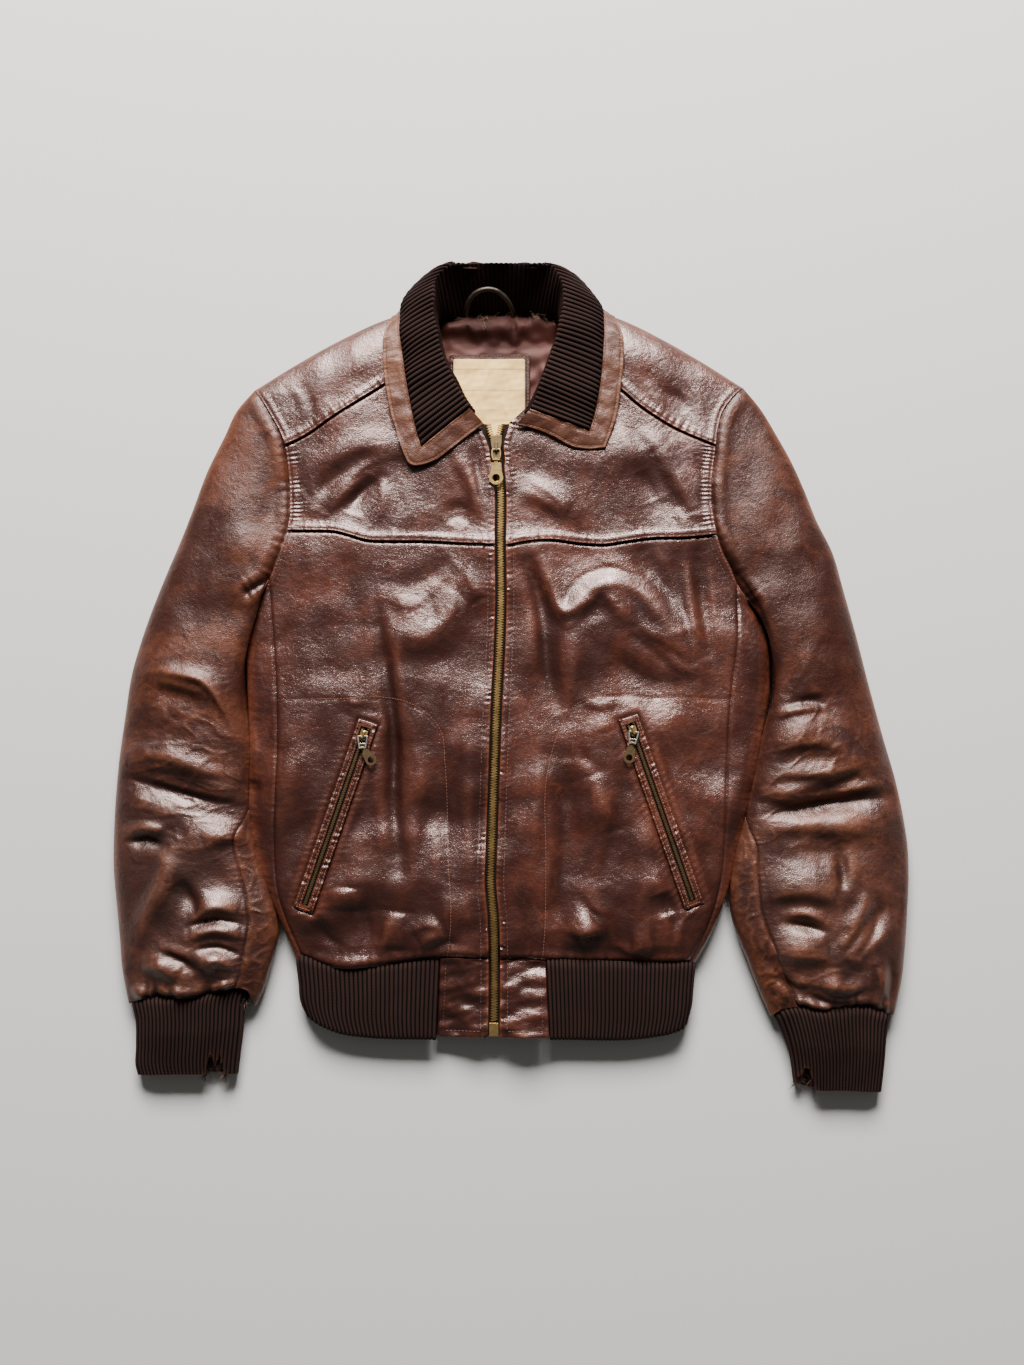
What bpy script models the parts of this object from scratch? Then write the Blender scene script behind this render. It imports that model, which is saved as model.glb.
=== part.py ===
"""A worn leather jacket with knitted ribs, lying flat on its back with its zip closed.

X runs to the wearer's left, Y towards the collar and Z up from the floor, and Z = 0 is the underside.
Outlines are in millimetres and are scaled to metres when a mesh is made. Each piece of cloth is a wall
between a grid of outer points and the same grid moved in by the wall's thickness.
"""
import math

import bpy
import numpy as np
from mathutils.bvhtree import BVHTree
from mathutils.geometry import tessellate_polygon

MM = 0.001
SEAM = 0.3          # gap between two pieces that meet
LEATHER = 2.4       # front, back and sleeves: leather with its lining
KNIT = 3.0          # double knit of the waistband and cuffs
COLLAR_KNIT = 3.2
BORDER = 2.4
SATIN = 1.0

BODY_EDGE = 13.0    # height at which the body's side folds reach furthest out
BODY_TOP = 25.0     # height of the front just inside the side folds
CROWN = 4.0         # how much higher the front is beside the zip
HEM_TOP = 18.0
TAB_FOOT_TOP = 16.0
SIDE_ROUND = 38.0   # distance over which the front rises from a side fold
SHOULDER_ROUND = 42.0
UNDER_ROUND = 14.0  # distance over which the underside comes down to the floor
BODY_HALF = 242.0

RIB_PITCH = 3.9
RIB_RISE = 1.1
COLLAR_RIB_PITCH = 4.4
ZIP_HALF = 6.5      # from the middle of the zip to the front's edge

# Outlines seen from above, for the wearer's right and left half
SIDES = {
    "right": {
        "sign": -1,
        "armhole": [(-242, 265), (-226, 240), (-212, 213), (-207, 183), (-205, 158), (-206, 129),
                    (-211, 112), (-216, 99), (-223, 82), (-241, 68)],
        "silhouette": [(-241, 68), (-244.5, 48), (-245, 26), (-242, -35), (-240, -80), (-240, -126),
                       (-237, -151), (-232, -170), (-221, -200), (-208, -230), (-199, -250), (-194, -263)],
        "side_seam": [(-223, 82), (-218, 26), (-213, -35), (-212, -81), (-213, -126), (-213, -171),
                      (-210, -200), (-200, -232), (-187, -261)],
        "shoulder_line": [(-242, 265), (-200, 292), (-162, 314), (-120, 334), (-80, 346)],
        "shoulder_seam": [(-210, 208), (-191, 218), (-172, 231), (-143, 250), (-118, 267), (-72, 297)],
        "neckline": [(-72, 297), (-60, 272), (-44, 248), (-28.5, 228)],
        "yoke_seam": [(-206, 127), (-184, 127), (-162, 126), (-148, 122), (-134, 118), (-113, 117),
                      (-85, 117), (-47, 115), (-16, 112.5)],
        "hem": [(-187, -261), (-178, -264.5), (-166, -268), (-155, -270), (-127, -269), (-95, -265),
                (-63, -261), (-21, -262)],
        "tab": -63.5,
        "rib_edge": [(-194, -256), (-191, -281), (-188, -303), (-183, -312)],
        "rib_foot": [(-183, -312), (-170, -320), (-152, -327), (-130, -330), (-66, -332)],
        "sleeve_outer": [(-242, 265), (-259, 244), (-269, 221), (-284, 188), (-298, 147), (-310, 114),
                         (-317, 96), (-341, 27), (-349, -4), (-354, -43), (-358, -80), (-360, -110),
                         (-361, -140), (-360, -185), (-357, -210), (-353, -242), (-350, -270),
                         (-343, -302)],
        "sleeve_inner": [(-241, 68), (-246, 47), (-246.5, 26), (-243.5, -35), (-241.5, -80),
                         (-241.5, -126), (-238.5, -151), (-233.5, -170), (-223, -200), (-214, -226),
                         (-211, -240), (-213, -258), (-217, -273), (-222, -290), (-229, -304)],
        "sleeve_hem": [(-343, -302), (-329, -297), (-300, -296), (-278, -295), (-258, -290),
                       (-244, -287), (-238, -288), (-229, -304)],
        "cuff_outer": [(-341, -304), (-336.5, -316), (-335, -340), (-335, -358), (-333, -364)],
        "cuff_inner": [(-233, -306), (-237.5, -313), (-240, -333), (-243, -355), (-244, -363)],
        "cuff_foot": [(-333, -364), (-301, -363), (-278, -363), (-244, -363)],
        "rip": (-270, -257),
    },
    "left": {
        "sign": 1,
        "armhole": [(219, 267), (208, 256), (197, 240), (192, 222), (189, 200), (186, 178), (185, 156),
                    (187, 134), (190, 120), (195, 106), (202, 93), (208, 78), (222, 58)],
        "silhouette": [(222, 58), (233, 37), (237.5, 20), (238.5, -5), (237, -28), (233, -48),
                       (225, -90), (218, -119), (211, -144), (205, -167), (199, -191), (187, -225),
                       (176, -249), (165.5, -267)],
        "side_seam": [(208, 78), (207, 25), (203, -5), (199, -35), (196, -81), (193.5, -126),
                      (192, -165), (186, -205), (174, -238), (158.5, -266)],
        "shoulder_line": [(219, 267), (178, 294), (141, 316), (105, 334), (68, 346)],
        "shoulder_seam": [(190, 208), (166, 218), (145, 229), (120, 246), (102, 262), (52, 296)],
        "neckline": [(52, 296), (38, 270), (18, 247), (-2.5, 228)],
        "yoke_seam": [(187.5, 122.5), (158, 120), (129, 120), (108, 117), (87, 114), (66, 115),
                      (37, 118), (9, 115), (-3, 112)],
        "hem": [(158.5, -266), (126, -267), (93, -266), (60, -265), (30, -264), (-10, -263)],
        "tab": 31.0,
        "rib_edge": [(166, -266), (163.5, -289), (161.5, -306), (158, -316)],
        "rib_foot": [(158, -316), (154, -322), (142, -327), (126, -330), (36, -332)],
        "sleeve_outer": [(219, 267), (234, 248), (249, 222), (264, 193), (275, 166), (284, 141),
                         (299, 108), (307, 77), (317, 37), (330, -20), (341, -65), (351, -103),
                         (357, -137), (360, -163), (360, -192), (358, -218), (355, -248), (351, -279),
                         (343, -312)],
        "sleeve_inner": [(222, 58), (236, 36), (241, 18), (241.5, -5), (240, -28), (235, -48),
                         (226.5, -90), (219.5, -119), (213, -144), (207, -166), (202.5, -188),
                         (202, -205), (203, -224), (207, -245), (213, -266), (222, -290), (232, -313)],
        "sleeve_hem": [(343, -312), (329, -308), (314, -303), (306, -304), (291, -306), (275, -308),
                       (258, -304), (240, -307), (232, -313)],
        "cuff_outer": [(341, -314), (337, -322), (335, -333), (333, -352), (329.5, -379)],
        "cuff_inner": [(234, -315), (238, -320), (243, -330), (249, -349), (252, -371)],
        "cuff_foot": [(329.5, -379), (315, -378), (298, -377), (268, -376), (252, -371)],
        "rip": (256, 268),
    },
}

ZIP_LINE = [(-15.5, 236), (-15, 216), (-12, 189), (-10, 165), (-10, 118), (-9.5, 56), (-11, 11),
            (-13, -29), (-16, -113), (-18, -175), (-18.5, -195), (-16, -225), (-15, -275), (-15.5, -332)]

# Points that the pieces round an armhole share, as heights up the picture from tip to armpit
ARMHOLE_STEPS = {
    "right": [265, 263.7, 260, 250, 231, 208, 181, 154, 127, 104, 82, 75.4, 71.1, 68.9, 68],
    "left": [267, 265.6, 261.5, 250, 231, 208, 180, 151, 122.5, 100, 78, 69.5, 63.5, 59.4, 58],
}
SHOULDER_CUT, YOKE_CUT, SIDE_CUT = 5, 8, 10     # where three seams meet at the armhole
UNDER_STEPS = [0, 1.5, 5.5, 13, 26]             # round the fold to the underside, from the fold
SLEEVE_STEPS = [0, .014, .055, .125, .21, .30, .39, .48, .57, .655, .74, .82, .895, .96, 1]
SLEEVE_ROWS = [0, .02, .055, .10, .155, .215, .28, .345, .405, .455, .50, .545, .59, .635, .69, .75,
               .82, .91, 1]
SLEEVE_TURN = (.50, .66)    # between these the under sleeve's seam comes round to the front
SLEEVE_SEAM_IN = 25.0       # how far in from the inner fold that seam then is
SLEEVE_LOFT = [(0, 30), (.15, 33), (.35, 38), (.5, 38), (.7, 34), (.9, 29), (1, 25)]
CUFF_LOFT = [(0, 23.5), (.5, 22), (1, 16)]

# Soft troughs (below 0) and ridges: the line each follows, its half width and its height
FOLDS = [
    ([(-194, 164), (-165, 192), (-131, 207), (-108, 205)], 13, 2.6),
    ([(-172, 145), (-148, 170), (-124, 186)], 9, 2.2),
    ([(-147, 141), (-138, 165), (-129, 180)], 10, -2.4),
    ([(-61, 136), (-49, 148), (-36, 136)], 11, -2.0),
    ([(-52, 198), (-38, 174), (-27, 141)], 8, 1.5),
    ([(8, 168), (31, 155), (54, 142)], 14, 2.4),
    ([(131, 202), (160, 160), (170, 143)], 10, 2.2),
    ([(119, 184), (133, 155)], 9, -1.8),
    ([(-106, 71), (-79, 80), (-52, 99)], 20, -2.6),
    ([(-111, 24), (-79, 22), (-42, 66)], 19, 3.6),
    ([(-121, 38), (-114, -12), (-107, -55), (-106, -119), (-99, -182)], 8, -3.0),
    ([(-147, -198), (-147, -219)], 13, 2.0),
    ([(-102, -219), (-105, -254)], 13, 2.6),
    ([(-82, -249), (-59, -236)], 11, 2.4),
    ([(12, 111), (28, 65), (35, 5), (45, -47)], 10, -3.4),
    ([(18, 105), (34, 78), (49, 50), (65, 58), (81, 69), (98, 55), (108, 32)], 9, 3.0),
    ([(63, 69), (84, 80), (108, 76), (141, 48), (166, 0)], 14, 3.0),
    ([(81, 45), (92, 15), (126, -12), (175, -14)], 16, -2.8),
    ([(123, 106), (141, 71), (158, 31)], 11, -2.8),
    ([(171, 106), (175, 52), (182, 4)], 7, -2.2),
    ([(51, -83), (48, -161), (38, -240)], 12, -3.0),
    ([(72, -97), (91, -150)], 13, 2.0),
    ([(57, -245), (79, -231)], 12, 2.8),
    ([(107, -253), (128, -250)], 12, 2.4),
    ([(134, -202), (141, -224)], 9, -2.2),
    ([(-324, -3), (-299, -18), (-270, -24)], 10, 3.6),
    ([(-270, -24), (-261, -53), (-238, -75)], 11, 3.0),
    ([(-312, -53), (-276, -60), (-244, -84)], 17, 3.6),
    ([(-353, -90), (-318, -89), (-283, -101), (-237, -108)], 9, -7.0),
    ([(-340, -158), (-322, -155), (-299, -147)], 8, -5.0),
    ([(-312, -158), (-303, -189), (-330, -245)], 13, 3.4),
    ([(-278, -151), (-240, -155)], 8, 2.6),
    ([(-296, -131), (-265, -134), (-240, -140)], 8, -3.6),
    ([(-287, -255), (-270, -262), (-250, -278)], 9, 3.0),
    ([(-285, -231), (-263, -222), (-244, -240)], 12, 2.6),
    ([(-313, -262), (-309, -289)], 7, 2.4),
    ([(-292, -262), (-288, -288)], 7, 2.2),
    ([(261, -31), (286, -38)], 9, -3.0),
    ([(228, -89), (251, -62), (292, -44)], 15, 3.4),
    ([(223, -111), (255, -105), (297, -105), (318, -96)], 9, -7.0),
    ([(219, -137), (249, -131), (285, -123), (339, -111)], 8, -5.0),
    ([(219, -162), (249, -161), (293, -153), (349, -158)], 12, 3.6),
    ([(294, -162), (294, -199)], 7, -2.4),
    ([(347, -216), (312, -231), (264, -260)], 10, -3.2),
    ([(319, -270), (317, -299)], 6, 2.6),
    ([(336, -266), (332, -300)], 6, 2.6),
    ([(286, -268), (288, -293)], 7, 2.6),
    ([(259, -275), (254, -294)], 7, 2.4),
    ([(234, -214), (256, -211)], 9, -2.0),
]

# The collar from each front end round to the back: neck seam, crest of the roll, outer edge of the rib
# and outer edge of the leather, as (x, y) on the body or (x, y, z) where they stand clear of it
COLLAR = {
    "right": {
        "seam": [(-33, 238), (-43, 253), (-55, 275), (-64, 300), (-69, 321), (-66, 335, 14),
                 (-50, 339, 9), (-31, 341, 7)],
        "crest": [(-39, 241, 37), (-51, 261, 41), (-62, 283, 44), (-70, 315, 46), (-73, 341, 46),
                  (-70, 361, 45), (-58, 374, 44), (-36, 376, 44)],
        "rib": [(-83, 205), (-90, 233), (-96, 264), (-101, 297), (-104, 326), (-102, 347, 17),
                (-86, 368, 9), (-50, 374, 4.5)],
        "leather": [(-93, 181), (-110, 229), (-117, 262), (-120, 294), (-118, 319), (-108, 345, 6),
                    (-95, 353, 0.6), (-56, 358, 0.3)],
        "front_edge": [(-25, 226), (-41, 214), (-58, 200), (-74, 189), (-93, 181)],
    },
    "left": {
        "seam": [(12, 237), (20, 251), (30, 273), (39, 298), (45, 320), (43, 335, 14),
                 (29, 339, 9), (10, 341, 7)],
        "crest": [(18, 240, 37), (26, 259, 41), (35, 284, 44), (44, 310, 46), (49, 336, 46),
                  (47, 359, 45), (38, 374, 44), (14, 376, 44)],
        "rib": [(72, 220), (77, 238), (82, 266), (85, 298), (86, 325), (83, 347, 17),
                (66, 369, 9), (28, 374, 4.5)],
        "leather": [(85, 198), (97, 231), (102, 262), (105, 292), (103, 318), (92, 345, 6),
                    (76, 353, 0.6), (34, 358, 0.3)],
        "front_edge": [(4, 225), (19, 222), (37, 215), (55, 205), (85, 198)],
    },
}
COLLAR_BACK = {"seam": (-11, 341.5, 6.5), "crest": (-11, 376.5, 44), "rib": (-11, 374, 4.5),
               "leather": (-11, 357, 0.3)}

LINING_EDGES = {
    "right": [(-66, 335), (-72, 322), (-80, 305), (-72, 270), (-50, 205)],
    "left": [(43, 335), (50, 322), (58, 305), (50, 270), (20, 205)],
}
LABEL_PATCH = (-59, 18, 303, 212)      # right, left, top and bottom edge
LABEL = (-55, 13, 298, 216)
LOOP_ROUTE = [(-43, 336.5, 15.5), (-42, 341, 22), (-39, 347, 29), (-33, 352, 34), (-25, 354.5, 36),
              (-16, 354, 36), (-8, 350, 33), (-2, 344.5, 27.5), (1, 339.5, 21.5), (2, 336, 16)]
LOOP_RADIUS = 2.3

POCKETS = {
    "right": {"top": (-129.5, -50), "bottom": (-186, -219), "slider": 13.0, "link_turn": 0.0,
              "pull_turn": 36.6},
    "left": {"top": (106, -46), "bottom": (163.5, -215), "slider": 13.0, "link_turn": -8.3,
             "pull_turn": -13.5},
}
WELT_HALF = 9.2
WINDOW_HALF = 2.9
WINDOW_TOP_HALF = 4.9
WELT = 1.4

FINISHES = {
    "jacket_leather": ((0.105, 0.032, 0.020), 0.38, 0.0),
    "sleeve_leather": ((0.130, 0.045, 0.026), 0.42, 0.0),
    "collar_leather": ((0.150, 0.080, 0.045), 0.55, 0.0),
    "rib_knit": ((0.024, 0.013, 0.011), 0.95, 0.0),
    "lining_satin": ((0.090, 0.040, 0.038), 0.50, 0.0),
    "label_leather": ((0.780, 0.600, 0.330), 0.60, 0.0),
    "zip_tape": ((0.020, 0.013, 0.010), 0.90, 0.0),
    "brass": ((0.560, 0.360, 0.130), 0.35, 1.0),
    "nickel": ((0.700, 0.660, 0.580), 0.30, 1.0),
}


class Curve:
    """A smooth curve through points; its place runs from 0 to 1 by the spacing of the points."""

    def __init__(self, points, knots=None):
        self.points = np.array(points, float)
        if knots is None:
            steps = np.linalg.norm(np.diff(self.points, axis=0), axis=1)
            knots = np.concatenate([[0.0], np.cumsum(steps)]) / steps.sum()
        self.knots = knots
        self.slopes = np.gradient(self.points, self.knots, axis=0)

    def __call__(self, place):
        place = np.clip(np.asarray(place, float), 0, 1)
        i = np.clip(np.searchsorted(self.knots, place, side="right") - 1, 0, len(self.knots) - 2)
        span = (self.knots[i + 1] - self.knots[i])[..., None]
        x = (place - self.knots[i])[..., None] / span
        start, end = self.points[i], self.points[i + 1]
        lead, tail = self.slopes[i] * span, self.slopes[i + 1] * span
        ends = (2 * x**3 - 3 * x**2 + 1) * start + (3 * x**2 - 2 * x**3) * end
        return ends + (x**3 - 2 * x**2 + x) * lead + (x**3 - x**2) * tail


def as_function(points, of):
    """One plan coordinate of a smooth outline as a function of the other (of = 0 for x, 1 for y)."""
    dense = Curve(points)(np.linspace(0, 1, 400))
    order = np.argsort(dense[:, of])
    return lambda value: np.interp(value, dense[order, of], dense[order, 1 - of])


def rounded(depth):
    """Quarter of an ellipse: 0 at depth 0, rising upright, and 1 from depth 1 on."""
    return np.sqrt(1 - (1 - np.clip(depth, 0, 1)) ** 2)


def eased(value):
    value = np.clip(value, 0, 1)
    return value * value * (3 - 2 * value)


def unit(vectors):
    length = np.linalg.norm(vectors, axis=-1, keepdims=True)
    return vectors / np.maximum(length, 1e-9)


zip_x = as_function(ZIP_LINE, 1)
for side in SIDES.values():
    side["armhole_x"] = as_function(side["armhole"], 1)
    side["silhouette_x"] = as_function(side["silhouette"], 1)
    side["side_seam_x"] = as_function(side["side_seam"], 1)
    side["hem_y"] = as_function(side["hem"], 0)
    side["rib_foot_y"] = as_function(side["rib_foot"], 0)
    side["sleeve_hem_y"] = as_function(side["sleeve_hem"], 0)
    side["cuff_foot_y"] = as_function(side["cuff_foot"], 0)
shoulder_y = as_function(SIDES["right"]["shoulder_line"] + SIDES["left"]["shoulder_line"][::-1], 0)


def distance_to(line, x, y):
    """Distance from plan points to a line of straight stretches."""
    best = np.full(np.shape(x), 1e9)
    for (ax, ay), (bx, by) in zip(line[:-1], line[1:]):
        dx, dy = bx - ax, by - ay
        along = np.clip(((x - ax) * dx + (y - ay) * dy) / (dx * dx + dy * dy), 0, 1)
        best = np.minimum(best, np.hypot(x - ax - along * dx, y - ay - along * dy))
    return best


def folds(x, y):
    """Sum of the soft troughs and ridges at plan points."""
    total = np.zeros(np.shape(x))
    for line, half, rise in FOLDS:
        total += rise * np.exp(-(distance_to(line, x, y) / half) ** 2)
    return total


def zip_edge(y, sign):
    """Where a front ends beside the zip; the two fronts part above the slider."""
    return zip_x(y) + sign * (ZIP_HALF + 6.5 * eased((y - 203) / 26))


def side_depth(x, y, side):
    """How far a plan point lies inside the body's side fold."""
    foot_x, foot_y = side["silhouette"][0]
    below = side["sign"] * (side["silhouette_x"](y) - x)
    above = np.hypot(np.maximum(side["sign"] * (foot_x - x), 0), y - foot_y)
    return np.where(y > foot_y, above, below)


def shoulder_depth(x, y):
    return 0.88 * (shoulder_y(x) - y)


def inside_folds(x, y, side_round, shoulder_round):
    lift = rounded(shoulder_depth(x, y) / shoulder_round)
    for side in SIDES.values():
        lift = lift * rounded(side_depth(x, y, side) / side_round)
    return lift


def body_edge(y):
    return np.interp(y, [-266, -215], [9.0, BODY_EDGE])


def body_top(x, y):
    """Height of the front layer's outer face."""
    x, y = np.broadcast_arrays(np.asarray(x, float), np.asarray(y, float))
    full = np.interp(y, [-331, -266, -250, -225], [TAB_FOOT_TOP, HEM_TOP, 22.5, BODY_TOP])
    full = full + CROWN * (1 - (x / BODY_HALF) ** 2) + folds(x, y)
    edge = body_edge(y)
    return edge + (full - edge) * inside_folds(x, y, SIDE_ROUND, SHOULDER_ROUND)


def body_under(x, y):
    """Height of the back layer's outer face, which is on the floor inside the folds."""
    return body_edge(y) * (1 - inside_folds(x, y, UNDER_ROUND, UNDER_ROUND))


def grid_normals(grid):
    """Unit normals of a grid, from the differences along its rows and columns."""
    return unit(np.cross(np.gradient(grid, axis=1), np.gradient(grid, axis=0)))


def edge_places(first, second):
    """Mean place, from 0 to 1, of each point along two opposite edges."""
    places = []
    for edge in (first, second):
        steps = np.linalg.norm(np.diff(edge, axis=0), axis=1)
        places.append(np.concatenate([[0.0], np.cumsum(steps)]) / steps.sum())
    return (places[0] + places[1]) / 2


def patch(top, bottom, start, end):
    """Plan grid between four edges: rows run from top to bottom, columns from start to end."""
    cols = edge_places(top, bottom)[None, :, None]
    rows = edge_places(start, end)[:, None, None]
    across = (1 - cols) * start[:, None] + cols * end[:, None]
    down = (1 - rows) * top[None] + rows * bottom[None]
    corners = ((1 - rows) * ((1 - cols) * top[0] + cols * top[-1])
               + rows * ((1 - cols) * bottom[0] + cols * bottom[-1]))
    return across + down - corners


def slope_normals(plan, height, facing=1, step=0.5):
    """Outward unit normals of a height function at plan points; facing is -1 for an underside."""
    x, y = plan[..., 0], plan[..., 1]
    dx = (height(x + step, y) - height(x - step, y)) / (2 * step)
    dy = (height(x, y + step) - height(x, y - step)) / (2 * step)
    return facing * unit(np.stack([-dx, -dy, np.ones_like(dx)], axis=-1))


def skins(plan, height, thickness, facing=1):
    """Outer points at a height function over plan points, and inner points one wall further in."""
    outer = np.concatenate([plan, height(plan[..., 0], plan[..., 1])[..., None]], axis=-1)
    return np.stack([outer, outer - thickness * slope_normals(plan, height, facing)])


def at_places(seam, places):
    """Outer and inner points part of the way between a seam's points."""
    places = np.asarray(places, float)
    low = np.clip(np.floor(places).astype(int), 0, seam.shape[1] - 2)
    share = (places - low)[:, None]
    return seam[:, low] * (1 - share) + seam[:, low + 1] * share


def drawn_in(grid, edges, gap=SEAM / 2):
    """Outer and inner grids with some edges moved inward, square to the edge seen from above."""
    grid = grid.copy()
    picks = {"top": (np.s_[:, 0], np.s_[:, 1]), "bottom": (np.s_[:, -1], np.s_[:, -2]),
             "start": (np.s_[:, :, 0], np.s_[:, :, 1]), "end": (np.s_[:, :, -1], np.s_[:, :, -2])}
    for edge in edges:
        rim, inside = picks[edge]
        line = grid[rim][0, :, :2]
        along = unit(np.gradient(line, axis=0))
        square = np.stack([-along[:, 1], along[:, 0]], axis=-1)
        step_in = grid[inside][0, :, :2] - line
        side = np.sign(np.sum(step_in * square, axis=1, keepdims=True))
        grid[rim] += np.concatenate([square * side * gap, np.zeros((len(line), 1))], axis=1)
    return grid


def new_material(name):
    material = bpy.data.materials.get(name)
    if material is None:
        colour, roughness, metallic = FINISHES[name]
        material = bpy.data.materials.new(name)
        material.use_nodes = True
        shader = material.node_tree.nodes["Principled BSDF"]
        shader.inputs["Base Color"].default_value = (*colour, 1)
        shader.inputs["Roughness"].default_value = roughness
        shader.inputs["Metallic"].default_value = metallic
        material.diffuse_color = (*colour, 1)
    return material


def new_object(name, verts, faces, finish, origin=(0, 0, 0)):
    """A mesh object from points in millimetres, with its origin where it turns."""
    mesh = bpy.data.meshes.new(name)
    mesh.from_pydata([tuple(v) for v in (np.asarray(verts, float) - origin) * MM], [], faces)
    mesh.materials.append(new_material(finish))
    mesh.shade_smooth()
    mesh.set_sharp_from_angle(angle=math.radians(45))
    thing = bpy.data.objects.new(name, mesh)
    thing.location = [value * MM for value in origin]
    bpy.context.scene.collection.objects.link(thing)
    return thing


def split(a, b, c, d):
    return [(a, b, c), (a, c, d)]


def wall_mesh(grid, keep=None, cells=None):
    """Points and triangles of a closed wall between an outer and an inner grid.

    keep lists the columns that the inner grid has too (all, if not given), and cells says for each
    row and each space between kept columns whether the wall is there.
    """
    outer, inner = grid
    rows, cols = outer.shape[:2]
    keep = list(range(cols)) if keep is None else list(keep)
    wide = len(keep)
    inner = inner[:, keep]
    cells = np.ones((rows - 1, wide - 1), bool) if cells is None else cells
    kept = outer[:, keep]
    facing = np.cross(kept[:-1, 1:] - kept[:-1, :-1], kept[1:, :-1] - kept[:-1, :-1])
    turned = np.sum(facing * (kept - inner)[:-1, :-1]) < 0
    start = rows * cols
    faces = []

    def out(row, col):
        return row * cols + col

    def back(row, k):
        return start + row * wide + k

    for r, k in np.argwhere(cells):
        for c in range(keep[k], keep[k + 1]):
            faces += split(out(r, c), out(r, c + 1), out(r + 1, c + 1), out(r + 1, c))
        faces += split(back(r, k), back(r + 1, k), back(r + 1, k + 1), back(r, k + 1))
        for row, turn in ((r, False), (r + 1, True)):
            beyond = row - 1 if not turn else row
            if 0 <= beyond < rows - 1 and cells[beyond, k]:
                continue
            rim = [(out(row, c + 1), out(row, c), back(row, k)) for c in range(keep[k], keep[k + 1])]
            rim.append((back(row, k + 1), out(row, keep[k + 1]), back(row, k)))
            faces += [face[::-1] for face in rim] if turn else rim
        for place, turn in ((k, False), (k + 1, True)):
            beyond = place - 1 if not turn else place
            if 0 <= beyond < wide - 1 and cells[r, beyond]:
                continue
            col = keep[place]
            rim = split(out(r, col), out(r + 1, col), back(r + 1, place), back(r, place))
            faces += [face[::-1] for face in rim] if turn else rim
    if turned:
        faces = [face[::-1] for face in faces]
    verts = np.concatenate([outer.reshape(-1, 3), inner.reshape(-1, 3)])
    used = np.unique(np.array(faces))
    number = np.full(len(verts), -1)
    number[used] = np.arange(len(used))
    return verts[used], [tuple(number[list(face)].tolist()) for face in faces]


built = {}


def wall(name, grid, finish, keep=None, cells=None):
    verts, faces = wall_mesh(grid, keep, cells)
    built[name] = (verts, faces)
    return new_object(name, verts, faces, finish)


def prism(outlines, low, high):
    """Points and triangles of an outline with holes, between two heights."""
    flat = [[(x, y, 0.0) for x, y in ring] for ring in outlines]
    points = np.array([p for ring in flat for p in ring])
    count = len(points)
    faces = []
    for a, b, c in tessellate_polygon(flat):
        turn = np.cross(points[b] - points[a], points[c] - points[a])[2]
        a, b, c = (a, b, c) if turn > 0 else (a, c, b)
        faces += [(a + count, b + count, c + count), (c, b, a)]
    start = 0
    for number, ring in enumerate(flat):
        line = np.array(ring)[:, :2]
        size = len(line)
        after = np.roll(line, -1, axis=0)
        area = np.sum(line[:, 0] * after[:, 1] - after[:, 0] * line[:, 1])
        for i in range(size):
            a, b = start + i, start + (i + 1) % size
            a, b = (a, b) if (area > 0) == (number == 0) else (b, a)
            faces += split(a, b, b + count, a + count)
        start += size
    return np.concatenate([points + (0, 0, low), points + (0, 0, high)]), faces


def surface_of(*names):
    """A tree to ask for the height of built pieces at a plan point."""
    verts, faces = [], []
    for name in names:
        base = len(verts)
        verts += [tuple(v) for v in built[name][0]]
        faces += [tuple(i + base for i in face) for face in built[name][1]]
    return BVHTree.FromPolygons(verts, faces)


def height_on(tree, x, y):
    hit = tree.ray_cast((float(x), float(y), 200.0), (0, 0, -1))
    return hit[0][2] if hit[0] is not None else None


def raised_clear(grid, tree, gap, checks=6):
    """Raise a wall's points until its inner face clears the surface under it by a gap."""
    grid = grid.copy()
    rows, cols = grid.shape[1:3]
    shares = np.linspace(0, 1, checks)
    for _ in range(4):
        lift = np.zeros((rows, cols))
        for r in range(rows - 1):
            for c in range(cols - 1):
                corners = grid[1, [r, r, r + 1, r + 1], [c, c + 1, c + 1, c]]
                for s in shares:
                    for t in shares:
                        if s >= t:
                            spot = corners[0] + (corners[1] - corners[0]) * s
                            spot = spot + (corners[2] - corners[1]) * t
                        else:
                            spot = corners[0] + (corners[3] - corners[0]) * t
                            spot = spot + (corners[2] - corners[3]) * s
                        under = height_on(tree, spot[0], spot[1])
                        if under is not None and under + gap > spot[2] + 1e-4:
                            need = under + gap - spot[2]
                            for rr, cc, w in ((r, c, (1 - s) * (1 - t)), (r, c + 1, s * (1 - t)),
                                              (r + 1, c + 1, s * t), (r + 1, c, (1 - s) * t)):
                                if w > 0.05:
                                    lift[rr, cc] = max(lift[rr, cc], need)
        if lift.max() < 1e-3:
            break
        grid[:, :, :, 2] += lift
    return grid


for thing in list(bpy.data.objects):
    bpy.data.objects.remove(thing, do_unlink=True)


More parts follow.
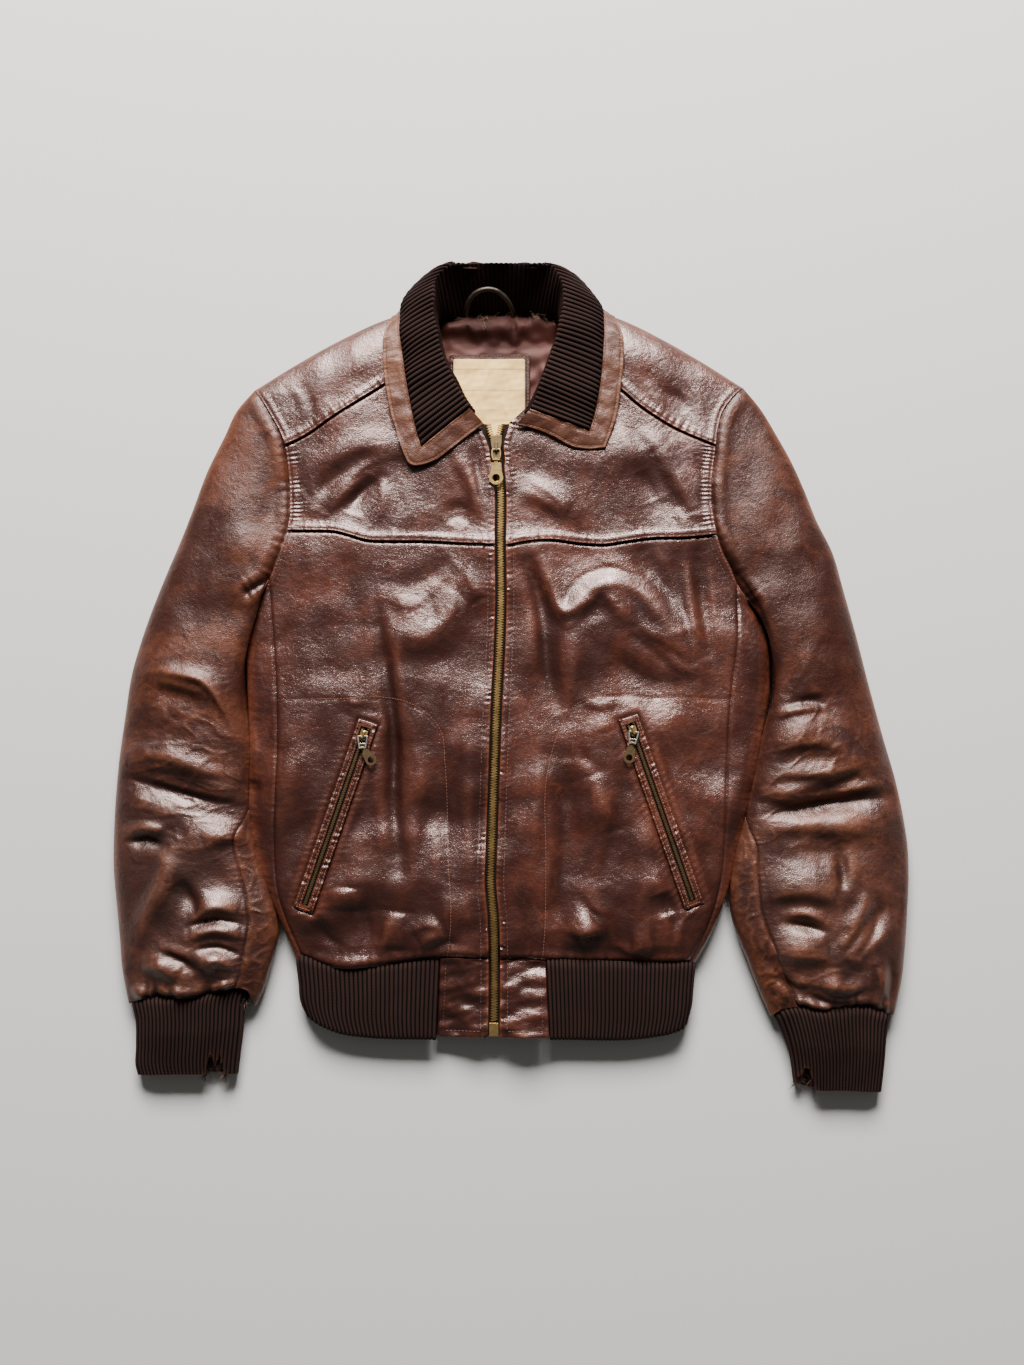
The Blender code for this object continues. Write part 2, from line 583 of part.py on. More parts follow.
def shoulder_seams(side):
    """Seams round the armhole, as outer and inner points, and the way from body to sleeve."""
    sign = side["sign"]
    ys = np.array(ARMHOLE_STEPS["right" if sign < 0 else "left"], float)
    plan = np.stack([side["armhole_x"](ys), ys], axis=-1)
    plan[0], plan[-1] = side["armhole"][0], side["armhole"][-1]
    top = skins(plan, body_top, LEATHER)
    curve = Curve(side["armhole"])
    length = np.linalg.norm(np.diff(curve(np.linspace(0, 1, 200)), axis=0), axis=1).sum()
    steps = np.array(UNDER_STEPS) / length
    tip_plan, pit_plan = curve(steps), curve(1 - steps)
    tip = skins(tip_plan, body_under, LEATHER, -1)
    pit = skins(pit_plan, body_under, LEATHER, -1)
    for seam, at, towards in ((top, 0, plan[1] - plan[0]), (top, -1, plan[-2] - plan[-1]),
                              (tip, 0, plan[1] - plan[0]), (pit, 0, plan[-2] - plan[-1])):
        seam[1, at] = seam[0, at] + LEATHER * np.append(unit(towards), 0)
    side.update(top=top, tip=tip, pit=pit, curve=curve, length=length)
    for name in ("top", "tip", "pit"):
        line = side[name][0, :, :2]
        along = unit(np.gradient(line, axis=0))
        across = np.stack([-along[:, 1], along[:, 0]], axis=-1)
        across *= np.sign(across[:, :1] * sign)
        side[name + "_across"] = np.concatenate([across, np.zeros((len(line), 1))], axis=1)


def armhole_part(side, name, places, to_sleeve=False):
    """Part of an armhole seam, moved half a gap to the body's or the sleeve's side."""
    shift = side[name + "_across"] * (SEAM / 2 if to_sleeve else -SEAM / 2)
    return at_places(side[name] + shift, places)


# The column places across a front and its yoke, from the armhole and side seam to the zip
COLUMNS = [0, .11, .22, .33, .45, .57, .68]
YOKE_PLACES = [5, 5.33, 5.67, 6, 6.33, 6.67, 7, 7.5, 8]
FRONT_TOP_PLACES = [8, 8.5, 9, 9.5, 10]
SIDE_ROWS = 8       # spaces down a side seam, each with two rows of the front beside it


def column_x(side, start_x, end_x):
    """Columns evenly spaced but with one at the leather tab's edge."""
    tab = (side["tab"] - start_x) / (end_x - start_x)
    shares = [share * tab / .78 for share in COLUMNS] + [tab, (1 + 2 * tab) / 3, (2 + tab) / 3, 1]
    return start_x + (end_x - start_x) * np.array(shares)


def hem_line(side):
    start = side["side_seam"][-1][0]
    y = side["hem"][-1][1]
    xs = column_x(side, start, zip_edge(y, side["sign"]))
    return np.stack([xs, side["hem_y"](xs)], axis=-1)


def build_front(name, side):
    sign = side["sign"]
    seam_start = side["armhole_x"](ARMHOLE_STEPS[name][YOKE_CUT])
    zip_y = side["yoke_seam"][-1][1]
    xs = column_x(side, seam_start, zip_edge(zip_y, sign))
    yoke_y = as_function(side["yoke_seam"], 0)
    top = np.stack([xs, yoke_y(xs)], axis=-1)
    top[0] = side["top"][0, YOKE_CUT, :2]
    bottom = hem_line(side)
    ys = np.linspace(ARMHOLE_STEPS[name][SIDE_CUT], bottom[0, 1], SIDE_ROWS * 2 + 1)
    seam_plan = np.stack([side["side_seam_x"](ys), ys], axis=-1)
    seam_plan[0] = side["top"][0, SIDE_CUT, :2]
    seam = skins(seam_plan[::2], body_top, LEATHER)
    seam[:, 0] = side["top"][:, SIDE_CUT]
    side["seam"] = seam
    down = at_places(seam, np.arange(0.5, SIDE_ROWS + 0.1, 0.5))
    arm = at_places(side["top"], FRONT_TOP_PLACES)
    start = np.concatenate([arm, down], axis=1)
    rows = start.shape[1]
    share = (start[0, :, 1] - start[0, 0, 1]) / (start[0, -1, 1] - start[0, 0, 1])
    zip_ys = zip_y + (bottom[-1, 1] - zip_y) * share
    end = np.stack([zip_edge(zip_ys, sign), zip_ys], axis=-1)
    plan = patch(top, bottom, start[0, :, :2], end)
    grid = skins(plan, body_top, LEATHER)
    grid[:, :, 0] = start
    side["yoke_line"] = grid[:, 0].copy()
    side["zip_rows"] = zip_ys
    grid[:, 0] = side["yoke_line"]
    grid = drawn_in(grid, ("top", "start"))
    grid[:, :5, 0] = armhole_part(side, "top", FRONT_TOP_PLACES)
    foot_ys = [-285, -308, -331]
    tab_plan = []
    for y in foot_ys:
        low = np.interp(y, [-331, -262], [3.0, 0.0])
        first = side["tab"] + sign * low
        tab_plan.append(np.stack([np.linspace(first, zip_edge(y, sign), 4), np.full(4, y)], axis=-1))
    tab = np.zeros((2, 3, plan.shape[1], 3))
    tab[:, :, -4:] = skins(np.array(tab_plan), body_top, LEATHER)
    cells = np.ones((rows + 2, plan.shape[1] - 1), bool)
    cells[rows - 1:, :-3] = False
    side["hem_edge"] = grid[:, -1, :-3].copy()
    side["tab_edge"] = np.concatenate([grid[:, -1:, -4], tab[:, :, -4]], axis=1)
    wall("front_" + name, np.concatenate([grid, tab], axis=1), "jacket_leather", cells=cells)


def build_yoke(name, side):
    sign = side["sign"]
    lower = side["yoke_line"]
    shares = edge_places(lower[0, :, :2], lower[0, :, :2])
    seam_curve = Curve(side["shoulder_seam"])
    top = seam_curve(shares)
    top[0] = side["top"][0, SHOULDER_CUT, :2]
    start = at_places(side["top"], YOKE_PLACES)
    neck = Curve(side["neckline"])
    zip_top = side["neckline"][-1][1]
    low_y = lower[0, -1, 1]
    ys = np.array([zip_top - (zip_top - low_y) * s for s in (.22, .42, .61, .81, 1)])
    end = np.concatenate([neck([0, .34, .67, 1]), np.stack([zip_edge(ys, sign), ys], axis=-1)])
    plan = patch(top, lower[0, :, :2], start[0, :, :2], end)
    grid = skins(plan, body_top, LEATHER)
    grid[:, :, 0] = start
    grid[:, -1] = lower
    side["shoulder_row"] = grid[:, 0].copy()
    grid = drawn_in(grid, ("top", "bottom", "start"))
    grid[:, :, 0] = armhole_part(side, "top", YOKE_PLACES)
    wall("yoke_" + name, grid, "jacket_leather")


def nose_out(line, sign_x, sign_y):
    """Level unit normals of a fold's outline, pointing away from the body."""
    along = unit(np.gradient(line, axis=0))
    across = np.stack([-along[:, 1], along[:, 0]], axis=-1)
    pointing = across[:, :1] * sign_x + across[:, 1:] * sign_y
    return np.concatenate([across * np.sign(pointing), np.zeros((len(line), 1))], axis=1)


def folded(top_plan, under_plan, nose):
    """Outer and inner grid of a strip wrapped round a fold: rows from its top to its underside."""
    top = skins(top_plan, body_top, LEATHER)
    under = skins(under_plan, body_under, LEATHER, -1)
    top[0, -1, :, 2] = body_edge(top_plan[-1, :, 1])
    top[1, -1] = top[0, -1] - LEATHER * nose
    return np.concatenate([top, under[:, 1:]], axis=1)


def build_shoulder(name, side):
    sign = side["sign"]
    row = side["shoulder_row"]
    shares = edge_places(row[0, :, :2], row[0, :, :2])
    line = Curve(side["shoulder_line"])(shares)
    arm = side["top"][0, SHOULDER_CUT::-1, :2]
    rows = edge_places(arm, arm)
    neck = row[0, -1, :2] + (line[-1] - row[0, -1, :2]) * rows[:, None]
    top_plan = patch(row[0, :, :2], line, arm, neck)
    back_arm = side["tip"][0, :, :2]
    depth = np.array(UNDER_STEPS)
    back_neck = line[-1] + np.stack([-sign * 0.12 * depth, -depth], axis=-1)
    inner_line = line + (0, -26)
    inner_line[0], inner_line[-1] = back_arm[-1], back_neck[-1]
    inner_line[1:-1, 1] += 2
    under_plan = patch(line, inner_line, back_arm, back_neck)
    nose = nose_out(line, 0, 1)
    nose[0] = -np.append(unit(side["top"][0, 1, :2] - side["top"][0, 0, :2]), 0)
    grid = folded(top_plan, under_plan, nose)
    grid[:, 0] = row
    top_rows = len(arm)
    side["back_shoulder"] = grid[0, -1, :, :2].copy()
    grid = drawn_in(grid, ("top", "bottom"))
    grid[:, :top_rows, 0] = armhole_part(side, "top", range(SHOULDER_CUT, -1, -1))
    grid[:, top_rows:, 0] = armhole_part(side, "tip", range(1, 5))
    wall("shoulder_" + name, grid, "jacket_leather")


def build_side(name, side):
    sign = side["sign"]
    seam = side["seam"]
    ys = np.linspace(side["silhouette"][0][1], side["silhouette"][-1][1], SIDE_ROWS + 1)
    line = np.stack([side["silhouette_x"](ys), ys], axis=-1)
    line[0], line[-1] = side["silhouette"][0], side["silhouette"][-1]
    arm = side["top"][0, SIDE_CUT:, :2]
    shares = edge_places(arm, arm)
    hem = seam[0, -1, :2] + (line[-1] - seam[0, -1, :2]) * shares[:, None]
    top_plan = patch(seam[0, :, :2], line, arm, hem)
    inner_line = line - (sign * 26, 0)
    under_arm = side["pit"][0, :, :2]
    depth = np.array(UNDER_STEPS) / 26
    under_hem = line[-1] + (inner_line[-1] - line[-1]) * depth[:, None]
    inner_line[0] = under_arm[-1]
    under_plan = patch(line, inner_line, under_arm, under_hem)
    nose = nose_out(line, sign, 0)
    nose[0] = -np.append(unit(side["top"][0, -2, :2] - side["top"][0, -1, :2]), 0)
    grid = folded(top_plan, under_plan, nose)
    grid[:, 0] = seam
    side["back_side"] = grid[0, -1, :, :2].copy()
    grid = drawn_in(grid, ("top", "bottom"))
    grid[:, :5, 0] = armhole_part(side, "top", range(SIDE_CUT, 15))
    grid[:, 5:, 0] = armhole_part(side, "pit", range(1, 5))
    side["side_hem"] = grid[:, :, -1].copy()
    wall("side_" + name, grid, "jacket_leather")


def sleeve_point(side, v, u):
    """Point of a sleeve: v runs from armhole to hem; u from 0 at the outer fold over the top to 1
    at the inner fold, and beyond those (below 0, above 1) it is on the underside."""
    v, u = np.broadcast_arrays(np.clip(v, 0, 1), np.asarray(u, float))
    a = np.where(u < 0, -u, np.where(u > 1, 2 - u, u))
    over = (u >= 0) & (u <= 1)
    outer, inner = Curve(side["sleeve_outer"]), Curve(side["sleeve_inner"])
    start, end = outer(v), inner(v)
    hem = Curve(side["sleeve_hem"])
    near = (1 - eased(v / .35))[..., None]
    far = eased((v - .86) / .14)[..., None]
    arm_plan, hem_plan = side["curve"](a), hem(a)
    arm_chord = side["curve"](0 * a) * (1 - a[..., None]) + side["curve"](0 * a + 1) * a[..., None]
    hem_chord = hem(0 * a) * (1 - a[..., None]) + hem(0 * a + 1) * a[..., None]
    plan = start + (end - start) * a[..., None]
    plan = plan + near * (arm_plan - arm_chord) + far * (hem_plan - hem_chord)
    width = np.linalg.norm(end - start, axis=-1) * (1 - near[..., 0]) + side["length"] * near[..., 0]
    x, y = plan[..., 0], plan[..., 1]
    hold = 1 - eased(v / .16)
    middle = 13 - 2 * v
    places, lofts = np.array(SLEEVE_LOFT).T
    loft = np.interp(v, places, lofts)
    share = rounded(2 * a) * rounded(2 - 2 * a)
    over_z = middle + (loft + folds(x, y) - middle) * share
    under_share = rounded(a * width / 13) * rounded((1 - a) * width / 13)
    under_z = middle * (1 - under_share)
    over_z = hold * body_top(arm_plan[..., 0], arm_plan[..., 1]) + (1 - hold) * over_z
    under_z = hold * body_under(arm_plan[..., 0], arm_plan[..., 1]) + (1 - hold) * under_z
    return np.stack([x, y, np.where(over, over_z, under_z)], axis=-1)


def ring_skins(point, side, v, u, thickness):
    """Outer and inner points of a tube, with normals from small steps along and round it."""
    outer = point(side, v, u)
    along = point(side, v + .004, u) - point(side, v - .004, u)
    round_it = point(side, v, u + .004) - point(side, v, u - .004)
    normal = unit(np.cross(along, round_it)) * -side["sign"]
    up = np.where((u < 0) | (u > 1), -1, 1) * np.ones_like(normal[..., 2])
    wrong = (normal[..., 2] * up < -0.2)[..., None]
    return np.stack([outer, outer - thickness * np.where(wrong, -normal, normal)])


def sleeve_columns(side, v):
    """Places round a sleeve of the upper sleeve's and the under sleeve's columns at each row."""
    width = np.linalg.norm(Curve(side["sleeve_outer"])(v) - Curve(side["sleeve_inner"])(v), axis=-1)
    arm = side["top"][0, :, 1]
    dense = side["curve"](np.linspace(0, 1, 400))
    at_arm = np.interp(-arm, -dense[:, 1], np.linspace(0, 1, 400))
    near = (1 - eased(v / .30))[:, None]
    width = width * (1 - near[:, 0]) + side["length"] * near[:, 0]
    turn = eased((v - SLEEVE_TURN[0]) / (SLEEVE_TURN[1] - SLEEVE_TURN[0]))[:, None]
    seam = 1 - turn * SLEEVE_SEAM_IN / width[:, None]
    over = (near * at_arm + (1 - near) * np.array(SLEEVE_STEPS)) * seam
    under = -np.array(UNDER_STEPS[:0:-1]) / width[:, None]
    upper = np.concatenate([under, over], axis=1)
    at_fold, on_top = np.array([0, 1.5, 5.5, 13, 26]), np.array([-SLEEVE_SEAM_IN, -8, 0, 4.5, 13])
    beyond = at_fold * (1 - turn) + on_top * turn
    lower = 1 + beyond / width[:, None]
    last = 2 - 26 / width[:, None]
    mids = lower[:, -1:] + (last - lower[:, -1:]) * np.array([.5])
    return upper, np.concatenate([lower, mids, last], axis=1)


def build_sleeve(name, side):
    rows = np.array(SLEEVE_ROWS)
    upper_u, under_u = sleeve_columns(side, rows)
    v = rows[:, None]
    upper = ring_skins(sleeve_point, side, v, upper_u, LEATHER)
    upper[:, 0, 4:] = side["top"]
    upper[:, 0, :4] = side["tip"][:, :0:-1]
    under = ring_skins(sleeve_point, side, v[::2], under_u[::2], LEATHER)
    under[:, 0, :5] = side["pit"]
    for edge, other in ((0, -1), (-1, 0)):
        line = upper[:, ::2, edge]
        upper[:, :, edge] = at_places(line, np.arange(len(rows)) / 2)
        under[:, :, other] = line
    side["under_row"] = under[0, 0, :, :2].copy()
    upper = drawn_in(upper, ("start",))
    under = drawn_in(under, ("end",))
    for grid, col, step in ((upper, -1, -1), (under, 0, 1)):
        shift = SEAM / 2 * unit(grid[0, :, col + step] - grid[0, :, col])
        grid[:, :, col] += shift
    upper[:, 0, 4:] = armhole_part(side, "top", range(15), True)
    upper[:, 0, :4] = armhole_part(side, "tip", range(4, 0, -1), True)
    under[:, 0, :5] = armhole_part(side, "pit", range(5), True)
    under[:, 0, 5:] += side["tip_across"][2] * SEAM / 2
    side["sleeve_end"] = (upper[:, -1].copy(), under[:, -1].copy())
    wall("sleeve_upper_" + name, upper, "sleeve_leather")
    wall("sleeve_under_" + name, under, "sleeve_leather")


for label, half in SIDES.items():
    shoulder_seams(half)
    build_front(label, half)
    build_yoke(label, half)
    build_shoulder(label, half)
    build_side(label, half)
    build_sleeve(label, half)


def inset(ring, gap):
    """A closed outline moved inward by a gap."""
    ring = np.array(ring, float)
    before, after = np.roll(ring, 1, axis=0), np.roll(ring, -1, axis=0)
    area = np.sum(ring[:, 0] * after[:, 1] - after[:, 0] * ring[:, 1])
    first, second = unit(ring - before), unit(after - ring)
    turn = 1 if area > 0 else -1
    square = np.stack([-first[:, 1], first[:, 0]], -1) + np.stack([-second[:, 1], second[:, 0]], -1)
    square = unit(square)
    spread = np.maximum(np.sum(square * np.stack([-first[:, 1], first[:, 0]], -1), axis=1), 0.4)
    return ring + turn * gap * square / spread[:, None]


def build_back():
    right, left = SIDES["right"], SIDES["left"]
    ring = []
    for side, backwards in ((right, False), (left, True)):
        shoulder = side["back_shoulder"]
        arm = side["under_row"][4:]
        run = np.concatenate([shoulder[::-1], arm[::-1][1:-1], side["back_side"]])
        if not backwards:
            run = np.concatenate([[(-71, 334), (-73, 326)], run])
        else:
            run = np.concatenate([[(46, 334), (60, 326)], run])[::-1]
        ring.append(run)
    outline = inset(np.concatenate(ring), SEAM / 2)
    verts, faces = prism([outline.tolist()], 0, LEATHER)
    built["back"] = (verts, faces)
    new_object("back", verts, faces, "jacket_leather")


def rib_columns(width, pitch, block=4):
    """Shares across a ribbed width, two for each rib, and every block-th rib's column."""
    ribs = max(block, int(round(width / pitch / block)) * block)
    return np.linspace(0, 1, ribs * 2 + 1), list(range(0, ribs * 2 + 1, block * 2))


def build_waist():
    ts = np.array([0, .33, .68, 1])
    grids, keeps, ribbed = [], [], []
    for name in ("right", "left"):
        side = SIDES[name]
        sign = side["sign"]
        hem = np.concatenate([side["hem_edge"][0][::-1], side["side_hem"][0, 1:5]])
        order = np.argsort(hem[:, 0])
        hem = hem[order]
        edge = Curve(side["rib_edge"])(ts)
        edge[:, 0] -= sign * 0.6
        tab_x = side["tab"] + sign * (0.35 + 3 * ts)
        share, keep = rib_columns(abs(edge[0, 0] - tab_x[0]), RIB_PITCH)
        x = tab_x[:, None] + (edge[:, :1] - tab_x[:, None]) * share
        first_y = np.interp(x[0], hem[:, 0], hem[:, 1]) - 0.8
        y = first_y + (side["rib_foot_y"](x) - first_y) * ts[:, None]
        depth = np.abs(x - edge[:, :1])
        full = np.interp(y, [-331, -262], [15.5, 18]) + CROWN * (1 - (x / BODY_HALF) ** 2)
        low = 8.5 - ts[:, None]
        z = low + (full - low) * rounded(depth / 15)
        z[0] = np.interp(x[0], hem[:, 0], hem[:, 2]) - 0.5
        top = np.stack([x, y, z], axis=-1)
        under_depth = np.array([1.2, 4.0, 9.0, 16.0])
        under_x = edge[:, :1] - sign * under_depth
        back_y = np.interp(edge[0, 0] - sign * under_depth, [-168, 139.5], [-263, -267]) - 0.4
        under_y = back_y + (side["rib_foot_y"](under_x) - back_y) * ts[:, None]
        under_z = low * (1 - rounded(under_depth / 11))
        under = np.stack([under_x, under_y, under_z * np.ones_like(under_x)], axis=-1)
        grid = np.concatenate([top, under], axis=1)
        rise = np.zeros(grid.shape[1])
        rise[1:len(share):2] = RIB_RISE
        kept = keep + list(range(len(share), grid.shape[1]))
        if name == "left":
            grid, rise = grid[:, ::-1], rise[::-1]
            kept = [grid.shape[1] - 1 - k for k in kept][::-1]
        grids.append(grid)
        keeps.append(kept)
        ribbed.append(rise)
    mids = []
    for x in (-95, -15, 65):
        y0 = np.interp(x, [-168, 139.5], [-263, -267]) - 0.4
        mids.append(np.stack([np.full(4, x), y0 + (-331.5 - y0) * ts, np.zeros(4)], axis=-1))
    mids = np.stack(mids, axis=1)
    base = np.concatenate([grids[0], mids, grids[1]], axis=1)
    rise = np.concatenate([ribbed[0], np.zeros(3), ribbed[1]])
    first = grids[0].shape[1]
    keep = keeps[0] + [first, first + 1, first + 2] + [k + first + 3 for k in keeps[1]]
    normal = grid_normals(base)
    normal *= np.sign(normal[0, 4, 2])
    normal[:, first - 1:first + 4] = (0, 0, -1)
    outer = base + rise[None, :, None] * normal * np.array([0.1, 1, 1, 1])[:, None, None]
    wall("waist_rib", np.stack([outer, base - KNIT * normal]), "rib_knit", keep)


def build_cuff(name, side):
    sign = side["sign"]
    upper, under = side["sleeve_end"]
    top_line = np.concatenate([upper[0, 4:], under[0, 1:3]])
    top_line = top_line[np.argsort(top_line[:, 0])]
    ts = np.array([0, .37, .74, 1])
    outer_edge, inner_edge = Curve(side["cuff_outer"])(ts), Curve(side["cuff_inner"])(ts)
    width = np.linalg.norm(outer_edge[0] - inner_edge[0])
    share, keep = rib_columns(width, RIB_PITCH)
    x = outer_edge[:, :1] + (inner_edge[:, :1] - outer_edge[:, :1]) * share
    first_y = np.interp(x[0], top_line[:, 0], top_line[:, 1]) - 1.4
    y = first_y + (side["cuff_foot_y"](x) - first_y) * ts[:, None]
    places, lofts = np.array(CUFF_LOFT).T
    loft = np.interp(ts, places, lofts)[:, None]
    low = (10.5 - 3 * ts)[:, None]
    z = low + (loft - low) * rounded(share * width / 26) * rounded((1 - share) * width / 26)
    z[0] = np.minimum(z[0], np.interp(x[0], top_line[:, 0], top_line[:, 2]) - 0.6)
    base = np.stack([x, y, z], axis=-1)
    normal = grid_normals(base)
    normal *= np.sign(normal[0, 6, 2])
    normal[:, 0], normal[:, -1] = (sign, 0, 0), (-sign, 0, 0)
    rise = np.zeros(len(share))
    rise[1::2] = RIB_RISE
    outer = base + rise[None, :, None] * normal * np.array([0.2, 1, 1, 1])[:, None, None]
    grid = np.stack([outer, base - KNIT * normal])
    near, far = sorted(side["rip"])
    rip = [int(np.argmin(np.abs(x[-1] - place) + (np.arange(len(share)) % 2) * 9)) for place in (near, far)]
    keep = sorted(set(keep) | set(rip))
    cells = np.ones((3, len(keep) - 1), bool)
    first, last = sorted(keep.index(place) for place in rip)
    cells[-1, first:last] = False
    for col, step in ((0, 1), (-1, -1)):
        grid[:, :, col] += SEAM / 2 * unit(grid[0, :, col + step] - grid[0, :, col])
    wall("cuff_top_" + name, grid, "rib_knit", keep, cells)
    depth = np.array([0, 1.2, 4.0, 10.0])
    run = np.concatenate([depth / width, [.36, .64], 1 - depth[::-1] / width])
    ux = inner_edge[:, :1] + (outer_edge[:, :1] - inner_edge[:, :1]) * run
    under_line = np.concatenate([under[0, 2:], upper[0, :5]])
    under_line = under_line[np.argsort(under_line[:, 0])]
    first_y = np.interp(ux[0], under_line[:, 0], under_line[:, 1]) - 1.4
    uy = first_y + (side["cuff_foot_y"](ux) - first_y) * ts[:, None]
    uz = low * (1 - rounded(run * width / 9) * rounded((1 - run) * width / 9))
    base = np.stack([ux, uy, uz], axis=-1)
    normal = grid_normals(base)
    normal *= -np.sign(normal[1, 4, 2])
    normal[:, 0], normal[:, -1] = (-sign, 0, 0), (sign, 0, 0)
    grid = np.stack([base, base - KNIT * normal])
    for col, step in ((0, 1), (-1, -1)):
        grid[:, :, col] += SEAM / 2 * unit(grid[0, :, col + step] - grid[0, :, col])
    wall("cuff_under_" + name, grid, "rib_knit")


def with_height(points, above):
    """Points with three numbers as they are, and the others at a height above the front."""
    return np.array([p if len(p) == 3 else (*p, float(body_top(*p)) + above) for p in points])


def collar_curves():
    right, left = COLLAR["right"], COLLAR["left"]
    curves = {}
    crest = right["crest"] + [COLLAR_BACK["crest"]] + left["crest"][::-1]
    knots = Curve(crest).knots
    for part, above in (("seam", 1.0), ("crest", 0), ("rib", 5.0), ("leather", 4.0)):
        line = right[part] + [COLLAR_BACK[part]] + left[part][::-1]
        curves[part] = Curve(with_height(line, above), knots)
    return curves


def collar_face(curves, place, turn):
    """Point of the collar's rib: place along it, turn from -1 at the neck seam to 1 at its edge."""
    place, turn = np.broadcast_arrays(place, turn)
    foot, crest, edge = (curves[part](place) for part in ("seam", "crest", "rib"))
    inward = (np.abs(turn) * math.pi / 2)[..., None]
    other = np.where((turn < 0)[..., None], foot, edge)
    level = np.where((turn < 0)[..., None], 1 - np.cos(inward), np.sin(inward))
    height = np.cos(inward)
    spot = crest + (other - crest) * np.where((turn < 0)[..., None], 1 - np.cos(inward), level)
    z = other[..., 2] + (crest[..., 2] - other[..., 2]) * height[..., 0]
    return np.concatenate([spot[..., :2], z[..., None]], axis=-1)


def build_collar():
    curves = collar_curves()
    crest = curves["crest"](np.linspace(0, 1, 300))
    length = np.linalg.norm(np.diff(crest, axis=0), axis=1).sum()
    share, keep = rib_columns(length, COLLAR_RIB_PITCH, 2)
    turns = np.array([-1, -.5, 0, .45, 1])[:, None]
    base = collar_face(curves, share[None], turns)
    along = collar_face(curves, np.clip(share + .004, 0, 1)[None], turns)
    along = along - collar_face(curves, np.clip(share - .004, 0, 1)[None], turns)
    across = collar_face(curves, share[None], np.clip(turns + .04, -1, 1))
    across = across - collar_face(curves, share[None], np.clip(turns - .04, -1, 1))
    normal = unit(np.cross(along, across))
    normal *= np.sign(normal[2, 20, 2])
    for end in (0, -1):
        run = unit((base[-1, end] - base[2, end]) * (1, 1, 0))
        square = np.array([-run[1], run[0], 0])
        normal[:, end] = unit(normal[:, end] - normal[:, end] @ square[:, None] * square)
    flat = np.stack([base, base - COLLAR_KNIT * normal])
    tree = surface_of("yoke_right", "yoke_left", "shoulder_right", "shoulder_left")
    coarse = raised_clear(flat[:, :, keep], tree, 0.4)
    lift = (coarse - flat[:, :, keep])[0, ..., 2]
    for row in range(len(turns)):
        flat[:, row, :, 2] += np.interp(np.arange(len(share)), keep, lift[row])
    rise = np.zeros(flat.shape[2])
    rise[1::2] = RIB_RISE
    at_rows = np.array([0.2, 1, 1, 1, 0])[:, None, None]
    flat[0] += rise[None, :, None] * normal * at_rows
    wall("collar_rib", flat, "rib_knit", keep)

    front = {}
    for name, end in (("right", 0), ("left", -1)):
        inner = at_places(flat[:, 2:, end], [0, 0.5, 1, 1.5])[0]
        outer = with_height(Curve(COLLAR[name]["front_edge"])(np.array([0, .27, .54, .79])).tolist(), 4.0)
        front[name] = (inner, outer)
    places = np.linspace(0, 1, 45)
    edge = np.stack([np.interp(places, share, flat[0, -1, :, axis]) for axis in range(3)], axis=-1)
    inner = np.concatenate([front["right"][0], edge, front["left"][0][::-1]])
    outer = np.concatenate([front["right"][1], curves["leather"](places), front["left"][1][::-1]])
    gap = unit(outer - inner)
    apart = np.ones((len(inner), 1))
    apart[0] = apart[-1] = 3.2
    line = np.stack([inner + gap * apart, outer])
    knots = curves["crest"].knots
    drop = np.interp(places, knots[[3, 4, 5, 6, 10, 11, 12, 13]], [.4, 2.4, 3.2, 3.2, 3.2, 3.2, 2.4, .4])
    line[0, :, 2] -= np.concatenate([[0, .4, .4, .4], drop, [.4, .4, .4, 0]])
    aside = np.interp(places, knots[[3, 4, 5, 6, 10, 11, 12, 13]], [0, 1, 1, 0, 0, 1, 1, 0])
    line[0, 4:-4] += aside[:, None] * unit((outer - inner) * (1, 1, 0))[4:-4]
    along = np.gradient(line, axis=1)
    normal = unit(np.cross(along, np.stack([outer - inner, outer - inner])))
    normal *= np.sign(normal[:, 4:5, 2:])
    grid = np.stack([line, line - BORDER * normal])
    grid = raised_clear(grid, tree, 0.35)
    grid[..., 2] = np.maximum(grid[..., 2], 0)
    wall("collar_border", grid, "collar_leather")


def build_neck():
    ys = np.array([335, 327, 315, 290, 252, 214])
    edges = {}
    for name in ("right", "left"):
        line = as_function(LINING_EDGES[name], 1)
        edges[name] = line(ys)
    shares = np.linspace(0, 1, 5)
    x = edges["right"][:, None] + (edges["left"] - edges["right"])[:, None] * shares
    y = ys[:, None] * np.ones_like(x)
    z = 3.9 + 2.8 * eased((y - 318) / 17)
    outer = np.stack([x, y, z], axis=-1)
    wall("lining", np.stack([outer, outer - (0, 0, SATIN)]), "lining_satin")
    for name, under, box, thick, finish, rows in (
            ("label_patch", "lining", LABEL_PATCH, 1.1, "jacket_leather", 6),
            ("label", "label_patch", LABEL, 0.9, "label_leather", 5)):
        tree = surface_of(under)
        xs = np.linspace(box[0], box[1], 4)
        ys = np.linspace(box[2], box[3], rows)
        flat = np.dstack(np.meshgrid(xs, ys) + [np.full((rows, 4), 4.3)])
        grid = np.stack([flat, flat - (0, 0, thick)])
        grid = raised_clear(grid, tree, 0.3)
        wall(name, grid, finish)


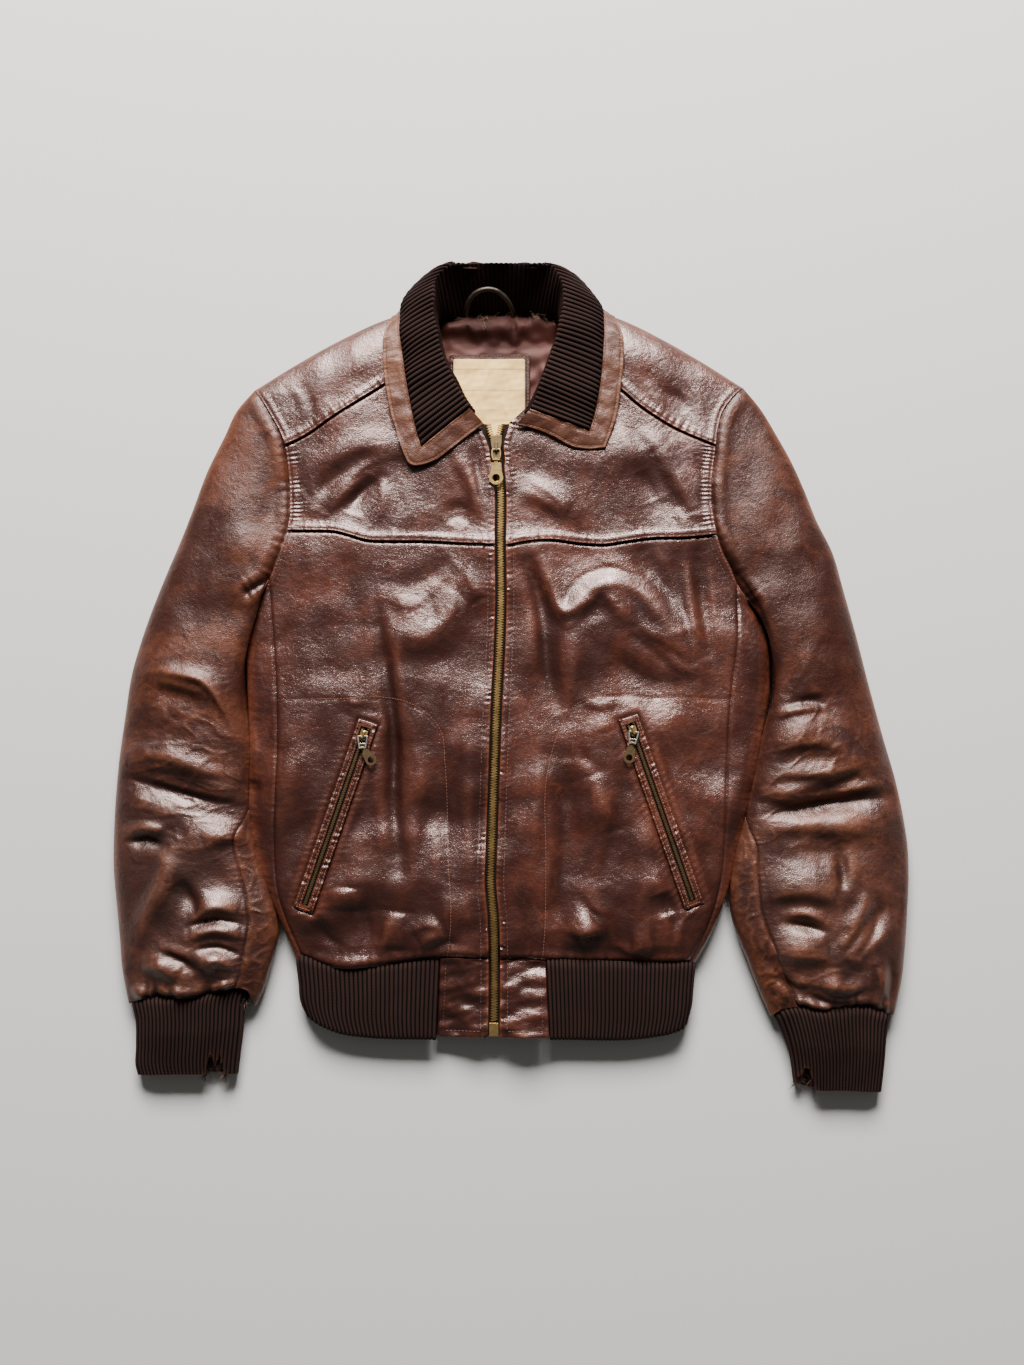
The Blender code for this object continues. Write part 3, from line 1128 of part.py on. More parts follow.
def build_loop():
    route = Curve(LOOP_ROUTE)
    places = np.linspace(0, 1, 13)
    middle = route(places)
    along = unit(route(np.clip(places + .01, 0, 1)) - route(np.clip(places - .01, 0, 1)))
    side_way = unit(np.cross(along, (0, 0.4, 1)))
    up = np.cross(side_way, along)
    angles = np.linspace(0, 2 * math.pi, 8, endpoint=False)
    rings = (middle[:, None] + LOOP_RADIUS * (np.cos(angles)[None, :, None] * side_way[:, None]
             + np.sin(angles)[None, :, None] * up[:, None]))
    faces = []
    for r in range(len(places) - 1):
        for c in range(8):
            a, b = r * 8 + c, r * 8 + (c + 1) % 8
            faces += split(a, b, b + 8, a + 8)
    faces += [(0, c + 1, c) for c in range(1, 7)]
    last = (len(places) - 1) * 8
    faces += [(last, last + c, last + c + 1) for c in range(1, 7)]
    verts = rings.reshape(-1, 3)
    volume = sum(np.dot(verts[a], np.cross(verts[b], verts[c])) for a, b, c in faces)
    if volume < 0:
        faces = [face[::-1] for face in faces]
    built["hanger_loop"] = (verts, faces)
    new_object("hanger_loop", verts, faces, "jacket_leather")


def build_zip():
    ys = np.concatenate([np.linspace(227, 205, 3), np.linspace(195, 118, 4),
                         SIDES["right"]["zip_rows"][2::2], [-285, -308, -329]])
    part = 5.0 * eased((ys - 203) / 24)
    x = zip_x(ys)
    half = np.array([-11.5, -3.1, 3.1, 11.5])
    grid_x = x[:, None] + half + part[:, None] * np.array([-1, -1, 1, 1])
    y = ys[:, None] * np.ones_like(grid_x)
    z = np.minimum(body_top(x[:, None] - 9, y), body_top(x[:, None] + 9, y)) - LEATHER - 1.0
    z -= 1.2 * ((y < -235) & (y > -290))
    outer = np.stack([grid_x, y, z * np.ones_like(grid_x)], axis=-1)
    cells = np.ones((len(ys) - 1, 3), bool)
    cells[:2, 1] = False
    wall("zip_tape", np.stack([outer, outer - (0, 0, 1.0)]), "zip_tape", cells=cells)
    rows = np.append(ys[2:-1], -316)
    x = zip_x(rows)
    top = np.interp(-rows, -ys, z[:, 0]) + 0.35
    left = np.stack([x - 2.9, rows, top + 2.4], axis=-1)
    right = np.stack([x + 2.9, rows, top + 2.4], axis=-1)
    outer = np.stack([left, right], axis=1)
    wall("zip_chain", np.stack([outer, outer - (0, 0, 2.4)]), "brass")
    box = [(-19.7, -318), (-11.3, -318), (-11.3, -329.5), (-19.7, -329.5)]
    base = float(z[-1, 0]) + 0.6
    verts, faces = prism([box], base, base + 2.6)
    built["zip_box"] = (verts, faces)
    new_object("zip_box", verts, faces, "brass")


def turned(points, angle):
    """Plan points of a piece that hangs towards -Y, turned so that it hangs towards an angle."""
    angle = math.radians(angle)
    points = np.array(points, float)
    x = points[:, 0] * math.cos(angle) - points[:, 1] * math.sin(angle)
    y = points[:, 0] * math.sin(angle) + points[:, 1] * math.cos(angle)
    return np.stack([x, y], axis=-1)


def placed(verts, angle, origin):
    verts = np.array(verts, float)
    return np.concatenate([turned(verts[:, :2], angle), verts[:, 2:]], axis=1) + origin


def mirrored(points):
    """An outline from its right half, listed from the top down."""
    return points + [(-x, y) for x, y in points[::-1]]


def circle(x, y, radius, count, start=0.0, end=360.0):
    angles = np.radians(np.linspace(start, end, count, endpoint=end - start < 360))
    return [(x + radius * math.cos(a), y + radius * math.sin(a)) for a in angles]


def joined(name, base, extra, finish, origin):
    """An object of one prism with another joined on by an exact Boolean."""
    main = new_object(name, *base, finish, origin)
    tool = new_object(name + "_join", *extra, finish, origin)
    tool.hide_render = True
    tool.display_type = "WIRE"
    union = main.modifiers.new("Union", "BOOLEAN")
    union.operation = "UNION"
    union.solver = "EXACT"
    union.object = tool
    return main


SLIDER_SHAPES = {
    "main": {"outline": [(5.2, 11), (5.0, 4), (3.9, -2), (4.3, -11)], "thick": 2.0, "bridge": (-4.9, 4.2),
             "bridge_half": 1.3, "tunnel": 2.2, "pivot": -2.6},
    "pocket": {"outline": [(3.2, 4.4), (3.4, 1), (2.9, -2), (2.9, -4.4)], "thick": 1.6,
               "bridge": (-4.1, 4.1), "bridge_half": 0.9, "tunnel": 1.9, "pivot": -1.3},
}
LINK_SHAPES = {
    "main": {"outline": [(3.6, .55), (4.5, -1.5), (4.5, -6.0), (3.2, -10.5)],
             "holes": [[(3.1, -.55), (3.3, -6.0), (2.3, -9.4)]], "bar": -9.95, "finish": "brass"},
    "pocket": {"outline": [(4.85, .55), (4.7, -2.0), (3.2, -11.05)],
               "holes": [[(3.5, -.55), (2.7, -6.2)], [(2.25, -7.3), (2.1, -9.95)]], "bar": -10.5,
               "finish": "nickel"},
}
PULL_SHAPES = {
    "main": {"neck": [(1.5, -1.2), (1.5, -2.7), (4.6, -3.6), (4.9, -9.5)], "centre": -17.2, "radius": 6.5,
             "hole": 3.6},
    "pocket": {"neck": [(1.3, -1.2), (1.3, -3.0), (3.7, -4.2), (3.9, -7.0)], "centre": -13.2,
               "radius": 5.1, "hole": 3.0},
}


def build_pull(kind, suffix, spot, base, slider_angle, link_angle, pull_angle):
    """A slider with its link and pull tab; both hang from bars that they turn on."""
    shape, link, pull = SLIDER_SHAPES[kind], LINK_SHAPES[kind], PULL_SHAPES[kind]
    prefix = "zip" if kind == "main" else "pocket"
    origin = np.array([*spot, base])
    body = prism([mirrored(shape["outline"])], 0, shape["thick"])
    low, high = shape["bridge"]
    floor = shape["thick"] + 0.25
    roof = floor + shape["tunnel"]
    arch = [(low, 0.6), (high, 0.6), (high, roof + 0.3), (high - 1.1, roof + 1.1),
            (low + 1.1, roof + 1.1), (low, roof + 0.3)]
    hole = [(low + 1.1, floor), (high - 1.1, floor), (high - 1.1, roof), (low + 1.1, roof)]
    arch_verts, arch_faces = prism([arch, hole], -shape["bridge_half"], shape["bridge_half"])
    arch_verts = arch_verts[:, [2, 0, 1]]
    body = (placed(body[0], slider_angle, origin), body[1])
    bridge = (placed(arch_verts, slider_angle, origin), arch_faces)
    joined(prefix + "_slider" + suffix, body, bridge, "brass", origin)
    pivot = placed([(0, shape["pivot"], floor + shape["tunnel"] / 2)], slider_angle, origin)[0]
    ring = [mirrored(link["outline"])] + [mirrored(one) for one in link["holes"]]
    verts, faces = prism(ring, -0.55, 0.55)
    new_object(prefix + "_link" + suffix, placed(verts, link_angle, pivot), faces, link["finish"], pivot)
    bar = placed([(0, link["bar"], 0)], link_angle, pivot)[0]
    outer, inner = circle(0, 0, 1.8, 10), circle(0, 0, 0.98, 8, 22.5, 382.5)
    knuckle, knuckle_faces = prism([outer, inner], -1.4, 1.4)
    knuckle = placed(knuckle[:, [2, 0, 1]], link_angle, bar)
    rim = circle(0, pull["centre"], pull["radius"], 9, 20, -90)
    half = pull["neck"] + [p for p in rim if p[0] > 0.01]
    skew = pull_angle - link_angle
    outline = turned(mirrored(half), skew)
    outline[:, 1] = np.minimum(outline[:, 1], -1.2)
    hole = turned(circle(0, pull["centre"], pull["hole"], 12), skew)
    verts, faces = prism([outline.tolist(), hole.tolist()], -0.65, 0.65)
    joined(prefix + "_pull" + suffix, (placed(verts, link_angle, bar), faces),
           (knuckle, knuckle_faces), "brass", bar)
    print(prefix + suffix, "link bar", np.round(pivot, 3), "pull bar", np.round(bar, 3))


def build_pocket(name):
    shape = POCKETS[name]
    top, bottom = np.array(shape["top"], float), np.array(shape["bottom"], float)
    run = bottom - top
    length = np.linalg.norm(run)
    along = run / length
    angle = math.degrees(math.atan2(along[0], -along[1]))
    across = np.array([-along[1], along[0]])
    tree = surface_of("front_" + name)
    downs = np.array([0, 5, 10, 18, 22, 40, 60, 80, 100, 120, 140, 160, length - 5, length])
    window = np.where(downs < 20, WINDOW_TOP_HALF, WINDOW_HALF)
    offsets = np.stack([-WELT_HALF + 0 * downs, -window, window, WELT_HALF + 0 * downs], axis=1)
    plan = top + downs[:, None, None] * along + offsets[..., None] * across
    start = np.full(plan.shape[:2], 10.0)
    for index in np.ndindex(start.shape):
        start[index] = height_on(tree, *plan[index]) + WELT + 0.3
    outer = np.concatenate([plan, start[..., None]], axis=-1)
    grid = raised_clear(np.stack([outer, outer - (0, 0, WELT)]), tree, 0.3)
    cells = np.ones((len(downs) - 1, 3), bool)
    cells[1:-1, 1] = False
    wall("pocket_welt_" + name, grid, "jacket_leather", cells=cells)
    downs = np.concatenate([[6.0], np.linspace(24, length - 6.5, 8)])
    plan = top + downs[:, None, None] * along + np.array([[-2.4], [2.4]]) * across
    start = np.array([[height_on(tree, *spot) + 1.5 for spot in row] for row in plan])
    outer = np.concatenate([plan, start[..., None]], axis=-1)
    grid = raised_clear(np.stack([outer, outer - (0, 0, 1.2)]), tree, 0.3)
    wall("pocket_zip_" + name, grid, "brass")
    spot = top + along * shape["slider"]
    zip_tree = surface_of("pocket_zip_" + name, "front_" + name)
    reach = np.linspace(-4.4, 4.4, 7)
    base = max(height_on(zip_tree, *(spot + a * along + b * across)) for a in reach
               for b in (-3.4, -2.3, 0, 2.3, 3.4)) + 0.35
    build_pull("pocket", "_" + name, spot, base, angle, shape["link_turn"], shape["pull_turn"])


build_back()
build_waist()
for label, half in SIDES.items():
    build_cuff(label, half)
build_collar()
build_neck()
build_loop()
build_zip()
chain_top = max(p[2] for p in built["zip_chain"][0] if 192 < p[1] < 220)
build_pull("main", "", (float(zip_x(205.0)), 205.0), chain_top + 0.35, 0.0, 0.0, 0.0)
for label in SIDES:
    build_pocket(label)
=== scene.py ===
# %% [markdown]
# # A worn leather jacket, laid flat
# The jacket lies on its back with its zip closed, as someone lays it out to photograph it. Each piece of
# cloth here is a surface worked out with numpy: a grid of points on a smooth form, with the folds, seams
# and stitches added to its height. All lengths are in millimetres until a mesh is made.

# %% Load the frame
import math

import bpy
import numpy as np
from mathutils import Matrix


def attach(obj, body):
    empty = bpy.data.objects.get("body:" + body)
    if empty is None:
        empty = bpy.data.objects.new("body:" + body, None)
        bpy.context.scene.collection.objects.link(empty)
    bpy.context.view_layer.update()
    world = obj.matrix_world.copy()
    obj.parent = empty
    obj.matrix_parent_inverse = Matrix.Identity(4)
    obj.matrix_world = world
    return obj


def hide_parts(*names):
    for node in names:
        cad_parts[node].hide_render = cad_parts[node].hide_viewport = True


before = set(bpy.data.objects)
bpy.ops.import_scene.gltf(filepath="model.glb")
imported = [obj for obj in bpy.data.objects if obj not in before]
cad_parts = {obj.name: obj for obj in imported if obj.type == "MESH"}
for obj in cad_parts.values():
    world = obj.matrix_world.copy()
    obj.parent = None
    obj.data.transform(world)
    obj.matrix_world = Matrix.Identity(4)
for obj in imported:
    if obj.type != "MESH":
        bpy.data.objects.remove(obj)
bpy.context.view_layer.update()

# %% [markdown]
# ## Camera
# The floor's joints in the photograph run apart by an eighth from top to bottom, so the camera looked
# down with a tilt of 6.5 degrees, a little over a metre above the jacket.

# %% Camera
camera = bpy.data.objects.new("camera", bpy.data.cameras.new("camera"))
camera.data.lens = 35.0
camera.data.sensor_width = 36.0
camera.location = (0.0007, -0.1506, 1.2263)
camera.rotation_euler = (math.radians(6.495), 0, 0)
bpy.context.scene.collection.objects.link(camera)
bpy.context.scene.camera = camera

# %% [markdown]
# ## The pattern
# A garment is drawn by its seams, so the pattern comes first: outlines and seams seen from above, for the
# wearer's right and left half. They are the same lines that the solids were cut from.

# %% Outlines and seams
def points_from(text):
    """Points from text: each point's numbers with spaces between them, and a comma after each point."""
    return [tuple(map(float, point.split())) for point in text.split(",")]


def named_lines(text):
    """Pairs of a name and its line of points from text: "name: x y, x y; name: x y, x y"."""
    entries = (entry.split(":") for entry in text.split(";"))
    return [(name.strip(), points_from(line)) for name, line in entries]


def fold_lines(text):
    """Folds from text, "half width and height: x y, x y; ...", as (points, half width, height)."""
    return [(line, *map(float, name.split())) for name, line in named_lines(text)]


SIDES = {
    "right": {"sign": -1, "tab": -63.5, "rip": (-270, -257), **dict(named_lines("""
        armhole: -242 265, -226 240, -212 213, -207 183, -205 158, -206 129, -211 112, -216 99, -223 82,
        -241 68; silhouette: -241 68, -244.5 48, -245 26, -242 -35, -240 -80, -240 -126, -237 -151, -232
        -170, -221 -200, -208 -230, -199 -250, -194 -263; side_seam: -223 82, -218 26, -213 -35, -212 -81,
        -213 -126, -213 -171, -210 -200, -200 -232, -187 -261; shoulder_line: -242 265, -200 292, -162 314,
        -120 334, -80 346; shoulder_seam: -210 208, -191 218, -172 231, -143 250, -118 267, -72 297;
        neckline: -72 297, -60 272, -44 248, -28.5 228; yoke_seam: -206 127, -184 127, -162 126, -148 122,
        -134 118, -113 117, -85 117, -47 115, -16 112.5; hem: -187 -261, -178 -264.5, -166 -268, -155 -270,
        -127 -269, -95 -265, -63 -261, -21 -262; rib_edge: -194 -256, -191 -281, -188 -303, -183 -312;
        rib_foot: -183 -312, -170 -320, -152 -327, -130 -330, -66 -332; sleeve_outer: -242 265, -259 244,
        -269 221, -284 188, -298 147, -310 114, -317 96, -341 27, -349 -4, -354 -43, -358 -80, -360 -110,
        -361 -140, -360 -185, -357 -210, -353 -242, -350 -270, -343 -302; sleeve_inner: -241 68, -246 47,
        -246.5 26, -243.5 -35, -241.5 -80, -241.5 -126, -238.5 -151, -233.5 -170, -223 -200, -214 -226, -211
        -240, -213 -258, -217 -273, -222 -290, -229 -304; sleeve_hem: -343 -302, -329 -297, -300 -296, -278
        -295, -258 -290, -244 -287, -238 -288, -229 -304; cuff_outer: -341 -304, -336.5 -316, -335 -340,
        -335 -358, -333 -364; cuff_inner: -233 -306, -237.5 -313, -240 -333, -243 -355, -244 -363;
        cuff_foot: -333 -364, -301 -363, -278 -363, -244 -363"""))},
    "left": {"sign": 1, "tab": 31.0, "rip": (256, 268), **dict(named_lines("""
        armhole: 219 267, 208 256, 197 240, 192 222, 189 200, 186 178, 185 156, 187 134, 190 120, 195 106,
        202 93, 208 78, 222 58; silhouette: 222 58, 233 37, 237.5 20, 238.5 -5, 237 -28, 233 -48, 225 -90,
        218 -119, 211 -144, 205 -167, 199 -191, 187 -225, 176 -249, 165.5 -267; side_seam: 208 78, 207 25,
        203 -5, 199 -35, 196 -81, 193.5 -126, 192 -165, 186 -205, 174 -238, 158.5 -266; shoulder_line: 219
        267, 178 294, 141 316, 105 334, 68 346; shoulder_seam: 190 208, 166 218, 145 229, 120 246, 102 262,
        52 296; neckline: 52 296, 38 270, 18 247, -2.5 228; yoke_seam: 187.5 122.5, 158 120, 129 120, 108
        117, 87 114, 66 115, 37 118, 9 115, -3 112; hem: 158.5 -266, 126 -267, 93 -266, 60 -265, 30 -264,
        -10 -263; rib_edge: 166 -266, 163.5 -289, 161.5 -306, 158 -316; rib_foot: 158 -316, 154 -322, 142
        -327, 126 -330, 36 -332; sleeve_outer: 219 267, 234 248, 249 222, 264 193, 275 166, 284 141, 299
        108, 307 77, 317 37, 330 -20, 341 -65, 351 -103, 357 -137, 360 -163, 360 -192, 358 -218, 355 -248,
        351 -279, 343 -312; sleeve_inner: 222 58, 236 36, 241 18, 241.5 -5, 240 -28, 235 -48, 226.5 -90,
        219.5 -119, 213 -144, 207 -166, 202.5 -188, 202 -205, 203 -224, 207 -245, 213 -266, 222 -290, 232
        -313; sleeve_hem: 343 -312, 329 -308, 314 -303, 306 -304, 291 -306, 275 -308, 258 -304, 240 -307,
        232 -313; cuff_outer: 341 -314, 337 -322, 335 -333, 333 -352, 329.5 -379; cuff_inner: 234 -315, 238
        -320, 243 -330, 249 -349, 252 -371; cuff_foot: 329.5 -379, 315 -378, 298 -377, 268 -376, 252
        -371"""))},
}

ZIP_LINE = points_from("""
    -15.5 236, -15 216, -12 189, -10 165, -10 118, -9.5 56, -11 11, -13 -29, -16 -113, -18 -175, -18.5 -195,
    -16 -225, -15 -275, -15.5 -332""")

# Soft troughs (below 0) and ridges: the line each follows, its half width and its height
FOLDS = fold_lines("""
    13 2.6: -194 164, -165 192, -131 207, -108 205; 9 2.2: -172 145, -148 170, -124 186; 10 -2.4: -147 141,
    -138 165, -129 180; 11 -2: -61 136, -49 148, -36 136; 8 1.5: -52 198, -38 174, -27 141; 14 2.4: 8 168,
    31 155, 54 142; 10 2.2: 131 202, 160 160, 170 143; 9 -1.8: 119 184, 133 155; 20 -2.6: -106 71, -79 80,
    -52 99; 19 3.6: -111 24, -79 22, -42 66; 8 -3: -121 38, -114 -12, -107 -55, -106 -119, -99 -182; 13 2:
    -147 -198, -147 -219; 13 2.6: -102 -219, -105 -254; 11 2.4: -82 -249, -59 -236; 10 -3.4: 12 111, 28 65,
    35 5, 45 -47; 9 3: 18 105, 34 78, 49 50, 65 58, 81 69, 98 55, 108 32; 14 3: 63 69, 84 80, 108 76, 141
    48, 166 0; 16 -2.8: 81 45, 92 15, 126 -12, 175 -14; 11 -2.8: 123 106, 141 71, 158 31; 7 -2.2: 171 106,
    175 52, 182 4; 12 -3: 51 -83, 48 -161, 38 -240; 13 2: 72 -97, 91 -150; 12 2.8: 57 -245, 79 -231; 12 2.4:
    107 -253, 128 -250; 9 -2.2: 134 -202, 141 -224; 10 3.6: -324 -3, -299 -18, -270 -24; 11 3: -270 -24,
    -261 -53, -238 -75; 17 3.6: -312 -53, -276 -60, -244 -84; 9 -7: -353 -90, -318 -89, -283 -101, -237
    -108; 8 -5: -340 -158, -322 -155, -299 -147; 13 3.4: -312 -158, -303 -189, -330 -245; 8 2.6: -278 -151,
    -240 -155; 8 -3.6: -296 -131, -265 -134, -240 -140; 9 3: -287 -255, -270 -262, -250 -278; 12 2.6: -285
    -231, -263 -222, -244 -240; 7 2.4: -313 -262, -309 -289; 7 2.2: -292 -262, -288 -288; 9 -3: 261 -31, 286
    -38; 15 3.4: 228 -89, 251 -62, 292 -44; 9 -7: 223 -111, 255 -105, 297 -105, 318 -96; 8 -5: 219 -137, 249
    -131, 285 -123, 339 -111; 12 3.6: 219 -162, 249 -161, 293 -153, 349 -158; 7 -2.4: 294 -162, 294 -199; 10
    -3.2: 347 -216, 312 -231, 264 -260; 6 2.6: 319 -270, 317 -299; 6 2.6: 336 -266, 332 -300; 7 2.6: 286
    -268, 288 -293; 7 2.4: 259 -275, 254 -294; 9 -2: 234 -214, 256 -211""")

# The collar from each front end round to the back: neck seam, crest of the roll, outer edge of the rib
# and outer edge of the leather, as (x, y) on the body or (x, y, z) where they stand clear of it
COLLAR = {
    "right": dict(named_lines("""
        seam: -33 238, -43 253, -55 275, -64 300, -69 321, -66 335 14, -50 339 9, -31 341 7; crest: -39 241
        37, -51 261 41, -62 283 44, -70 315 46, -73 341 46, -70 361 45, -58 374 44, -36 376 44; rib: -83
        205, -90 233, -96 264, -101 297, -104 326, -102 347 17, -86 368 9, -50 374 4.5; leather: -93 181,
        -110 229, -117 262, -120 294, -118 319, -108 345 6, -95 353 0.6, -56 358 0.3; front_edge: -25 226,
        -41 214, -58 200, -74 189, -93 181""")),
    "left": dict(named_lines("""
        seam: 12 237, 20 251, 30 273, 39 298, 45 320, 43 335 14, 29 339 9, 10 341 7; crest: 18 240 37, 26
        259 41, 35 284 44, 44 310 46, 49 336 46, 47 359 45, 38 374 44, 14 376 44; rib: 72 220, 77 238, 82
        266, 85 298, 86 325, 83 347 17, 66 369 9, 28 374 4.5; leather: 85 198, 97 231, 102 262, 105 292, 103
        318, 92 345 6, 76 353 0.6, 34 358 0.3; front_edge: 4 225, 19 222, 37 215, 55 205, 85 198""")),
    "back": dict(named_lines("""
        seam: -11 341.5 6.5; crest: -11 376.5 44; rib: -11 374 4.5; leather: -11 357 0.3""")),
}

LINING_EDGES = dict(named_lines("""
    right: -66 335, -72 322, -80 305, -72 270, -50 205; left: 43 335, 50 322, 58 305, 50 270, 20 205"""))
LABEL_PATCH = (-59, 18, 303, 212)      # right, left, top and bottom edge
LABEL = (-55, 13, 298, 216)
LOOP_ROUTE = points_from("""
    -43 336.5 15.5, -42 341 22, -39 347 29, -33 352 34, -25 354.5 36, -16 354 36, -8 350 33, -2 344.5 27.5,
    1 339.5 21.5, 2 336 16""")
LOOP_RADIUS = 2.3

POCKETS = {"right": {"top": (-129.5, -50), "bottom": (-186, -219)},
           "left": {"top": (106, -46), "bottom": (163.5, -215)}}
WELT_HALF = 9.2
WINDOW_HALF = 2.9
WINDOW_TOP_HALF = 4.9

# %% [markdown]
# ## Curves and easing
# Four small helpers shape everything. `Curve` runs smoothly through points. `eased` goes from 0 to 1
# with level ends. `rounded` is a quarter of an ellipse, the way cloth comes up off a fold. `hump` is a
# soft bell.

# %% Curves and easing
class Curve:
    """A smooth curve through points: between two points it is the cubic that has both their places and
    slopes. Its place runs from 0 to 1 by the spacing of the points."""

    def __init__(self, points, knots=None):
        self.points = np.array(points, float)
        if knots is None:
            steps = np.linalg.norm(np.diff(self.points, axis=0), axis=1)
            knots = np.concatenate([[0.0], np.cumsum(steps)]) / steps.sum()
        self.knots = knots
        self.slopes = np.gradient(self.points, self.knots, axis=0)

    def __call__(self, place):
        place = np.clip(np.asarray(place, float), 0, 1)
        i = np.clip(np.searchsorted(self.knots, place, side="right") - 1, 0, len(self.knots) - 2)
        span = (self.knots[i + 1] - self.knots[i])[..., None]
        x = (place - self.knots[i])[..., None] / span
        start, end = self.points[i], self.points[i + 1]
        lead, tail = self.slopes[i] * span, self.slopes[i + 1] * span
        ends = (2 * x**3 - 3 * x**2 + 1) * start + (3 * x**2 - 2 * x**3) * end
        return ends + (x**3 - 2 * x**2 + x) * lead + (x**3 - x**2) * tail


def as_function(points, of):
    """One plan coordinate of a smooth outline as a function of the other (of = 0 for x, 1 for y)."""
    dense = Curve(points)(np.linspace(0, 1, 400))
    order = np.argsort(dense[:, of])
    return lambda value: np.interp(value, dense[order, of], dense[order, 1 - of])


def rounded(depth):
    """0 at depth 0, rising upright, and 1 from depth 1 on: sqrt(1 - (1 - depth)^2)."""
    return np.sqrt(1 - (1 - np.clip(depth, 0, 1)) ** 2)


def eased(value):
    """3v^2 - 2v^3 between 0 and 1."""
    value = np.clip(value, 0, 1)
    return value * value * (3 - 2 * value)


UP = np.array([0.0, 0, 1])


def xyz(*axes):
    """One grid of points from its two or three coordinates, each spread over the grid."""
    return np.stack(np.broadcast_arrays(*axes), axis=-1)


def hump(distance, width, at=0):
    """A soft bell: exp(-((distance - at) / width)^2)."""
    return np.exp(-((distance - at) / width) ** 2)


def unit(vectors):
    return vectors / np.maximum(np.linalg.norm(vectors, axis=-1, keepdims=True), 1e-9)


def run_of(points):
    """Distance covered along a line of points, at each of them."""
    return np.concatenate([[0.0], np.cumsum(np.linalg.norm(np.diff(points, axis=0), axis=1))])


def at_places(line, run, places):
    """Points, or other numbers of a line, at distances along it."""
    return xyz(*(np.interp(places, run, axis) for axis in line.T))


def resampled(line, shares):
    """Points at shares of a line's whole length."""
    run = run_of(line)
    return at_places(line, run, np.asarray(shares) * run[-1])


def steps(length, pitch, start=True, end=True):
    """Places from 0 to 1 about a pitch apart, with closer ones beside an edge that is rolled over."""
    near = np.array([0, .35, .9, 1.7, 2.8])
    low = near if start else near[:1]
    high = length - (near if end else near[:1])[::-1]
    count = max(2, int((high[0] - low[-1]) / pitch))
    return np.concatenate([low, np.linspace(low[-1], high[0], count + 1)[1:-1], high]) / length


zip_x = as_function(ZIP_LINE, 1)
for half in SIDES.values():
    for name in ("armhole", "silhouette", "side_seam"):
        half[name + "_x"] = as_function(half[name], 1)
    for name in ("hem", "rib_foot", "sleeve_hem", "cuff_foot", "yoke_seam"):
        half[name + "_y"] = as_function(half[name], 0)
    half["armhole_curve"] = Curve(half["armhole"])
    half["armhole_length"] = run_of(half["armhole_curve"](np.linspace(0, 1, 200)))[-1]
shoulder_y = as_function(SIDES["right"]["shoulder_line"] + SIDES["left"]["shoulder_line"][::-1], 0)
print("armhole lengths", [round(half["armhole_length"]) for half in SIDES.values()])

# %% [markdown]
# ## Folds
# Leather is stiff, so it lies in a few broad folds with soft tops, and creases finely only where it was
# bent often. A fold here is a line on the plan with a half width and a height. The height falls off to
# both sides as exp(-(distance / half width)^2). `FOLDS` has the large ones, which the solids have too,
# and `CREASES` the smaller ones, each placed where the photograph shows one.

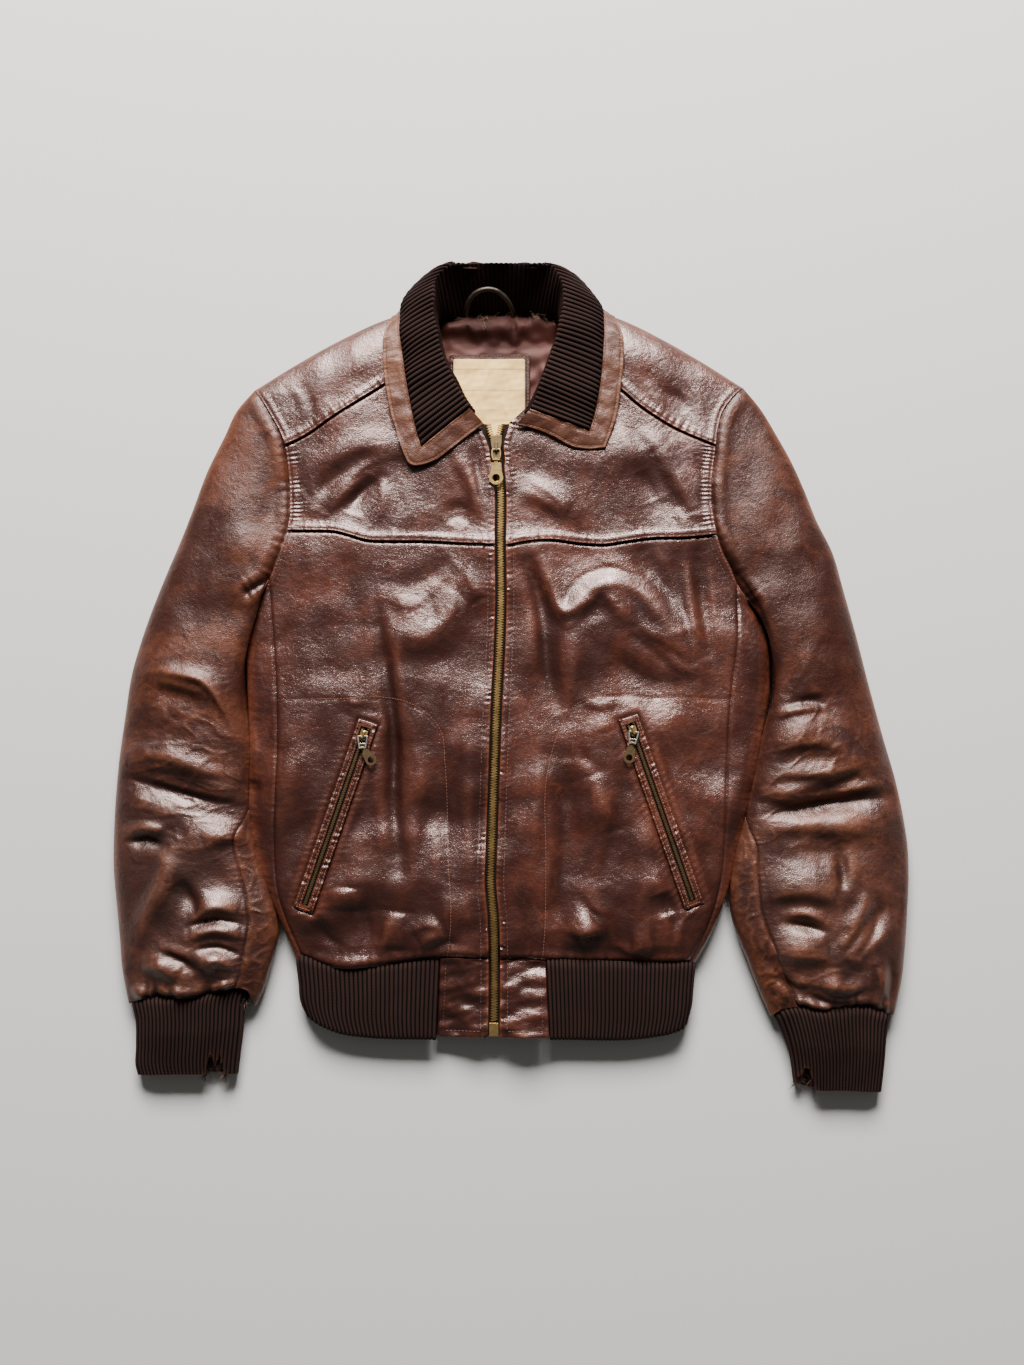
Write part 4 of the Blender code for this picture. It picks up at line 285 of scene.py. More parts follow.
# %% Folds and creases
# right yoke, left yoke, right front and left front, in this order
CREASES = fold_lines("""
    5.5 1.3: -180 146, -158 170, -128 192, -98 200; 5 -1.4: -168 139, -141 163, -118 178; 6 -1.1: -158 136,
    -146 152, -136 171; 5 1.1: -122 178, -119 152, -128 131; 5.5 1.2: -186 180, -182 158, -186 138; 7 -1:
    -112 176, -104 158, -106 137; 4.5 -1.2: -33 206, -30 180, -24 152; 4.5 1: -44 196, -36 172, -34 148; 4.5
    -0.9: -62 133, -48 141, -34 131; 5.5 -1.5: -190 262, -186 240, -190 222; 14 -1.4: -150 300, -120 312,
    -90 318; 5 0.9: -208 270, -196 250, -188 232; 5.5 1.3: 18 172, 38 160, 56 140; 5 -0.9: 16 154, 32 146,
    46 134; 7.5 1.3: 128 216, 150 190, 166 150; 6.5 -1.2: 112 222, 134 190, 146 160; 7 1.1: 98 226, 112 200,
    124 176; 4.5 -1.1: 176 196, 178 170, 180 140; 6.5 -1.6: 140 262, 156 254, 166 240; 6 1.3: 124 268, 136
    250, 142 238; 4.5 1.1: 168 268, 176 252, 178 236; 4 0.9: 152 148, 158 136, 160 126; 6.5 1.3: -126 60,
    -112 66, -103 58, -88 58, -70 74, -52 92; 5 -1.7: -124 60, -120 34, -113 4, -108 -40, -106 -100; 6 1.6:
    -114 58, -108 30, -103 0, -99 -30; 6 1.2: -98 28, -80 26, -62 40, -50 58; 4.5 -1.3: -75 66, -72 48, -78
    36; 4 -1.2: -50 78, -47 60, -50 44; 4 1.3: -40 96, -36 74, -30 66; 2.6 -1.2: -36 58, -26 64, -21 62; 10
    -1.3: -160 106, -150 74, -146 44; 10 1.2: -176 104, -182 66, -176 34; 5 1.6: -150 -28, -141 -34, -128
    -36; 4 -1.2: -152 -40, -143 -46, -134 -46; 4 1: -124 -40, -118 -50, -114 -60; 8 1.3: -86 -62, -82 -110,
    -86 -160, -92 -200; 7 -1.4: -62 -92, -58 -150, -58 -200; 8 1.4: -40 -60, -38 -120, -42 -190; 5 -1: -30
    -100, -28 -160, -32 -215; 7 1.5: -182 -200, -170 -222, -150 -236; 5 -1.3: -176 -228, -162 -244, -148
    -252; 5 -1.3: -132 -214, -128 -238, -132 -256; 4.5 1.4: -110 -226, -112 -246, -118 -260; 4.5 1.3: -92
    -240, -78 -232, -62 -234; 4 -1.1: -72 -252, -58 -246, -44 -248; 4 -0.9: -206 40, -212 26, -222 18; 12
    -0.8: -204 -20, -190 -28, -170 -30; 5 -1.6: 14 108, 24 66, 30 20, 36 -30; 6 1.2: 24 84, 34 68, 46 44, 52
    38, 62 48, 74 60, 86 58, 96 48; 7 1.1: 56 52, 70 70, 88 74, 104 64, 112 44; 5 -1.3: 50 64, 66 84, 88 92,
    112 84, 132 62; 5 -1.4: 96 50, 104 36, 120 22, 146 2; 5 1.5: 108 50, 122 34, 142 22, 164 6; 5 1.8: 140
    12, 152 0, 162 -4; 4 -1.8: 150 104, 154 72, 160 40, 164 14; 4 1.5: 160 100, 166 60, 172 24; 4 -1.1: 176
    96, 180 60, 184 20; 5.5 -1.2: 114 106, 124 86, 134 70; 8 1.2: 56 30, 54 0, 52 -26; 5 1.3: 60 -26, 78
    -36, 96 -34; 8 -1.2: 70 26, 98 4, 128 -14; 6 1: 72 -60, 86 -54, 98 -50; 5 -1: 60 -70, 70 -84, 80 -92; 8
    1.1: 116 -80, 112 -110, 104 -150; 7 -1.2: 96 -120, 88 -160, 80 -200; 6 1.2: 26 -60, 24 -120, 18 -180; 6
    -1.1: 6 -40, 4 -100, 2 -150; 5 -1.3: 60 -206, 74 -222, 92 -226; 5 1.5: 44 -232, 60 -240, 80 -240; 4 1.3:
    92 -248, 106 -256, 120 -258; 5 1.3: 128 -190, 134 -214, 140 -238; 5 -1.2: 150 -200, 148 -222, 144 -242;
    4 1.1: 156 -214, 150 -236, 146 -254""")


def closest(line, x, y):
    """Distance from plan points to a line of straight stretches, how far along it they are and how far
    up the plan from it, and the line's length."""
    best, place, above, run = np.full(np.shape(x), 1e9), np.zeros(np.shape(x)), np.zeros(np.shape(x)), 0.0
    for (ax, ay), (bx, by) in zip(line[:-1], line[1:]):
        dx, dy = bx - ax, by - ay
        size = math.hypot(dx, dy)
        along = np.clip(((x - ax) * dx + (y - ay) * dy) / size ** 2, 0, 1)
        off_y = y - ay - along * dy
        away = np.hypot(x - ax - along * dx, off_y)
        closer = away < best
        best, place = np.where(closer, away, best), np.where(closer, run + along * size, place)
        above = np.where(closer, off_y, above)
        run += size
    return best, place, above, run


def nearest(line, x, y):
    """Distance from plan points to a line, and how far along the line they are."""
    return closest(line, x, y)[:2]


def folds(x, y, lines, lean=0.0):
    """Sum of soft troughs and ridges: height * exp(-(distance / half width)^2). With a lean, the half
    width is greater on one side, so that the slope which faces the window is the longer one, and the
    fold thins out towards both ends."""
    total = np.zeros(np.shape(x))
    for line, half, rise in lines:
        line = np.array(line)
        low, high = np.min(line, axis=0) - 3.6 * half, np.max(line, axis=0) + 3.6 * half
        near = (x > low[0]) & (x < high[0]) & (y > low[1]) & (y < high[1])
        if not near.any():
            continue
        if lean:
            line = Curve(line)(np.linspace(0, 1, 4 * len(line)))
        away, place, above, run = closest(line, x[near], y[near])
        width = half * (1 + lean * math.copysign(1, rise) * above / (away + 1e-6))
        ends = np.sin(math.pi * np.clip(place / run, .03, .97)) ** (1.4 * lean)
        total[near] += rise * ends * hump(away, width)
    return total


def waves(x, y, length, seed, count=18):
    """An even, aimless ripple: the mean of many sine waves of about one length in all directions."""
    rng = np.random.default_rng(seed)
    total = 0
    for angle, stretch, phase in zip(rng.uniform(0, math.pi, count), rng.uniform(.65, 1.5, count),
                                     rng.uniform(0, 2 * math.pi, count)):
        ahead = x * math.cos(angle) + y * math.sin(angle)
        total = total + np.sin(ahead * 2 * math.pi * stretch / length + phase)
    return total * math.sqrt(2 / count)


def crinkle(x, y, length, seed):
    """Thin raised lines with flats between, as old leather has: 1 - |ripple|, sharpened."""
    return np.clip(1 - np.abs(waves(x, y, length, seed)) * 1.6, 0, 1) ** 2


def slack(x, y):
    """What every laid-out leather panel has between its folds: long swells and faint short dimples."""
    return (1.25 * waves(x, y, 120, 3) + 0.42 * waves(x, y, 52, 4) + 0.05 * waves(x, y, 21, 5)
            + 0.012 * waves(x, y, 7, 6))


def calm(x, y):
    """Near 0 beside the pockets' zips and the main pull, where metal lies on the leather, 1 beyond."""
    share = eased((nearest([(-14, 210), (-13, 172)], x, y)[0] - 8) / 12)
    for pocket in POCKETS.values():
        away = nearest([pocket["top"], pocket["bottom"]], x, y)[0]
        share = share * (0.12 + 0.88 * eased((away - 9) / 14))
    return share


def relief(x, y):
    """All that the body's leather adds to its plain form; it is fullest low on the fronts."""
    share = calm(x, y)
    low = 1 + .75 * eased((-20 - y) / 120)
    creased = folds(x, y, FOLDS, .35) * 1.6 + folds(x, y, CREASES, .4) * .85 + slack(x, y)
    return folds(x, y, FOLDS) * (1 - share) + creased * share * low

# %% [markdown]
# ## The body's form
# Laid flat, the jacket's body is two layers that meet at the side folds and the shoulder folds. The
# front layer rises from the fold like a quarter of an ellipse and stays near 25 mm. The back layer comes
# down to the floor in the same way.

# %% The body's form
ZIP_HALF, FOOT_Y = 5.0, -331.0      # half the gap between the fronts; the foot of the zip and the tabs
BODY_EDGE, BODY_TOP, CROWN, HEM_TOP, TAB_FOOT_TOP = 13.0, 25.0, 4.0, 18.0, 16.0
SIDE_ROUND, SHOULDER_ROUND, UNDER_ROUND, BODY_HALF = 38.0, 42.0, 14.0, 242.0


def zip_edge(y, sign):
    """Where a front ends beside the zip; the two fronts part above the slider."""
    return zip_x(y) + sign * (ZIP_HALF + 1.5 * eased((y - 184) / 12) + 6.5 * eased((y - 203) / 26))


def side_depth(x, y, side):
    """How far a plan point lies inside the body's side fold."""
    foot_x, foot_y = side["silhouette"][0]
    below = side["sign"] * (side["silhouette_x"](y) - x)
    above = np.hypot(np.maximum(side["sign"] * (foot_x - x), 0), y - foot_y)
    return np.where(y > foot_y, above, below)


def inside_folds(x, y, side_round, shoulder_round):
    """0 at the outline and 1 well inside it: the product of the rounding at each fold."""
    lift = rounded(0.88 * (shoulder_y(x) - y) / shoulder_round)
    for side in SIDES.values():
        lift = lift * rounded(side_depth(x, y, side) / side_round)
    return lift


def body_edge(y):
    return np.interp(y, [-266, -215], [9.0, BODY_EDGE])


def plain_top(y):
    """Height of the front layer well inside its edges: it sinks towards the waistband and the tabs."""
    return np.interp(y, [FOOT_Y, -266, -250, -225], [TAB_FOOT_TOP, HEM_TOP, 22.5, BODY_TOP])


def body_top(x, y, extra=0.0):
    """Height of the front layer: the edge's height plus what the inside rises above it."""
    full = plain_top(y) + CROWN * (1 - (x / BODY_HALF) ** 2) + relief(x, y) + extra
    edge = body_edge(y)
    return edge + (full - edge) * inside_folds(x, y, SIDE_ROUND, SHOULDER_ROUND)


def body_under(x, y):
    """Height of the back layer, which is on the floor inside the folds."""
    return body_edge(y) * (1 - inside_folds(x, y, UNDER_ROUND, UNDER_ROUND))

# %% [markdown]
# ## Finishes
# Old leather is not one colour. Dye has worn off where the cloth stands proud and along turned edges,
# where the tan hide shows, and the hollows are mixed towards a darker colour. Two node groups are shared
# by every leather here: one mixes its colours, and one makes its pebbled grain and its fine dry creases.
# They put out colours, masks and heights only. The shader itself stays in each material.

# %% Node helpers
class Graph:
    """Short calls to add and join the shader nodes of a material or a group."""

    def __init__(self, tree):
        self.tree = tree

    def node(self, kind, inputs=None, **settings):
        made = self.tree.nodes.new("ShaderNode" + kind)
        for name, value in settings.items():
            setattr(made, name, value)
        for name, value in (inputs or {}).items():
            self.put(made, name, value)
        return made

    def put(self, made, name, value):
        """Join an output to an input, or set the input's own number or colour."""
        socket = made.inputs[name]
        if isinstance(value, bpy.types.NodeSocket):
            self.tree.links.new(value, socket)
        else:
            socket.default_value = (*value, 1) if socket.type == "RGBA" and len(value) == 3 else value

    def math(self, operation, a, b=0.0, clamp=False):
        return self.node("Math", {0: a, 1: b}, operation=operation, use_clamp=clamp).outputs[0]

    def plus(self, a, b):
        return self.math("ADD", a, b)

    def times(self, a, b, clamp=False):
        return self.math("MULTIPLY", a, b, clamp)

    def vector(self, operation, a, inputs):
        return self.node("VectorMath", {0: a, **inputs}, operation=operation).outputs[0]

    def mix(self, share, a, b):
        return self.node("Mix", {0: share, 6: a, 7: b}, data_type="RGBA").outputs[2]

    def noise(self, vector, scale, detail=2.0, roughness=0.5, distortion=0.0):
        return self.node("TexNoise", {"Vector": vector, "Scale": scale, "Detail": detail,
                                      "Roughness": roughness, "Distortion": distortion}).outputs["Fac"]

    def bands(self, vector, scale, distortion, way, **more):
        return self.node("TexWave", {"Vector": vector, "Scale": scale, "Distortion": distortion, **more},
                         wave_type="BANDS", bands_direction=way).outputs["Fac"]

    def cracks(self, vector, scale):
        """Distance to the edge of a cell in a pattern of random cells."""
        return self.node("TexVoronoi", {"Vector": vector, "Scale": scale, "Randomness": 1.0},
                         feature="DISTANCE_TO_EDGE").outputs["Distance"]

    def step(self, value, low, high, out_low=0.0, out_high=1.0):
        """Smooth step of a value between low and high."""
        inputs = {"Value": value, "From Min": low, "From Max": high, "To Min": out_low, "To Max": out_high}
        return self.node("MapRange", inputs, interpolation_type="SMOOTHSTEP").outputs["Result"]

    def stored(self, name):
        return self.node("Attribute", attribute_name=name).outputs["Fac"]

    def here(self):
        return self.node("TexCoord").outputs["Object"]

    def bump(self, height, distance, strength, **more):
        return self.node("Bump", {"Height": height, "Distance": distance, "Strength": strength,
                                  **more}).outputs["Normal"]

    def paint(self, colour, normal=None):
        """Join a colour, and a bumped normal, to the material's shader."""
        self.put(self.shader, "Base Color", colour)
        if normal is not None:
            self.put(self.shader, "Normal", normal)


def new_group(name, inputs, outputs):
    """An empty shader node group with named sockets: (name, type, starting value)."""
    tree = bpy.data.node_groups.new(name, "ShaderNodeTree")
    for label, kind, value in inputs:
        socket = tree.interface.new_socket(label, in_out="INPUT", socket_type="NodeSocket" + kind)
        if value is not None:
            socket.default_value = value
    for label, kind in outputs:
        tree.interface.new_socket(label, in_out="OUTPUT", socket_type="NodeSocket" + kind)
    g = Graph(tree)
    g.come_in, g.go_out = tree.nodes.new("NodeGroupInput"), tree.nodes.new("NodeGroupOutput")
    return g


FINISH = {}


def new_material(name, colour, roughness, metallic=0.0, **more):
    """A material with plain numbers on its shader, kept under its name; returns its graph."""
    material = bpy.data.materials.new(name)
    material.use_nodes = True
    material.diffuse_color = (*colour, 1)
    g = Graph(material.node_tree)
    g.shader = material.node_tree.nodes["Principled BSDF"]
    FINISH[name] = material
    numbers = {"Base Color": colour, "Roughness": roughness, "Metallic": metallic, **more}
    for label, value in numbers.items():
        g.put(g.shader, label, value)
    return g

# %% Shared groups
g = new_group("hide_colour", [("Vector", "Vector", None), ("Proud", "Float", 0.5), ("Worn", "Float", 0.0),
                              ("Dye", "Color", (.1, .03, .02, 1)), ("Deep", "Color", (.03, .01, .008, 1)),
                              ("Hide", "Color", (.3, .12, .05, 1)), ("Fading", "Float", 0.4)],
              [("Color", "Color"), ("Bare", "Float")])
vector, proud, worn, dye, dark, hide, fading = g.come_in.outputs[:7]
broad = g.noise(vector, 9.0, 3, .55)
mid = g.noise(vector, 34.0, 4, .6, .6)
fine = g.noise(vector, 210.0, 3, .6)
deep = g.times(g.step(g.plus(g.times(mid, .6), g.times(broad, .4)), .40, .68, 1, 0), .66)
colour = g.mix(deep, dye, dark)
hollow = g.step(proud, .46, .18)
colour = g.mix(g.times(hollow, .55), colour, dark)
ridge = g.step(proud, .52, .86)
patchy = g.step(g.plus(g.times(broad, .55), g.times(mid, .45)), .47, .66)
rub = g.times(g.plus(g.times(ridge, .55), g.times(patchy, .55)), fading, clamp=True)
broken = g.step(g.plus(fine, g.times(mid, .4)), .52, .82)
frayed = g.step(g.plus(mid, g.times(fine, .4)), .48, .78)
edge = g.times(worn, g.times(frayed, .45), clamp=True)
bare = g.math("MAXIMUM", g.times(rub, g.plus(.55, g.times(broken, .6))), edge, clamp=True)
colour = g.mix(bare, colour, hide)
scratch = g.bands(vector, 21.0, 9.0, "DIAGONAL", **{"Detail": 3.0, "Detail Scale": 1.4})
scratch = g.times(g.step(scratch, .985, 1.0), g.step(broad, .50, .62))
g.put(g.go_out, "Color", g.mix(g.times(scratch, .16), colour, hide))
g.put(g.go_out, "Bare", bare)
HIDE_COLOUR = g.tree

g = new_group("hide_grain", [("Vector", "Vector", None), ("Size", "Float", 1.0)],
              [("Height", "Float"), ("Crease", "Float")])
vector, size = g.come_in.outputs[:2]
bend = g.node("TexNoise", {"Vector": vector, "Scale": 160.0, "Detail": 2.0}).outputs["Color"]
shift = g.vector("SCALE", g.vector("SUBTRACT", bend, {1: (.5, .5, .5)}), {"Scale": .0022})
moved = g.vector("ADD", vector, {1: shift})
scaled = g.vector("SCALE", moved, {"Scale": size})
pebble = g.step(g.cracks(scaled, 560.0), 0.0, .42)
small = g.noise(scaled, 1500.0, 1.0, .5)
soft = g.noise(scaled, 250.0, 2.0, .5)
dimple = g.noise(scaled, 85.0, 2.0, .5, .6)
g.put(g.go_out, "Height", g.plus(g.times(pebble, .75), g.plus(
    g.times(small, .2), g.plus(g.times(soft, 2.2), g.times(dimple, 4.0)))))
g.put(g.go_out, "Crease", g.step(g.cracks(moved, 95.0), 0.0, .07))
HIDE_GRAIN = g.tree


def leather(name, dye, deep, hide, fading, roughness, shine, uneven=False):
    """Leather: colours by wear, roughness by wear, and grain and creases as bump. An uneven gloss comes
    from the piece: the sleeves shine more towards the cuffs, and the border has none underneath."""
    g = new_material(name, dye, roughness, **{"Specular IOR Level": shine, "Specular Tint": (1, .74, .67)})
    vector = g.here()
    colours = g.node("Group", {"Vector": vector, "Proud": g.stored("proud"), "Worn": g.stored("worn"),
                               "Dye": dye, "Deep": deep, "Hide": hide, "Fading": fading},
                     node_tree=HIDE_COLOUR).outputs
    if uneven:
        g.put(g.shader, "Specular IOR Level", g.times(g.stored("gloss"), shine))
    rough = g.plus(g.times(g.noise(vector, 60.0, 3), .30), roughness - .15)
    g.put(g.shader, "Roughness", g.plus(rough, g.times(colours["Bare"], .16)))
    grains = g.node("Group", {"Vector": vector, "Size": 1.15}, node_tree=HIDE_GRAIN).outputs
    creased = g.bump(grains["Crease"], .00022, .12)
    g.paint(colours["Color"], g.bump(grains["Height"], .0002, .62, Normal=creased))

# %% [markdown]
# ## Knit, satin and metal
# A knitted column is a chain of V-shaped loops. The distance along the column and the place across it
# are stored on the points, so the loops follow every rib: the V is a sine along the column that is
# shifted by how far a point is from the column's middle.

# %% Other finishes
def knit_material():
    g = new_material("rib_knit", (.008, .0035, .0028), .95, **{"Specular IOR Level": .12})
    vector = g.here()
    aside = g.math("ABSOLUTE", g.math("SUBTRACT", g.math("FRACT", g.stored("rib")), .5))
    loops = g.math("SINE", g.times(g.math("SUBTRACT", g.stored("along"), g.times(aside, 2.2)), 4.2))
    patches = g.step(g.noise(vector, 30.0, 3, .6), .45, .75)
    lint = g.step(g.noise(vector, 420.0, 2, .8), .74, .80)
    colour = g.mix(g.step(loops, -1, 1), (.0080, .0036, .0029), (.033, .0148, .0115))
    # Painted shade: the valleys between the ribs (hollow) are mixed to near black. Over the loops also go
    # random patches, frayed yarn and lint.
    for share, over in ((g.times(patches, .5), (.030, .0140, .0110)),
                        (g.step(g.stored("hollow"), .16, .62), (.0012, .0006, .0006)),
                        (g.times(g.stored("frayed"), .7), (.060, .022, .010)),
                        (g.times(lint, .35), (.07, .045, .038))):
        colour = g.mix(share, colour, over)
    height = g.plus(g.times(loops, .5), g.times(g.noise(vector, 1400.0, 3, .7), .8))
    g.paint(colour, g.bump(height, .0003, .7))


def satin_material():
    g = new_material("lining_satin", (.030, .009, .008), .46, **{"Specular IOR Level": .35,
                                                                "Specular Tint": (1, .55, .48)})
    vector = g.here()
    tone = g.step(g.noise(vector, 18.0, 3, .6), .35, .7)
    weave = g.plus(g.times(g.bands(vector, 480.0, .4, "X"), .6), g.bands(vector, 620.0, .3, "Y"))
    g.paint(g.mix(tone, (.020, .0046, .0034), (.050, .0120, .0088)), g.bump(weave, .00006, .5))


def label_material():
    g = new_material("label_leather", (.84, .55, .20), .6)
    vector = g.here()
    stain = g.step(g.noise(vector, 26.0, 4, .65, .8), .36, .72)
    speck = g.step(g.noise(vector, 240.0, 3, .7), .60, .75)
    colour = g.mix(stain, (.84, .52, .155), (.66, .38, .105))
    for mark, share, over in ((speck, .35, (.45, .27, .12)), (g.stored("pressed"), .9, (.26, .14, .06)),
                              (g.stored("worn"), .6, (.40, .25, .12))):
        colour = g.mix(g.times(mark, share), colour, over)
    g.paint(colour, g.bump(g.noise(vector, 700.0, 3, .6), .00012, .5))


def tape_material():
    g = new_material("zip_tape", (.016, .010, .008), .9, **{"Specular IOR Level": .1})
    cross = g.bands(g.here(), 340.0, .6, "Y")
    colour = g.mix(g.step(cross, .2, .9), (.006, .0032, .0024), (.022, .012, .009))
    g.paint(colour, g.bump(cross, .0002, .6))


def metal_material(name, bright, dull, tarnish, roughness):
    """Plated metal: bright where rubbed, dull and rough where tarnished."""
    g = new_material(name, bright, roughness, 1.0)
    vector = g.here()
    spots = g.step(g.noise(vector, 380.0, 4, .65), .42, .66)
    broad = g.step(g.noise(vector, 90.0, 3, .6), .35, .65)
    share = g.times(g.plus(g.times(spots, .5), g.times(broad, .5)), tarnish)
    g.put(g.shader, "Roughness", g.plus(roughness, g.times(share, .3)))
    g.paint(g.mix(share, bright, dull), g.bump(g.noise(vector, 900.0, 2, .6), .00005, .4))


def thread_material(name, colour):
    g = new_material(name, colour, .7, **{"Sheen Weight": .2})
    twist = g.step(g.noise(g.here(), 1800.0, 2, .6), .3, .7)
    g.paint(g.mix(twist, tuple(c * .6 for c in colour), tuple(c * 1.35 for c in colour)))


leather("jacket_leather", (.038, .0084, .0056), (.014, .0030, .0020), (.19, .050, .020), .22, .33, 1.0)
leather("sleeve_leather", (.036, .0086, .0052), (.013, .0032, .0020), (.18, .054, .020), .38, .40, .78,
        uneven=True)
leather("collar_leather", (.075, .025, .012), (.032, .010, .006), (.22, .085, .038), .30, .44, .45,
        uneven=True)
leather("patch_leather", (.020, .0062, .0042), (.010, .0036, .0026), (.08, .030, .016), .15, .48, .3)
leather("loop_leather", (.020, .015, .012), (.010, .008, .006), (.06, .04, .03), .15, .42, .5)
knit_material()
satin_material()
label_material()
tape_material()
metal_material("brass", (.50, .33, .13), (.16, .105, .045), .75, .30)
metal_material("dark_brass", (.22, .15, .075), (.055, .040, .024), .9, .34)
metal_material("tooth_brass", (.62, .40, .15), (.20, .125, .050), .6, .30)
metal_material("nickel", (.74, .70, .62), (.30, .26, .20), .5, .26)
thread_material("brown_thread", (.085, .030, .020))
thread_material("tan_thread", (.21, .066, .025))
thread_material("pale_thread", (.40, .26, .15))
thread_material("knit_thread", (.022, .010, .008))
SLOT = {name: name for name in FINISH}
SLOT.update(dark_brass="brass", tooth_brass="brass", brown_thread="zip_tape", tan_thread="jacket_leather",
            pale_thread="rib_knit", knit_thread="rib_knit", loop_leather="jacket_leather",
            patch_leather="jacket_leather")
print(len(FINISH), "finishes")

# %% [markdown]
# ## From a grid of points to a piece of cloth
# Every piece is a grid of outer points. `cloth` gives it a wall: a second, coarser grid one thickness
# further in, and a rim that joins the two. The wall matters at the neck, the hem and the cuffs, where the
# cloth's edge and its inside can be seen, and it makes the mesh a closed body.

# %% Make a mesh
DONE = {}
SHEETS = {}


def make(name, points, faces, finish, stands_for=(), sharp=50, values=None):
    """An object from points in millimetres; values are numbers stored on the points for the material."""
    mesh = bpy.data.meshes.new(name)
    mesh.from_pydata((np.asarray(points, float) * 0.001).tolist(), [], faces)
    mesh.shade_smooth()
    mesh.set_sharp_from_angle(angle=math.radians(sharp))
    for label, numbers in (values or {}).items():
        mesh.attributes.new(label, "FLOAT", "POINT").data.foreach_set("value", np.float32(numbers))
    mesh.materials.append(FINISH[finish])
    thing = bpy.data.objects.new(name, mesh)
    bpy.context.scene.collection.objects.link(thing)
    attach(thing, "jacket")
    if stands_for:
        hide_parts(*stands_for)
    DONE[name] = len(faces)
    return thing


def cut_of(grid):
    """What a grid was cut to, in metres: its longest row, its longest column and its area."""
    wide = np.linalg.norm(np.diff(grid, axis=1), axis=-1).sum(axis=1).max()
    long = np.linalg.norm(np.diff(grid, axis=0), axis=-1).sum(axis=0).max()
    cross = np.cross(grid[1:, 1:] - grid[:-1, :-1], grid[1:, :-1] - grid[:-1, 1:])
    return wide / 1000, long / 1000, float(np.linalg.norm(cross, axis=-1).sum() / 2e6)


def grid_normals(grid):
    """Unit normals from the differences along a grid's rows and columns."""
    return unit(np.cross(np.gradient(grid, axis=1), np.gradient(grid, axis=0)))


def quads(number, mask=None):
    """Four corners of each cell of a grid of point numbers."""
    cells = np.stack([number[:-1, :-1], number[:-1, 1:], number[1:, 1:], number[1:, :-1]], axis=-1)
    return cells[mask] if mask is not None else cells.reshape(-1, 4)


def fan(outer, inner, stride):
    """Triangles between a fine line of points and the coarse one inside it."""
    cell = np.minimum(np.arange(len(outer) - 1) // stride, len(inner) - 2)
    fine = np.stack([outer[:-1], outer[1:], inner[cell]], axis=-1)
    last = np.minimum((np.arange(len(inner) - 1) + 1) * stride, len(outer) - 1)
    coarse = np.stack([outer[last], inner[1:], inner[:-1]], axis=-1)
    return np.concatenate([fine, coarse])


def cloth(name, grid, thickness, finish, stride=3, up=(0, 0, 1), inner=None, at=(.5, .5), flat_on=None,
          values=None, **more):
    """A wall of cloth with the grid as its outer face.

    Its inner grid has every stride-th row and column, one thickness in along the grid's normals; up is
    the way that the outer face looks at a share of its rows and columns. inner gives that grid ready made,
    and flat_on a grid without ribs to measure the cut on.
    """
    rows, cols = (sorted(set(range(0, count, stride)) | {count - 1}) for count in grid.shape[:2])
    for kept in (rows, cols):
        if kept[-1] - kept[-2] < stride and len(kept) > 2:
            kept.pop(-2)
    coarse = grid[np.ix_(rows, cols)]
    normal = grid_normals(coarse)
    middle = normal[int(len(rows) * at[0]), int(len(cols) * at[1])]
    turned = middle @ np.array(up) < 0
    if turned:
        normal = -normal
    wall = coarse - thickness * normal if inner is None else inner[np.ix_(rows, cols)]
    size = grid.shape[0] * grid.shape[1]
    out = np.arange(size).reshape(grid.shape[:2])
    back = size + np.arange(len(rows) * len(cols)).reshape(len(rows), len(cols))
    faces = quads(out).tolist() + quads(back)[:, ::-1].tolist()
    for line, behind, flip in ((out[0], back[0], True), (out[-1], back[-1], False),
                               (out[:, 0], back[:, 0], False), (out[:, -1], back[:, -1], True)):
        rim = fan(line, behind, stride)
        faces += (rim[:, ::-1] if flip else rim).tolist()
    if turned:
        faces = [face[::-1] for face in faces]
    full = {label: np.concatenate([np.broadcast_to(numbers, out.shape).ravel(), np.zeros(back.size)])
            for label, numbers in (values or {}).items()}
    points = np.concatenate([grid.reshape(-1, 3), wall.reshape(-1, 3)])
    SHEETS[name] = cut_of(flat_on if flat_on is not None else coarse)
    return make(name, points, faces, finish, values=full, **more)


def masked_cloth(name, stack, mask, finish, up=(0, 0, 1), values=None, flat_on=None, **more):
    """Two layers of cloth, joined round the cells that the mask keeps: bites and holes have rims."""
    rows, cols = stack.shape[1:3]
    number = np.arange(2 * rows * cols).reshape(2, rows, cols)
    kept = np.pad(mask, 1)
    faces = [quads(number[0], mask), quads(number[1], mask)[:, ::-1]]
    for (down, right), first, last in (((-1, 0), 0, 1), ((0, 1), 1, 2), ((1, 0), 2, 3), ((0, -1), 3, 0)):
        lone = mask & ~kept[1 + down:rows + down, 1 + right:cols + right]
        out, back = quads(number[0], lone), quads(number[1], lone)
        faces.append(np.stack([out[:, last], out[:, first], back[:, first], back[:, last]], axis=-1))
    faces = np.concatenate(faces)
    SHEETS[name] = cut_of(stack[0] if flat_on is None else flat_on)
    normal = grid_normals(stack[0])[rows // 2, cols // 2]
    if normal @ np.array(up) < 0:
        faces = faces[:, ::-1]
    used, index = np.unique(faces, return_inverse=True)
    values = {label: np.tile(np.broadcast_to(numbers, (rows, cols)).ravel(), 2)[used]
              for label, numbers in (values or {}).items()}
    faces = index.reshape(faces.shape).tolist()
    return make(name, stack.reshape(-1, 3)[used], faces, finish, values=values, **more)

# %% [markdown]
# ## Seams
# A seam is what makes leather look sewn. On the piece that lies on top the edge is turned under, so it
# ends in a raised band about 8 mm wide with a row of stitches near each side, and the leather puckers
# across it. The piece beneath dips under that band. A plain seam is only a valley with fine puckers.

# %% Seam shapes
BAND = 8.2          # width of a turned and stitched band
STITCH_ROWS = (1.7, 7.4)


